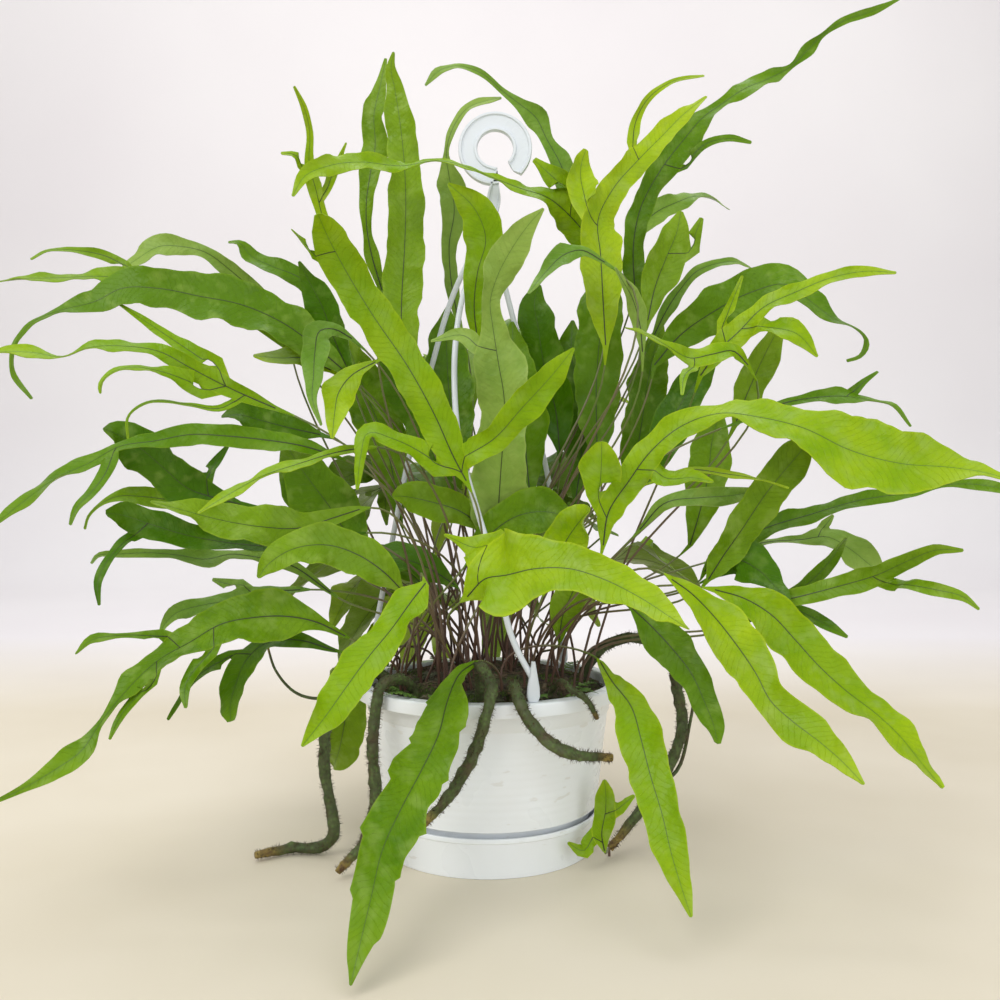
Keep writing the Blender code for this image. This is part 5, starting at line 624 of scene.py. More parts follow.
# Creeping rhizomes: radius, then places from the soil over the rim, and thin shoots that grow on them.
RHIZOMES = {
    "rhizome_left": (4.7, (
        (-72, -20, 0), (-84, -24, 133), (-99, -28, 134), (-113, -30, 112), (-119, -32, 62), (-114, -36, 38),
        (-111, -40, 17), (-123, -33, 6), (-144, -32, 5), (-166, -46, 5)),
        ((1.3, ((-107, -29, 119), (-118, -35, 115), (-136, -35, 117), (-154, -35, 135), (-160, -35, 153))),)),
    "rhizome_low_left": (4.5, (
        (-51, -52, 0), (-61, -62, 134), (-72, -73, 132), (-77, -76, 110), (-78, -77, 80), (-76, -78, 60),
        (-84, -79, 26), (-102, -78, 5)), ()),
    "rhizome_front": (4.5, (
        (-4, -73, 0), (-5, -82, 146), (3, -102, 135), (-2, -109, 112), (-12, -109, 86), (-27, -106, 62),
        (-43, -101, 44)), ()),
    "rhizome_front_right": (4.5, (
        (17, -70, 0), (18, -82, 133), (19, -98, 132), (26, -110, 118), (47, -116, 98), (82, -106, 90)), ()),
    "rhizome_right": (4.7, (
        (73, 18, 0), (84, 16, 140), (108, 12, 152), (136, 2, 143), (143, -5, 115), (145, -10, 86),
        (137, -15, 65), (111, -28, 31), (88, -36, 6)),
        ((1.5, ((125, -21, 50), (134, -18, 52), (152, -8, 93), (157, -5, 137))),)),
    "rhizome_hook": (2.4, (
        (44, -58, 0), (51, -72, 134), (57, -88, 131), (66, -92, 126), (74, -90, 112)), ()),
}

# The small frond that a creeping rhizome carries beside the saucer, measured like the others
RUNNER_FROND = ("young",
                ((88, -8, -62, 3), (86, 4, -64, 14), (89, 23, -66, 17), (89, 38, -68, 12), (88, 46, -69, 2)),
                ((89, 26, -66, 12), (100, 30, -67, 8), (111, 34, -68, 2)),
                ((86, 1, -64, 11), (73, -8, -70, 11), (60, -2, -74, 2)))

# Strands of the hanger, from the hook's foot to the rim
STRANDS = (
    ((-1, 462, 0), (-19, 410, -15), (-24, 372, -28), (-24, 338, -40), (-21, 304, -50), (-7, 251, -65),
     (5, 213, -74), (19, 160, -84), (31, 138, -89)),
    ((2, 462, 0), (16, 410, 15), (30, 357, 30), (38, 312, 42), (45, 289, 50), (57, 180, 68), (61, 138, 72)),
    ((-4, 462, 0), (-26, 418, 5), (-45, 357, 10), (-64, 281, 14), (-79, 205, 16), (-90, 150, 17),
     (-93, 138, 17)),
)


def seen(across, up, depth, width):
    """A place measured at the pot's scale, moved along its line of sight to its depth behind the axis."""
    spread = (VIEW_DISTANCE + depth) / VIEW_DISTANCE
    x = VIEW_ACROSS + (across - VIEW_ACROSS) * spread
    z = VIEW_HEIGHT + (up - VIEW_HEIGHT) * spread
    return (x * MM, depth * MM, z * MM, width * spread * MM)


def heading_of(turn):
    """The level direction at a turn round the axis, in radians."""
    return Vector((math.cos(turn), math.sin(turn), 0.0))


def arched(heading, start, height, reach, rise, droop, swing, width):
    """Places along a blade that leaves the plant at a heading in degrees, rises and arches over."""
    out = heading_of(math.radians(heading))
    aside = Vector((-out.y, out.x, 0.0))
    places = []
    for share, part in ARCH_WIDTHS:
        place = out * (start + reach * share) + aside * (swing * share * share)
        up = height + rise * share - droop * share * share
        places.append((place.x * MM, place.y * MM, up * MM, width * part * MM))
    return places


def smooth_path(places):
    """Samples of a smooth curve through the places; the fourth number, the width, is smoothed alike."""
    points = np.array(places, dtype=float)
    knots = np.concatenate(([0.0], np.cumsum(np.linalg.norm(np.diff(points[:, :3], axis=0), axis=1))))
    slopes = np.gradient(points, knots, axis=0)
    samples = []
    for i in range(len(points) - 1):
        span = knots[i + 1] - knots[i]
        for k in range(SAMPLES_PER_SPAN):
            u = k / SAMPLES_PER_SPAN
            first = (1 + 2 * u) * (1 - u) ** 2 * points[i] + u * (1 - u) ** 2 * span * slopes[i]
            second = u * u * (3 - 2 * u) * points[i + 1] + u * u * (u - 1) * span * slopes[i + 1]
            samples.append(first + second)
    samples.append(points[-1])
    return np.array(samples)


class Route:
    """A smooth curve that is read by the length along it, in metres."""

    def __init__(self, places, ragged=1.0):
        self.ragged = ragged
        self.samples = smooth_path(places)
        steps = np.linalg.norm(np.diff(self.samples[:, :3], axis=0), axis=1)
        self.lengths = np.concatenate(([0.0], np.cumsum(steps)))
        self.length = float(self.lengths[-1])

    def at(self, distance):
        return [float(np.interp(distance, self.lengths, self.samples[:, k])) for k in range(4)]

    def place(self, distance):
        return Vector(self.at(distance)[:3])

    def width(self, distance):
        return max(self.at(distance)[3], 0.0)

    def heading(self, distance):
        ahead = self.place(min(distance + HEADING_STEP * MM, self.length))
        behind = self.place(max(distance - HEADING_STEP * MM, 0.0))
        return (ahead - behind).normalized()

    def nearest(self, place):
        gaps = np.linalg.norm(self.samples[:, :3] - np.array(place[:3]), axis=1)
        return float(self.lengths[int(np.argmin(gaps))])


def bands(count, size, first=0):
    """Faces between rings of points that follow one another."""
    return [(low + n, low + (n + 1) % size, low + size + (n + 1) % size, low + size + n)
            for low in range(first, first + (count - 1) * size, size) for n in range(size)]


class Loft:
    """Points and faces that are lofted from section to section.

    A note is what the materials read at a point: across and along the blade in millimetres, the share of its
    half width, 1 on its underside, and how far along the blade. A kind is the material of a face.
    """

    def __init__(self):
        self.points = []
        self.notes = []
        self.faces = []
        self.kinds = []
        self.tint = 0.0

    def point(self, place, note):
        self.points.append(place)
        self.notes.append(note)
        return len(self.points) - 1

    def face(self, corners, kind):
        self.faces.append(corners)
        self.kinds.append(kind)

    def pair(self, place, normal, across, along, share, depth):
        """A point of the upper face and the one below it, a blade's thickness apart."""
        half = normal * (LEAF_THICK * MM / 2)
        upper = self.point(place + half, (across, along, share, 0.0, depth))
        return upper, self.point(place - half, (across, along, share, 1.0, depth))

    def middle(self, pair):
        return (self.points[pair[0]] + self.points[pair[1]]) / 2

    def skin(self, rows, open_left=(), open_right=()):
        """Faces over both sides of a blade and along its edges, left open where a lobe grows out."""
        for i, (low, high) in enumerate(zip(rows, rows[1:])):
            for k in range(len(low) - 1):
                if len(high) == 1:
                    self.face((low[k][0], low[k + 1][0], high[0][0]), LEAF)
                    self.face((low[k + 1][1], low[k][1], high[0][1]), LEAF)
                else:
                    self.face((low[k][0], low[k + 1][0], high[k + 1][0], high[k][0]), LEAF)
                    self.face((low[k][1], high[k][1], high[k + 1][1], low[k + 1][1]), LEAF)
            if i not in open_left:
                self.face((low[0][1], low[0][0], high[0][0], high[0][1]), LEAF)
            if i not in open_right:
                self.face((low[-1][0], low[-1][1], high[-1][1], high[-1][0]), LEAF)

    def stitch(self, loop, loop_shares, ring, ring_shares, kind):
        """A band of triangles between two loops that have different numbers of points."""
        i = k = 0
        while i < len(loop) or k < len(ring):
            next_loop = loop_shares[i + 1] if i + 1 < len(loop) else 1.0 + loop_shares[0]
            next_ring = ring_shares[k + 1] if k + 1 < len(ring) else 1.0 + ring_shares[0]
            a = loop[i % len(loop)]
            c = ring[k % len(ring)]
            if k == len(ring) or (i < len(loop) and next_loop <= next_ring):
                self.face((a, loop[(i + 1) % len(loop)], c), kind)
                i += 1
            else:
                self.face((a, ring[(k + 1) % len(ring)], c), kind)
                k += 1

    def rod(self, pairs, thick, fine):
        """A slender vein on the middles of point pairs, flattened onto the blade and thinner to its end."""
        middles = [self.middle(pair) for pair in pairs]
        start = len(self.points)
        for k, pair in enumerate(pairs):
            share = k / (len(pairs) - 1)
            radius = (thick + (fine - thick) * share) * MM
            ahead = (middles[min(k + 1, len(pairs) - 1)] - middles[max(k - 1, 0)]).normalized()
            normal = (self.points[pair[0]] - self.points[pair[1]]).normalized()
            side = ahead.cross(normal).normalized()
            normal = side.cross(ahead)
            raised = normal * (LEAF_THICK * MM / 2 + radius * 0.7)
            for a, b in RIB_SECTION:
                self.point(middles[k] + side * (radius * a) + raised * b, (0.0, share, 0.0, 0.0, 0.0))
        for corners in bands(len(pairs), len(RIB_SECTION), start):
            self.face(corners, VEIN)


def blade_frame(route, distance, hint):
    """Heading, side and upper normal of a blade that looks towards the hint, less upwards where it rises."""
    heading = route.heading(distance)
    towards = hint + Vector((0, 0, hint.y * max(heading.z, 0.0)))
    side = heading.cross(towards).normalized()
    return heading, side, side.cross(heading).normalized()


def blade_row(loft, route, distance, hint, phase):
    """One row of a blade: its midrib lies lower than its wavy edges, and it turns a little as it goes."""
    heading, side, normal = blade_frame(route, distance, hint)
    width = route.width(distance) * min(MOST_WIDENED, 1.0 / math.sqrt(max(1.0 - side.y * side.y, 0.1)))
    far = distance / MM
    twist = math.radians(TWIST) * min(1.0, far / TWIST_START)
    twist *= math.sin(math.pi * far / TWIST_ROW + TWIST_PHASE * phase)
    side, normal = (side * math.cos(twist) + normal * math.sin(twist),
                    normal * math.cos(twist) - side * math.sin(twist))
    calm = min(1.0, width / (CALM_WIDTH * MM))
    ragged = route.ragged
    row = []
    for k in range(COLUMNS):
        share = 2.0 * k / (COLUMNS - 1) - 1.0
        right = RIGHT_PHASE if share > 0 else 0.0
        turn = math.pi * far / RIPPLE_ROW + phase + right
        notch = noise.noise(Vector((far / (NOTCH_ROW * ragged), 5 * phase, right)))
        edge = WAVE * math.sin(2 * math.pi * far / WAVE_ROW + 2 * phase + right) + NOTCH * ragged * notch
        if ragged > BITE_RAGGED:
            edge += BITE * (((far / BITE_ROW + BITE_PHASE * right) % 1.0) ** 2 - BITE_MIDDLE)
        frill = FRILL_LEAST + FRILL_CHANGE * noise.noise(Vector((far / FRILL_ROW, 3 * phase, right)))
        frill *= FRILL * math.cos(FRILL_TURNS * turn + FRILL_PHASE)
        lift = RIPPLE * share * share * math.cos(turn) + frill * abs(share) ** 3
        lift = FOLD * width * abs(share) ** 1.25 + lift * calm * MM
        place = route.place(distance) + side * (share * width * (1.0 + calm * edge) / 2) + normal * lift
        row.append(loft.pair(place, normal, share * width / 2 / MM, far, share, distance / route.length))
    return row


def row_places(length, zones):
    """Distances of a blade's rows: even steps, and COLUMNS rows across each zone where a lobe grows."""
    places = [0.0]
    for start, end in zones + [(length, length)]:
        first = places[-1]
        steps = max(1, round((start - first) / (ROW * MM)))
        places.extend(first + (start - first) * k / steps for k in range(1, steps + 1))
        if end > start:
            places.extend(start + (end - start) * k / (COLUMNS - 1) for k in range(1, COLUMNS))
    return places


def lobe_zones(route, lobes, hint):
    """Where each lobe leaves the blade: its zone of the length and whether that is the left edge."""
    found = []
    for lobe in lobes:
        middle = route.nearest(lobe[0])
        half = max(lobe[0][3] / 2, LOBE_LEAST_HALF * MM)
        start = max(middle - half, LOBE_FROM_FOOT * MM)
        end = min(start + 2 * half, route.length - LOBE_FROM_TIP * MM)
        side = blade_frame(route, middle, hint)[1]
        left = (Vector(lobe[1][:3]) - route.place(middle)).dot(side) < 0
        found.append([start, end, left, lobe])
    found.sort(key=lambda zone: zone[0])
    for i, zone in enumerate(found):
        for earlier in found[:i]:
            if zone[0] < earlier[1] + LOBE_APART * MM:
                if zone[2] != earlier[2]:
                    zone[:2] = earlier[:2]
                else:
                    start = earlier[1] + LOBE_MOVED * MM
                    zone[:2] = start, start + zone[1] - zone[0]
    return found


def rounded_tip(route, places):
    """Closer rows near the tip, so that it ends in a rounded point."""
    tip = route.length
    near = [tip - gap * MM for gap in TIP_GAPS]
    return [place for place in places[:-1] if place < near[0] - MM] + near + [tip]


def blade_rows(loft, route, places, hint, phase):
    """Rows up to the last place, where the blade closes in a point."""
    rows = [blade_row(loft, route, distance, hint, phase) for distance in places[:-1]]
    normal = blade_frame(route, route.length, hint)[2]
    rows.append([loft.pair(route.place(route.length), normal, 0.0, route.length / MM, 0.0, 1.0)])
    return rows


def pushed_out(loft, row, start, out, least):
    """Moves the points of a lobe's row away from its blade's edge until they are this far out."""
    for pair in row:
        lack = least - (loft.middle(pair) - start).dot(out)
        if lack > 0:
            for index in pair:
                loft.points[index] = loft.points[index] + out * lack


def grow_lobe(loft, base, vein, centre, lobe, hint, phase, ragged):
    """A lobe that grows out of a blade; its first row is the blade's edge, and its vein joins the midrib."""
    middles = [loft.middle(pair) for pair in base]
    start = middles[COLUMNS // 2]
    along = middles[-1] - middles[0]
    width = along.length
    out = start - centre
    out = (out - along * (out.dot(along) / along.dot(along))).normalized()
    onward = list(lobe[1:])
    clear = max(LOBE_CLEAR * MM, width * LOBE_CLEAR_SHARE)
    while len(onward) > 1 and (Vector(onward[0][:3]) - start).dot(out) < clear:
        onward.pop(0)
    route = Route([(start.x, start.y, start.z, width)] + onward, ragged)
    if out.cross(hint + Vector((0, 0, hint.y * max(out.z, 0.0)))).dot(along) < 0:
        base = base[::-1]
    count = max(3, round(route.length / (ROW * MM)))
    places = rounded_tip(route, [route.length * k / count for k in range(count + 1)])
    rows = [base] + blade_rows(loft, route, places[1:], hint, phase)
    for distance, row in zip(places[1:], rows[1:]):
        if distance < 4 * LOBE_CLEAR * MM:
            pushed_out(loft, row, start, out, min(LOBE_CLEAR * MM, distance * 0.5))
    loft.skin(rows)
    loft.rod(vein + [row[COLUMNS // 2] for row in rows[1:-1]], RIB_THICK * LOBE_RIB, LOBE_RIB_END)


def grow_stalk(loft, row, route, hint, root, ground, bend):
    """A thin stalk from a blade's first row down to the ground, and straight down into it to its root."""
    heading, side, normal = blade_frame(route, 0.0, hint)
    top = route.place(0.0)
    foot = Vector((root.x, root.y, ground))
    reach = (top - foot).length
    lean = Vector((bend[0] * MM, bend[1] * MM, 0.0)) * min(1.0, reach / (STALK_FREE * MM))
    handles = (foot, foot + Vector((0, 0, reach * STALK_RISE)) + lean,
               top - heading * (reach * STALK_LEAD) + lean, top)
    previous = [pair[0] for pair in row] + [pair[1] for pair in reversed(row)]
    shares = [first + 0.46 * k / (COLUMNS - 1) for first in (0.02, 0.52) for k in range(COLUMNS)]
    ring_shares = [k / STALK_SIDES for k in range(STALK_SIDES)]
    centres = [bezier(handles, 1.0 - k / STALK_ROWS) for k in range(STALK_ROWS + 1)] + [root]
    for k in range(1, len(centres)):
        ahead = Vector((0, 0, 1))
        if k < len(centres) - 2:
            ahead = (centres[k - 1] - centres[k + 1]).normalized()
        side = (side - ahead * side.dot(ahead)).normalized()
        normal = side.cross(ahead)
        height = 1.0 - k / STALK_ROWS
        radius = STALK_RADIUS * (1.0 - STALK_TAPER * max(height, 0.0)) * MM
        ring = []
        for n in range(STALK_SIDES):
            angle = math.pi - 2 * math.pi * n / STALK_SIDES
            offset = side * math.cos(angle) + normal * math.sin(angle)
            ring.append(loft.point(centres[k] + offset * radius, (0.0, height, 0.0, 0.0, 0.0)))
        loft.stitch(previous, shares, ring, ring_shares, LEAF if k == 1 else STALK)
        previous, shares = ring, ring_shares
    loft.face(tuple(previous), STALK)


def bezier(handles, u):
    """The place at a share of a curve between its first and last handle."""
    a, b, c, d = handles
    v = 1.0 - u
    return a * v ** 3 + b * (3 * v * v * u) + c * (3 * v * u * u) + d * u ** 3


def grow_frond(frond, root, ground, phase, bend, ragged=1.0):
    """The whole frond in one loft: stalk, blade, lobes and their veins."""
    tone, hint, blade, lobes = frond
    loft = Loft()
    route = Route(blade, ragged)
    found = lobe_zones(route, lobes, hint)
    zones = sorted({(start, end) for start, end, left, lobe in found})
    places = rounded_tip(route, row_places(route.length, zones))
    rows = blade_rows(loft, route, places, hint, phase)
    open_left, open_right = set(), set()
    centre = COLUMNS // 2
    for start, end, left, lobe in found:
        side, edges = (-1, open_left) if left else (1, open_right)
        first = min(range(len(places)), key=lambda k: abs(places[k] - start))
        edges.update(range(first, first + COLUMNS - 1))
        edge = [row[centre + side * centre] for row in rows[first:first + COLUMNS]]
        vein = [rows[first + k][centre + side * k] for k in range(centre + 1)]
        grow_lobe(loft, edge, vein, route.place((start + end) / 2), lobe, hint, phase + LOBE_PHASE, ragged)
    loft.skin(rows, open_left, open_right)
    loft.rod([row[centre] for row in rows[:-1]], RIB_THICK, RIB_END)
    grow_stalk(loft, rows[0], route, hint, root, ground, bend)
    return loft


def frond_of(name):
    """Tone, hint for the upper face, blade and lobes of a frond, with every place in metres."""
    back = SET_BACK.get(name, 0)
    if name in REAR_FRONDS:
        tone, heading, *shape, lobes = REAR_FRONDS[name]
        blade = arched(heading + back, *shape)
        return tone, Vector((0, 0, 1)), blade, [side_lobe(blade, *lobe) for lobe in lobes]
    tone, blade, *lobes = RUNNER_FROND if name == "runner" else SEEN_FRONDS[name]
    level = name != "runner" and abs(blade[-1][2] - blade[0][2]) < STEEP
    most = MOST_SWEEP * math.dist(blade[0][:2], blade[-1][:2])
    sweep = max(-most, min(most, blade[0][2] * SWEEP)) if level else 0.0
    hint = Vector(OTHER_FACINGS.get(name, FACING)).normalized()
    grown = swept(blade, back, sweep)
    route = Route(grown)
    return tone, hint, grown, [hung(lobe, blade, route, hint) for lobe in lobes]


def swept(places, back, sweep):
    """Places in metres; a frond that starts in front of the axis comes further forward towards its tip."""
    moved = []
    for k, (across, up, depth, width) in enumerate(places):
        share = k / (len(places) - 1)
        moved.append(seen(across, up, depth + back + sweep * share * share, width))
    return moved


def hung(lobe, blade, route, hint):
    """Places of a lobe in metres, laid into the plane of its blade where it leaves it."""
    samples = smooth_path(blade)
    gaps = np.hypot(samples[:, 0] - lobe[0][0], samples[:, 1] - lobe[0][1])
    index = int(np.argmin(gaps))
    start = Vector(route.samples[index][:3])
    normal = blade_frame(route, route.lengths[index], hint)[2]
    places = []
    for across, up, depth, width in lobe:
        away = Vector(seen(across, up, start.y / MM, width)[:3]) - start
        tilt = (away.x * normal.x + away.z * normal.z) / max(-normal.y, LEAST_FACING) / MM
        tilt = max(-MOST_TILT, min(MOST_TILT, tilt))
        places.append(seen(across, up, start.y / MM + tilt + (depth - lobe[0][2]), width))
    return places


def side_lobe(blade, at, side, length):
    """Places of a lobe that leaves an arching blade to one side and hangs a little."""
    start = Vector(blade[at][:3])
    ahead = (Vector(blade[at + 1][:3]) - start).normalized()
    aside = ahead.cross(Vector((0, 0, 1))).normalized() * side
    away = ahead * LOBE_HEADING[0] + aside * LOBE_HEADING[1]
    places = []
    for share, part in LOBE_WIDTHS:
        reach = length * MM * share
        place = start + away * reach - Vector((0, 0, LOBE_SAG * reach * share))
        places.append((*place, blade[at][3] * part))
    return places


def read(table, at):
    """What a table of (place, value) pairs says at a place between them."""
    return float(np.interp(at, *zip(*table)))


def soil_height(radius):
    """Height of the soil in millimetres at a distance from the axis."""
    return read(SOIL_TOP, radius)


def planting_places():
    """Rings of free places on the soil, away from the rhizomes."""
    places = [(0.0, 0.0)]
    for radius, count in PLANTING_RINGS:
        for k in range(count):
            turn = 2 * math.pi * (k + PLANTING_TURN) / count
            place = (radius * math.cos(turn), radius * math.sin(turn))
            if min(math.dist(place, route[0][:2]) for thick, route, shoots in RHIZOMES.values()) > CROWN_GAP:
                places.append(place)
    return places


def base_of(name):
    """Where the blade of a frond starts, (across, back) in millimetres, before it is set back."""
    if name in REAR_FRONDS:
        heading, start = REAR_FRONDS[name][1:3]
        turn = math.radians(heading)
        return start * math.cos(turn), start * math.sin(turn)
    x, y, z, width = seen(*SEEN_FRONDS[name][1][0])
    return x / MM, y / MM


def plant(groups):
    """A place on the soil for every group of fronds, near the middle of what it carries."""
    free = planting_places()
    wanted = []
    for group in groups:
        bases = [base_of(name) for name in group]
        x = sum(base[0] for base in bases) / len(bases) * PLANTING_PULL
        y = sum(base[1] for base in bases) / len(bases) * PLANTING_PULL
        reach = max(math.hypot(x, y), 1.0)
        shrink = min(1.0, PLANTING_RADIUS / reach)
        wanted.append((x * shrink, y * shrink))
    order = sorted(range(len(groups)), key=lambda n: -math.hypot(*wanted[n]))
    chosen = {}
    for n in order:
        place = min(free, key=lambda spot: math.dist(spot, wanted[n]))
        free.remove(place)
        chosen[groups[n]] = place
    return chosen


def frond_loft(name, place, turn, phase):
    """A frond whose stalk stands in the crown at this place."""
    ground = soil_height(math.hypot(*place)) * MM
    root = Vector((*place, 0.0)) * MM + heading_of(turn) * (CROWN_SPREAD * MM)
    root.z = ground - CROWN_DEPTH * MM / 2
    return grow_frond(frond_of(name), root, ground + CROWN_RISE * MM, phase, STALK_BENDS.get(name, (0, 0)),
                      RAGGED.get(name, 1.0))


class Looks:
    """A Principled material whose colour, roughness and bump come from a few procedural nodes."""

    def __init__(self, name, roughness=0.5):
        self.material = bpy.data.materials.new(name)
        self.material.use_nodes = True
        self.tree = self.material.node_tree
        self.shader = self.tree.nodes["Principled BSDF"]
        self.shader.inputs["Roughness"].default_value = roughness
        self.place = self.node("ShaderNodeTexCoord").outputs["Object"]

    def node(self, kind, **settings):
        made = self.tree.nodes.new(kind)
        for name, value in settings.items():
            setattr(made, name, value)
        return made

    def put(self, value, where):
        """Links a node's socket, or sets a plain value."""
        if isinstance(value, bpy.types.NodeSocket):
            self.tree.links.new(value, where)
        else:
            where.default_value = value

    def math(self, operation, a, b=0.0):
        made = self.node("ShaderNodeMath", operation=operation)
        self.put(a, made.inputs[0])
        self.put(b, made.inputs[1])
        return made.outputs[0]

    def between(self, value, low, high, to_low=0.0, to_high=1.0):
        """A value from one range carried over to another, and held at its ends."""
        made = self.node("ShaderNodeMapRange")
        for number, part in enumerate((value, low, high, to_low, to_high)):
            self.put(part, made.inputs[number])
        return made.outputs[0]

    def spots(self, scale, detail, low=0.0, high=1.0, stretch=(1, 1, 1)):
        """Soft noise between two numbers."""
        spread = self.node("ShaderNodeMapping")
        spread.inputs["Scale"].default_value = stretch
        self.put(self.place, spread.inputs["Vector"])
        made = self.node("ShaderNodeTexNoise")
        made.inputs["Scale"].default_value = scale
        made.inputs["Detail"].default_value = detail
        self.put(spread.outputs[0], made.inputs["Vector"])
        return self.between(made.outputs["Fac"], *NOISE_SPAN, low, high)

    def cells(self, scale, feature="F1", place=None):
        """Distances in a pattern of cells."""
        made = self.node("ShaderNodeTexVoronoi", feature=feature)
        made.inputs["Scale"].default_value = scale
        self.put(place or self.place, made.inputs["Vector"])
        return made.outputs["Distance"]

    def note(self, name, part=None):
        """What the mesh says at each point: one of its point attributes, or one part of it."""
        made = self.node("ShaderNodeAttribute", attribute_name=name)
        if part is None:
            return made.outputs["Fac"]
        split = self.node("ShaderNodeSeparateXYZ")
        self.put(made.outputs["Vector"], split.inputs[0])
        return split.outputs[part]

    def layers(self, base, *layers):
        """A base with layers over it, each a share, held between 0 and 1, and a colour."""
        for share, colour in layers:
            made = self.node("ShaderNodeMix", data_type="RGBA")
            self.put(share, made.inputs["Factor"])
            for value, name in ((base, "A"), (colour, "B")):
                slot = [part for part in made.inputs if part.name == name and part.type == "RGBA"][0]
                self.put((*value, 1.0) if isinstance(value, tuple) else value, slot)
            base = [part for part in made.outputs if part.type == "RGBA"][0]
        return base

    def colour(self, value):
        self.put(value, self.shader.inputs["Base Color"])

    def rough(self, value):
        self.put(value, self.shader.inputs["Roughness"])

    def bump(self, height, depth, strength):
        """Relief as deep as this many millimetres."""
        made = self.node("ShaderNodeBump")
        made.inputs["Strength"].default_value = strength
        made.inputs["Distance"].default_value = depth * MM
        self.put(height, made.inputs["Height"])
        self.put(made.outputs[0], self.shader.inputs["Normal"])


def leaf_looks(name, dark, light, edge, under):
    """A fern blade: cloudy green with a light mottle that is partly painted sheen, a fine net, slanting side
    veins, a pale margin and a greyer underside.
    """
    looks = Looks(name)
    across = looks.note("blade", 0)
    along = looks.note("blade", 1)
    share = looks.math("ABSOLUTE", looks.note("blade", 2))
    away = looks.math("ABSOLUTE", across)
    flat = looks.node("ShaderNodeCombineXYZ")
    looks.put(looks.math("MULTIPLY", across, 0.2), flat.inputs[0])
    looks.put(looks.math("MULTIPLY", along, 0.15), flat.inputs[1])
    net = looks.between(looks.cells(1.0, "DISTANCE_TO_EDGE", flat.outputs[0]), 0.02, 0.14, 1.0, 0.0)
    slant = looks.math("ADD", looks.math("MULTIPLY", along, 0.62), looks.math("MULTIPLY", away, -0.55))
    slant = looks.math("ADD", slant, looks.spots(42.0, 1.0, -2.2, 2.2))
    veins = looks.between(looks.math("ABSOLUTE", looks.math("SINE", slant)), 0.0, 0.16, 1.0, 0.0)
    cloud = looks.spots(30.0, 3.0)
    mottle_and_sheen = looks.spots(120.0, 2.0)
    tint = looks.note("tint")
    looks.colour(looks.layers(
        dark,
        (cloud, light),
        # light mottle: partly the blade's own blotches, partly painted sheen of glossy highlights
        (looks.math("MULTIPLY", mottle_and_sheen, 0.3), light),
        (looks.spots(8.0, 1.0, -0.5, 0.75), dark),
        (looks.math("MULTIPLY", veins, 0.15), edge),
        (looks.math("MULTIPLY", net, 0.16), dark),
        (looks.spots(85.0, 2.0, -0.5, 0.42), (0.30, 0.43, 0.09)),
        (looks.between(share, 0.9, 1.0, 0.0, 0.55), edge),
        (looks.between(looks.note("depth"), 0.75, 1.0, 0.0, 0.5), edge),
        (looks.between(away, 0.4, 2.6, 0.35, 0.0), dark),
        (looks.math("MULTIPLY", tint, -0.5), dark),
        (looks.math("MULTIPLY", tint, 0.35), edge),
        (looks.math("MULTIPLY", looks.note("under"), 0.75), under)))
    looks.rough(looks.between(cloud, 0.0, 1.0, 0.30, 0.46))
    relief = looks.math("ADD", looks.math("MULTIPLY", veins, -0.3), looks.math("MULTIPLY", mottle_and_sheen, 1.1))
    looks.bump(relief, 0.65, 0.8)
    looks.put(0.17, looks.shader.inputs["Specular IOR Level"])
    return looks.material


def vein_looks():
    """Midribs: almost black at the foot, olive towards the tip."""
    looks = Looks("vein")
    looks.colour(looks.layers(
        (0.022, 0.035, 0.006),
        (looks.between(looks.note("blade", 1), 0.1, 1.0), (0.075, 0.16, 0.012)),
        (looks.spots(300.0, 2.0, 0.0, 0.4), (0.05, 0.03, 0.01))))
    looks.bump(looks.spots(500.0, 2.0), 0.1, 0.4)
    return looks.material


def stalk_looks():
    """Wiry stalks: red-brown at the ground, olive and then green towards the blade."""
    looks = Looks("stalk", 0.38)
    grain = looks.spots(90.0, 3.0, -0.14, 0.14, (1, 1, 0.15))
    height = looks.math("ADD", looks.note("blade", 1), grain)
    looks.colour(looks.layers(
        (0.10, 0.048, 0.032),
        (looks.between(height, 0.05, 0.5), (0.13, 0.105, 0.042)),
        (looks.between(height, 0.4, 0.95), (0.12, 0.20, 0.022)),
        (looks.spots(45.0, 2.0, 0.0, 0.45), (0.19, 0.12, 0.085))))
    looks.bump(looks.spots(700.0, 2.0, stretch=(1, 1, 0.1)), 0.15, 0.5)
    return looks.material


def plastic_looks(name, clean, dusty):
    """White moulded plastic: glossy, with faint scuffs and a little dust."""
    looks = Looks(name, 0.28)
    looks.colour(looks.layers(
        clean,
        (looks.spots(14.0, 3.0, -0.6, 0.5), dusty),
        (looks.spots(55.0, 4.0, -3.2, 0.35, (1, 1, 3)), (0.66, 0.64, 0.60))))
    looks.rough(looks.spots(30.0, 2.0, 0.22, 0.4))
    looks.bump(looks.spots(400.0, 3.0), 0.05, 0.25)
    return looks.material


def soil_looks():
    """Peaty potting mix: dark, crumbly and moist, with paler fibres and some moss."""
    looks = Looks("soil", 0.9)
    crumbs = looks.cells(240.0)
    looks.colour(looks.layers(
        (0.016, 0.010, 0.006),
        (looks.spots(130.0, 5.0), (0.07, 0.045, 0.025)),
        (looks.between(crumbs, 0.0, 0.5, 0.35, 0.0), (0.12, 0.085, 0.05)),
        (looks.spots(38.0, 4.0, -0.7, 1.0), (0.050, 0.085, 0.016))))
    looks.rough(looks.spots(90.0, 3.0, 0.75, 1.0))
    looks.bump(looks.math("ADD", crumbs, looks.spots(420.0, 5.0)), 0.9, 0.9)
    return looks.material


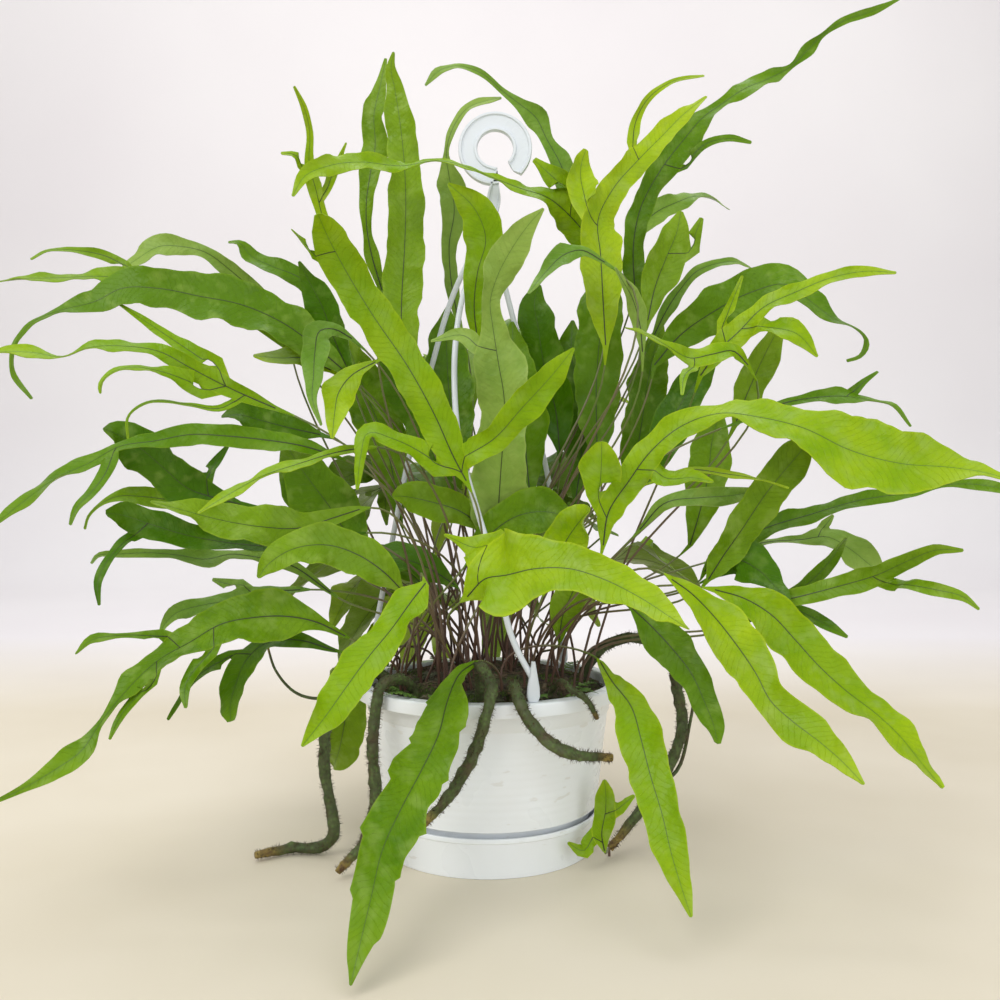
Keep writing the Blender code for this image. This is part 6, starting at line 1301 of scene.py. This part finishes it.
def chip_looks():
    """Bark chips and fibres on the soil."""
    looks = Looks("bark", 0.85)
    looks.colour(looks.layers(
        (0.035, 0.020, 0.010),
        (looks.spots(60.0, 3.0), (0.17, 0.12, 0.07)),
        (looks.spots(33.0, 1.0, -0.4, 0.7), (0.16, 0.19, 0.11)),
        (looks.spots(700.0, 3.0, 0.0, 0.5, (1, 0.2, 1)), (0.02, 0.012, 0.008))))
    looks.bump(looks.spots(600.0, 4.0), 0.4, 0.8)
    return looks.material


def patchy_looks(name, roughness, patches, dark, light, grain, depth, strength):
    """Two colours in soft patches with a fine grain; patches and grain are (scale, detail)."""
    looks = Looks(name, roughness)
    looks.colour(looks.layers(dark, (looks.spots(*patches), light)))
    looks.bump(looks.spots(*grain), depth, strength)
    return looks.material


def rhizome_looks():
    """Creeping rhizomes: grey-green skin with brown scales, brown and dry at the cut end."""
    looks = Looks("rhizome", 0.7)
    scales = looks.cells(330.0)
    dry = looks.layers((0.10, 0.05, 0.022), (looks.spots(240.0, 3.0), (0.36, 0.27, 0.06)))
    looks.colour(looks.layers(
        (0.040, 0.070, 0.013),
        (looks.spots(90.0, 4.0), (0.115, 0.175, 0.045)),
        (looks.between(scales, 0.2, 0.6, 0.0, 0.5), (0.05, 0.040, 0.022)),
        (looks.spots(55.0, 3.0, -1.3, 0.8), (0.085, 0.055, 0.028)),
        (looks.between(looks.note("blade", 1), 0.90, 0.96), dry)))
    looks.rough(looks.spots(200.0, 3.0, 0.55, 0.85))
    looks.bump(looks.math("SUBTRACT", 1.0, scales), 0.6, 0.8)
    return looks.material


def cove_looks(floor_end, wall_start):
    """Plain pale floor whose warm tone fades into the wall's."""
    looks = Looks("cove", 0.8)
    parts = looks.node("ShaderNodeSeparateXYZ")
    looks.put(looks.place, parts.inputs[0])
    rise = looks.math("MAXIMUM", parts.outputs[1], looks.math("ADD", parts.outputs[2], floor_end))
    floor = looks.layers((0.69, 0.62, 0.48), (looks.spots(3.0, 3.0), (0.77, 0.705, 0.575)))
    wall = looks.layers((0.83, 0.80, 0.81), (looks.spots(1.2, 2.0), (0.88, 0.86, 0.86)))
    looks.colour(looks.layers(floor, (looks.between(rise, floor_end, wall_start), wall)))
    looks.bump(looks.spots(60.0, 2.0), 0.3, 0.1)
    return looks.material


def mesh_of(name, points, faces, notes=None, kinds=None, sharp=50.0):
    """A smooth mesh with outward faces; edges over the sharp angle, in degrees, stay sharp."""
    mesh = bpy.data.meshes.new(name)
    mesh.from_pydata([tuple(point) for point in points], [], faces)
    if kinds:
        mesh.polygons.foreach_set("material_index", kinds)
    if notes:
        table = np.array(notes, dtype=np.float32)
        blade = mesh.attributes.new("blade", "FLOAT_VECTOR", "POINT")
        blade.data.foreach_set("vector", np.ascontiguousarray(table[:, :3]).ravel())
        for label, column in zip(("under", "depth", "tint"), table.T[3:]):
            mesh.attributes.new(label, "FLOAT", "POINT").data.foreach_set("value", column.copy())
    shape = bmesh.new()
    shape.from_mesh(mesh)
    bmesh.ops.recalc_face_normals(shape, faces=shape.faces)
    shape.to_mesh(mesh)
    shape.free()
    mesh.polygons.foreach_set("use_smooth", [True] * len(mesh.polygons))
    mesh.set_sharp_from_angle(angle=math.radians(sharp))
    return mesh


def piece(name, mesh, materials, node=None):
    """An object that rides on the part, and stands for a solid where one is named."""
    thing = bpy.data.objects.new(name, mesh)
    bpy.context.scene.collection.objects.link(thing)
    for material in materials:
        mesh.materials.append(material)
    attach(thing, "root")
    if node:
        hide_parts(node)


def merged(parts):
    """Several parts in one. A part is its points and its faces, and for some also their notes and kinds."""
    whole = [[] for column in parts[0]]
    for points, faces, *others in parts:
        start = len(whole[0])
        whole[0].extend(points)
        whole[1].extend(tuple(start + corner for corner in face) for face in faces)
        for column, more in zip(whole[2:], others):
            column.extend(more)
    return whole


def tube(count, size):
    """Faces of a tube of rings that is closed at both ends."""
    return bands(count, size) + [tuple(range(size)), tuple(range((count - 1) * size, count * size))]


def spike(foot, side, back, tip):
    """A tiny three-sided thorn."""
    return [foot + side, foot - side, foot + back, tip], [(0, 2, 3), (2, 1, 3), (1, 0, 3), (0, 1, 2)]


def dress_fronds():
    """Every group of fronds in fine detail, in place of its plain solid."""
    grouped = {name for group in SHARED_CROWNS for name in group}
    alone = [(name,) for name in (*SEEN_FRONDS, *REAR_FRONDS) if name not in grouped]
    blades = {tone: leaf_looks("frond_" + tone, *colours) for tone, colours in TONES.items()}
    stalk, vein = stalk_looks(), vein_looks()

    def dress(node, tone, lofts):
        parts = [(loft.points, loft.faces, [(*note, loft.tint) for note in loft.notes], loft.kinds)
                 for loft in lofts]
        mesh = mesh_of(node, *merged(parts))
        piece("fine_" + node, mesh, [blades[tone], stalk, vein], node)

    number = 0
    for group, place in plant(list(SHARED_CROWNS) + alone).items():
        lofts = []
        for k, name in enumerate(group):
            number += 1
            lofts.append(frond_loft(name, place, 2 * math.pi * k / len(group), PHASE_STEP * number))
            lofts[-1].tint = TINTS.get(name, math.sin(TINT_STEP * number))
        dress("frond_" + group[0], frond_of(group[0])[0], lofts)
    runner = frond_of("runner")
    ground = (RUNNER_ROOT[2] + RUNNER_RISE) * MM
    loft = grow_frond(runner, Vector(RUNNER_ROOT) * MM, ground, RUNNER_PHASE, (0, 0))
    dress("runner_frond", runner[0], [loft])


def turned(name, profile):
    """Mesh of a profile of (radius, height) turned round the axis, on which it starts and ends."""
    points = [Vector((0, 0, profile[0][1])) * MM]
    for radius, height in profile[1:-1]:
        for k in range(ROUND):
            points.append((heading_of(2 * math.pi * k / ROUND) * radius + Vector((0, 0, height))) * MM)
    points.append(Vector((0, 0, profile[-1][1])) * MM)
    last = len(points) - 1
    faces = [(0, 1 + k, 1 + (k + 1) % ROUND) for k in range(ROUND)] + bands(len(profile) - 2, ROUND, 1)
    faces += [(last - ROUND + k, last - ROUND + (k + 1) % ROUND, last) for k in range(ROUND)]
    return mesh_of(name, points, faces, sharp=38.0)


def rounded(corners, radius):
    """A profile whose inner corners are rounded."""
    made = [corners[0]]
    for before, corner, after in zip(corners, corners[1:], corners[2:]):
        here = Vector(corner)
        back = Vector(before) - here
        onward = Vector(after) - here
        cut = min(radius, back.length * ROUNDING_SHARE, onward.length * ROUNDING_SHARE)
        start = here + back.normalized() * cut
        end = here + onward.normalized() * cut
        for k in range(ROUNDING_STEPS + 1):
            u = k / ROUNDING_STEPS
            made.append(tuple(start * (1 - u) ** 2 + here * (2 * u * (1 - u)) + end * u * u))
    made.append(corners[-1])
    return made


def ribbed(low, high):
    """Points between two corners of the pot's wall with shallow moulded rings, pushed inwards only."""
    span = Vector(high) - Vector(low)
    count = round(span.length / RIB_PITCH) * RIB_STEPS
    inwards = Vector((-span.y, span.x)).normalized()
    if inwards.x > 0:
        inwards = -inwards
    made = []
    for k in range(1, count):
        u = k / count
        fade = min(1.0, 6 * u, 6 * (1 - u))
        push = RIB_HEIGHT * fade * (0.5 - 0.5 * math.cos(2 * math.pi * k / RIB_STEPS))
        made.append(tuple(Vector(low) + span * u + inwards * push))
    return made


def dress_pot():
    """White pot with a rolled rim and faint rings, in its clip-on saucer."""
    white = plastic_looks("white_plastic", *POT_WHITE)
    share = (RIM_TOP - COLLAR_DEPTH - BODY_LOW) / (RIM_TOP - BODY_LOW)
    collar = BODY_LOW_RADIUS + (BODY_TOP_RADIUS - BODY_LOW_RADIUS) * share
    inside = [(0, FLOOR_TOP), (FLOOR_RADIUS, FLOOR_TOP), (FOOT_RADIUS - WALL, BODY_LOW - LEDGE),
              (BODY_LOW_RADIUS - WALL, BODY_LOW + LEDGE), (BODY_TOP_RADIUS - WALL, RIM_TOP - RIM_BEND),
              (RIM_INNER, RIM_TOP), (RIM_RADIUS, RIM_TOP), (RIM_RADIUS, RIM_TOP - RIM_SKIRT),
              (RIM_RADIUS - RIM_LIP, RIM_TOP - RIM_SKIRT), (RIM_RADIUS - RIM_THICK, RIM_TOP - RIM_ROOF),
              (BODY_TOP_RADIUS, RIM_TOP - RIM_ROOF)]
    outside = [(BODY_LOW_RADIUS, BODY_LOW), (FOOT_RADIUS, BODY_LOW - LEDGE), (FOOT_LOW_RADIUS, FLOOR_UNDER),
               (0, FLOOR_UNDER)]
    band = [(BODY_TOP_RADIUS + COLLAR_THICK, RIM_TOP - RIM_BEND),
            (collar + COLLAR_THICK, RIM_TOP - COLLAR_DEPTH), (collar, RIM_TOP - COLLAR_DEPTH - COLLAR_THICK)]
    wall = band + ribbed(band[-1], (BODY_LOW_RADIUS, BODY_LOW + 1.0))
    profile = rounded(inside, RIM_ROUNDING)[:-1] + wall + rounded(outside, FOOT_ROUNDING)
    piece("fine_pot", turned("pot", profile), [white], "pot")
    dish = [(0, SAUCER_FLOOR), (FOOT_RADIUS + SAUCER_PLAY, SAUCER_FLOOR),
            (SAUCER_TOP_RADIUS - SAUCER_WALL, SAUCER_HEIGHT), (SAUCER_TOP_RADIUS, SAUCER_HEIGHT)]
    dish += [(SAUCER_TOP_RADIUS + out, SAUCER_HEIGHT + up) for out, up in SAUCER_BEAD]
    dish += [(SAUCER_LOW_RADIUS, 0), (0, 0)]
    saucer = turned("saucer", rounded(dish, SAUCER_ROUNDING))
    piece("fine_saucer", saucer, [white], "saucer")


def hook_parts():
    """The flat hook: a web with a raised rim on both edges, from its rounded tip to the shank's foot."""
    middle = (HOOK_OUTER + HOOK_INNER) / 2
    half = (HOOK_OUTER - HOOK_INNER) / 2
    centre = Vector((HOOK_ACROSS, 0, HOOK_HEIGHT))
    spine = []
    for k in range(HOOK_STEPS + 1):
        turn = math.radians(HOOK_TIP_ANGLE + (HOOK_SHANK_ANGLE - HOOK_TIP_ANGLE) * k / HOOK_STEPS)
        out = Vector((math.cos(turn), 0, math.sin(turn)))
        spine.append(((centre + out * middle) * MM, out))
    foot = Vector((HOOK_FOOT_ACROSS, 0, HOOK_HEIGHT - SHANK_LENGTH)) * MM
    last, out = spine[-1]
    ahead = (foot - last).normalized()
    across = Vector((-ahead.z, 0, ahead.x))
    across = across if across.dot(out) > 0 else -across
    for k in range(1, SHANK_STEPS + 1):
        u = k / SHANK_STEPS
        spine.append((last.lerp(foot, u), out.lerp(across, min(1.0, 2 * u)).normalized()))
    points = []
    for k, (place, side) in enumerate(spine):
        share = k / (len(spine) - 1)
        end = min(1.0, math.sqrt(share * HOOK_TIP_GROWTH) + HOOK_TIP_WIDTH)
        wide = half * end * (1 - HOOK_NARROWING * max(0.0, (share - HOOK_NECK) / (1 - HOOK_NECK)))
        rim = HOOK_RIM * min(1.0, end + 0.2)
        upper = [(-1.0, HOOK_BEVEL[1] * rim), (-HOOK_BEVEL[0], rim), (HOOK_LIP - 1, rim),
                 (HOOK_LIP * HOOK_WEB_START - 1, HOOK_WEB)]
        upper += [(-aside, thick) for aside, thick in reversed(upper)]
        for aside, thick in upper + [(aside, -thick) for aside, thick in reversed(upper)]:
            points.append(place + side * (aside * wide * MM) + Vector((0, thick * MM, 0)))
    return points, tube(len(spine), 2 * len(upper))


def rod_parts(places, radius_of, sides):
    """Points, faces and notes of a round rod through places in metres, closed at both ends."""
    points, marks = [], []
    side = Vector((1, 0, 0))
    count = len(places)
    for k, place in enumerate(places):
        ahead = (places[min(k + 1, count - 1)] - places[max(k - 1, 0)]).normalized()
        side = side - ahead * side.dot(ahead)
        if side.length < 0.1:
            side = Vector((0, 1, 0)) - ahead * ahead.y
        side.normalize()
        up = ahead.cross(side)
        for n in range(sides):
            turn = 2 * math.pi * n / sides
            radius = radius_of(k / (count - 1), turn) * MM
            points.append(place + (side * math.cos(turn) + up * math.sin(turn)) * radius)
            marks.append((0.0, k / (count - 1), 0.0, 0.0, 0.0))
    return points, tube(count, sides), marks


def block_parts(centre, across, back, up, half):
    """A small bevelled block from its centre, three directions and three half sizes in millimetres."""
    shape = bmesh.new()
    bmesh.ops.create_cube(shape, size=2.0)
    bmesh.ops.scale(shape, vec=Vector(half) * MM, verts=shape.verts)
    bmesh.ops.bevel(shape, geom=list(shape.edges), offset=CHIP_BEVEL * MM, segments=2, affect="EDGES")
    turn = Matrix((across, back, up)).transposed()
    points = [centre + turn @ vert.co for vert in shape.verts]
    shape.verts.index_update()
    faces = [tuple(vert.index for vert in face.verts) for face in shape.faces]
    shape.free()
    return points, faces


def clip_parts(turn):
    """A flat pointed clip that stands on the rim and narrows into its strand, thicker down its middle."""
    out = heading_of(turn)
    along = Vector((-out.y, out.x, 0))
    foot = out * (CLIP_CIRCLE * MM) + Vector((0, 0, RIM_TOP * MM))
    points = []
    for k in range(CLIP_STEPS + 1):
        share = k / CLIP_STEPS
        half = read(CLIP_WIDTHS, share)
        thick = read(CLIP_THICKS, share)
        for n in range(CLIP_SIDES):
            angle = 2 * math.pi * n / CLIP_SIDES
            across = half * math.copysign(abs(math.cos(angle)) ** CLIP_ROUNDING, math.cos(angle))
            back = thick * math.copysign(abs(math.sin(angle)) ** CLIP_ROUNDING, math.sin(angle))
            place = foot + along * (across * MM) + out * (back * MM)
            points.append(place + Vector((0, 0, (GAP + share * CLIP_HEIGHT) * MM)))
    return points, tube(CLIP_STEPS + 1, CLIP_SIDES)


def strand_radius(share, turn):
    """A strand is a little flattened all along."""
    return STRAND_RADIUS * (1 + STRAND_FLATNESS * math.cos(2 * turn))


def dress_hanger():
    """White hook with its three strands, each ending in a clip on the rim."""
    parts = [hook_parts()]
    for strand in STRANDS:
        route = Route([(x * MM, y * MM, z * MM, 0.0) for x, z, y in strand])
        path = [route.place(route.length * k / STRAND_STEPS) for k in range(STRAND_STEPS + 1)]
        rod = rod_parts(path, strand_radius, STRAND_SIDES)
        parts += [rod[:2], clip_parts(math.atan2(path[-1].y, path[-1].x))]
    mesh = mesh_of("hanger", *merged(parts), sharp=45.0)
    # the hanger's white holds painted shade: it is greyer and bluer than the pot's same plastic
    piece("fine_hanger", mesh, [plastic_looks("strap", *HANGER_SHADED_WHITE)], "hanger")


def lumpy(x, y):
    """Height of the crumbly soil surface, in millimetres."""
    place = Vector((x, y, 0)) / SOIL_LUMP
    rough = sum(noise.noise(place * fineness) * height for fineness, height in SOIL_LUMPS)
    return soil_height(math.hypot(x, y)) + rough


def dress_soil():
    """Crumbly soil that fills the pot."""
    reach = SOIL_TOP[-1][0]
    points = [(0, 0, lumpy(0, 0) * MM)]
    circle = [2 * math.pi * k / SOIL_TURNS for k in range(SOIL_TURNS)]
    for i in range(1, SOIL_RINGS + 1):
        radius = reach * i / SOIL_RINGS
        for turn in circle:
            x, y = radius * math.cos(turn), radius * math.sin(turn)
            height = lumpy(x, y) if i < SOIL_RINGS else soil_height(radius) - 1.0
            points.append((x * MM, y * MM, height * MM))
    lower = ((BODY_LOW_RADIUS, BODY_LOW + LEDGE), (FOOT_RADIUS, BODY_LOW - LEDGE),
             (FLOOR_RADIUS + WALL, FLOOR_TOP + GAP))
    for radius, height in lower:
        radius -= WALL + SOIL_GAP
        for turn in circle:
            points.append((radius * MM * math.cos(turn), radius * MM * math.sin(turn), height * MM))
    faces = [(0, 1 + k, 1 + (k + 1) % SOIL_TURNS) for k in range(SOIL_TURNS)]
    faces += bands(SOIL_RINGS + len(lower), SOIL_TURNS, 1)
    faces.append(tuple(range(len(points) - SOIL_TURNS, len(points))))
    piece("fine_soil", mesh_of("soil", points, faces, sharp=80.0), [soil_looks()], "soil")


def scattered(draw, count, reach):
    """Random places on the soil, (x, y) in millimetres."""
    places = []
    while len(places) < count:
        x, y = draw.uniform(-reach, reach), draw.uniform(-reach, reach)
        if math.hypot(x, y) < reach:
            places.append((x, y))
    return places


def dress_chips():
    """Bark chips and dead fibres that lie on the soil."""
    draw = random.Random(7)
    parts = []
    for x, y in scattered(draw, CHIPS, LITTER_REACH):
        turn = draw.uniform(0, math.pi)
        lean = [draw.uniform(-CHIP_TILT, CHIP_TILT) for part in range(2)]
        tilt = Vector((*lean, 1.0)).normalized()
        along = heading_of(turn)
        along = (along - tilt * along.dot(tilt)).normalized()
        half = [draw.uniform(*sizes) for sizes in CHIP_HALVES]
        centre = Vector((x, y, lumpy(x, y) + CHIP_LIFT)) * MM
        parts.append(block_parts(centre, along, tilt.cross(along), tilt, half))
    for x, y in scattered(draw, FIBRES, LITTER_REACH - 4.0):
        turn = draw.uniform(0, 2 * math.pi)
        length = draw.uniform(*FIBRE_LENGTHS)
        path = []
        for k in range(FIBRE_STEPS + 1):
            u = k / FIBRE_STEPS - 0.5
            px = x + length * u * math.cos(turn) + FIBRE_BEND * math.sin(5 * u + turn)
            py = y + length * u * math.sin(turn) + FIBRE_BEND * math.cos(4 * u)
            shrink = min(1.0, LITTER_REACH / max(math.hypot(px, py), 1.0))
            px, py = px * shrink, py * shrink
            lift = FIBRE_LIFT[0] + FIBRE_LIFT[1] * math.cos(math.pi * u)
            path.append(Vector((px, py, lumpy(px, py) + lift)) * MM)
        parts.append(rod_parts(path, lambda share, turn: FIBRE_RADIUS, 4)[:2])
    mesh = mesh_of("bark_chips", *merged(parts), sharp=40.0)
    piece("bark_chips", mesh, [chip_looks()])


def dress_moss():
    """Moss cushions: low domes set with tiny blades."""
    draw = random.Random(11)
    parts = []
    for x, y in scattered(draw, CUSHIONS, LITTER_REACH - 2.0):
        size = draw.uniform(*CUSHION_SIZES)
        for n in range(int(size * size * MOSS_DENSITY)):
            turn = draw.uniform(0, 2 * math.pi)
            away = size * math.sqrt(draw.random())
            px, py = x + away * math.cos(turn), y + away * math.sin(turn)
            if math.hypot(px, py) > LITTER_REACH + 1.0:
                continue
            rise = CUSHION_HEIGHT * (1 - (away / size) ** 2) + draw.uniform(*MOSS_BLADES)
            foot = Vector((px, py, lumpy(px, py) - MOSS_SUNK)) * MM
            lean = [draw.uniform(-MOSS_LEAN, MOSS_LEAN) for part in range(2)]
            lean = Vector((*lean, rise)) * MM
            side = heading_of(turn * 3) * (MOSS_HALF * MM)
            parts.append(spike(foot, side, Vector((-side.y, side.x, 0)), foot + lean))
    piece("moss", mesh_of("moss", *merged(parts)), [patchy_looks("moss", *MOSS_LOOK)])


def leaflet(start, tip, out, up):
    """A small flat leaflet with six corners."""
    corners = [start, start + tip * 0.35 + out, start + tip * 0.8 + out * 0.7, start + tip,
               start + tip * 0.8 - out * 0.6, start + tip * 0.35 - out]
    return [corner + up for corner in corners] + [corner - up for corner in corners], tube(2, 6)


def dress_seedlings():
    """Small feathered leaves of young ferns that have come up in the soil."""
    draw = random.Random(23)
    parts = []
    for x, y, turn, length in SEEDLINGS:
        out = heading_of(math.radians(turn))
        aside = Vector((-out.y, out.x, 0))
        foot = Vector((x, y, lumpy(x, y) - 1.0))
        spine = []
        for k in range(SEEDLING_PAIRS + 1):
            share = k / SEEDLING_PAIRS
            rise = length * (SEEDLING_RISE * share - SEEDLING_DROOP * share * share)
            spine.append((foot + out * (length * share) + Vector((0, 0, rise + SEEDLING_FOOT))) * MM)
        parts.append(rod_parts(spine, lambda share, around: SEEDLING_RADIUS * (1 - 0.7 * share), 5)[:2])
        for k in range(1, SEEDLING_PAIRS):
            share = k / SEEDLING_PAIRS
            size = length * LEAFLET_LENGTH * math.sin(math.pi * min(1.0, 0.25 + 0.8 * share)) * MM
            for side in (-1, 1):
                tip = aside * (side * size) + out * (size * LEAFLET_LEAN)
                tip = tip + Vector((0, 0, draw.uniform(*LEAFLET_LIFTS) * size))
                half = Vector((0, 0, LEAFLET_HALF * MM))
                parts.append(leaflet(spine[k], tip, out * (size * LEAFLET_WIDTH), half))
    mesh = mesh_of("seedlings", *merged(parts))
    piece("seedlings", mesh, [patchy_looks("seedling", *SEEDLING_LOOK)])


def even_path(places):
    """Places in metres at even steps along a smooth curve."""
    route = Route([(x * MM, y * MM, z * MM, 0.0) for x, y, z in places])
    count = max(2, round(route.length / (RUNNER_STEP * MM)))
    return [route.place(route.length * k / count) for k in range(count + 1)]


def knobbly(radius, reach, seed, buds):
    """How thick a rhizome is at a share of its length and a turn round it, with buds and a finer end."""
    def thickness(share, turn):
        spot = Vector((math.cos(turn) * 1.3, math.sin(turn) * 1.3, share * 34 + seed))
        bulge = 0.10 * math.sin(share * 40 + seed)
        end = RHIZOME_SLIM * read(RHIZOME_WIDTHS, share)
        for at, side in buds:
            along = (share - at) * reach / BUD_LENGTH
            around = math.sin((turn - side) / 2) * BUD_ROUNDNESS
            bulge += BUD_HEIGHT * math.exp(-along ** 2 - around ** 2)
        rough = 0.30 * noise.noise(spot) + 0.16 * noise.noise(spot * 3.3)
        return radius * end * (0.98 + bulge * 0.5 + rough)

    return thickness


def bristles(draw, path, radius):
    """Short dark scales and hairs that stand off a rhizome."""
    parts = []
    length = len(path)
    for n in range(length * BRISTLES):
        at = draw.uniform(2, length - 1.2)
        k = int(at)
        centre = path[k].lerp(path[k + 1], at - k)
        ahead = (path[k + 1] - path[k]).normalized()
        side = ahead.cross(Vector((0.3, 0.5, 0.8))).normalized()
        up = ahead.cross(side)
        turn = draw.uniform(0, 2 * math.pi)
        out = side * math.cos(turn) + up * math.sin(turn)
        aside = ahead.cross(out)
        taper = RHIZOME_SLIM * read(BRISTLE_WIDTHS, at / length)
        foot = centre + out * (radius * BRISTLE_FOOT * taper * MM)
        lean = out * draw.uniform(*BRISTLE_OUT) + ahead * draw.uniform(*BRISTLE_AHEAD)
        lean = lean + aside * draw.uniform(*BRISTLE_ASIDE)
        thick = draw.uniform(*BRISTLE_HALVES) * MM
        thorn = spike(foot, aside * thick, ahead * (thick * 1.6), foot + lean * MM)
        parts.append((*thorn, [(0.0, at / length, 0.0, 0.0, 0.0)] * 4, [1] * 4))
    return parts


def dress_rhizomes():
    """Creeping rhizomes with a scaly skin, short bristles and a dry cut end."""
    skin, hair = rhizome_looks(), patchy_looks("bristle", *BRISTLE_LOOK)
    draw = random.Random(5)
    for name, (radius, places, shoots) in RHIZOMES.items():
        x, y, z = places[0]
        ground = soil_height(math.hypot(x, y))
        path = [Vector((x, y, ground - PLANTING_DEPTH)) * MM]
        path += even_path(((x, y, ground + RHIZOME_LIFT),) + places[1:])
        seed = draw.uniform(0, 50)
        buds = [(draw.uniform(*BUD_SHARES), draw.uniform(0, 2 * math.pi))
                for k in range(len(path) // BUD_EVERY)]
        rods = [rod_parts(path, knobbly(radius, len(path), seed, buds), RHIZOME_SIDES)]
        for thin, route in shoots:
            rods.append(rod_parts(even_path(route), lambda share, turn: thin * (1 - SHOOT_TAPER * share),
                                  SHOOT_SIDES))
        parts = [(*rod, [0] * len(rod[1])) for rod in rods]
        points, faces, notes, kinds = merged(parts + bristles(draw, path, radius))
        points = [Vector((point.x, point.y, max(point.z, FLOOR_CLEAR * MM))) for point in points]
        mesh = mesh_of(name, points, faces, notes, kinds, sharp=60.0)
        piece("fine_" + name, mesh, [skin, hair], name)


def dress_stage():
    """Plain pale floor that runs up into a pale wall."""
    line = [(-STAGE_HALF, 0.0), (STAGE_BEND_START, 0.0)]
    for k in range(1, STAGE_STEPS + 1):
        turn = math.pi / 2 * k / STAGE_STEPS
        line.append((STAGE_BEND_START + STAGE_BEND * math.sin(turn), STAGE_BEND * (1 - math.cos(turn))))
    line.append((STAGE_BEND_START + STAGE_BEND, STAGE_HEIGHT))
    points = [(x, y, z) for y, z in line for x in (-STAGE_HALF, STAGE_HALF)]
    faces = [(2 * k, 2 * k + 1, 2 * k + 3, 2 * k + 2) for k in range(len(line) - 1)]
    mesh = mesh_of("cove", points, faces, sharp=60.0)
    cove = bpy.data.objects.new("cove", mesh)
    bpy.context.scene.collection.objects.link(cove)
    mesh.materials.append(cove_looks(FLOOR_END, WALL_START))


def light_up():
    """Soft light from the upper left and front, with a bright even surround."""
    world = bpy.data.worlds.new("studio")
    bpy.context.scene.world = world
    world.use_nodes = True
    back = world.node_tree.nodes["Background"]
    back.inputs["Color"].default_value = (0.97, 0.98, 1.0, 1.0)
    back.inputs["Strength"].default_value = 0.50
    bpy.context.scene.view_settings.view_transform = "Standard"
    for name, place, aim, size, power, colour in LAMPS:
        lamp = bpy.data.lights.new(name, "AREA")
        lamp.shape = "RECTANGLE"
        lamp.size, lamp.size_y = size
        lamp.energy = power
        lamp.color = colour
        thing = bpy.data.objects.new(name, lamp)
        thing.location = place
        thing.rotation_euler = (Vector(aim) - Vector(place)).to_track_quat("-Z", "Y").to_euler()
        bpy.context.scene.collection.objects.link(thing)


def add_camera():
    """The camera that took the photograph, as far as its picture tells."""
    lens = bpy.data.cameras.new("camera")
    lens.sensor_width = 36.0
    lens.lens = 36.0
    lens.shift_y = -0.0035
    lens.clip_start = 0.01
    lens.clip_end = 30.0
    thing = bpy.data.objects.new("camera", lens)
    thing.location = (0.0087, -0.76, 0.261)
    thing.rotation_euler = (math.pi / 2, 0.0, 0.0)
    bpy.context.scene.collection.objects.link(thing)
    bpy.context.scene.camera = thing


def main():
    add_camera()
    dress_pot()
    dress_hanger()
    dress_fronds()
    dress_soil()
    dress_chips()
    dress_moss()
    dress_seedlings()
    dress_rhizomes()
    dress_stage()
    light_up()


main()
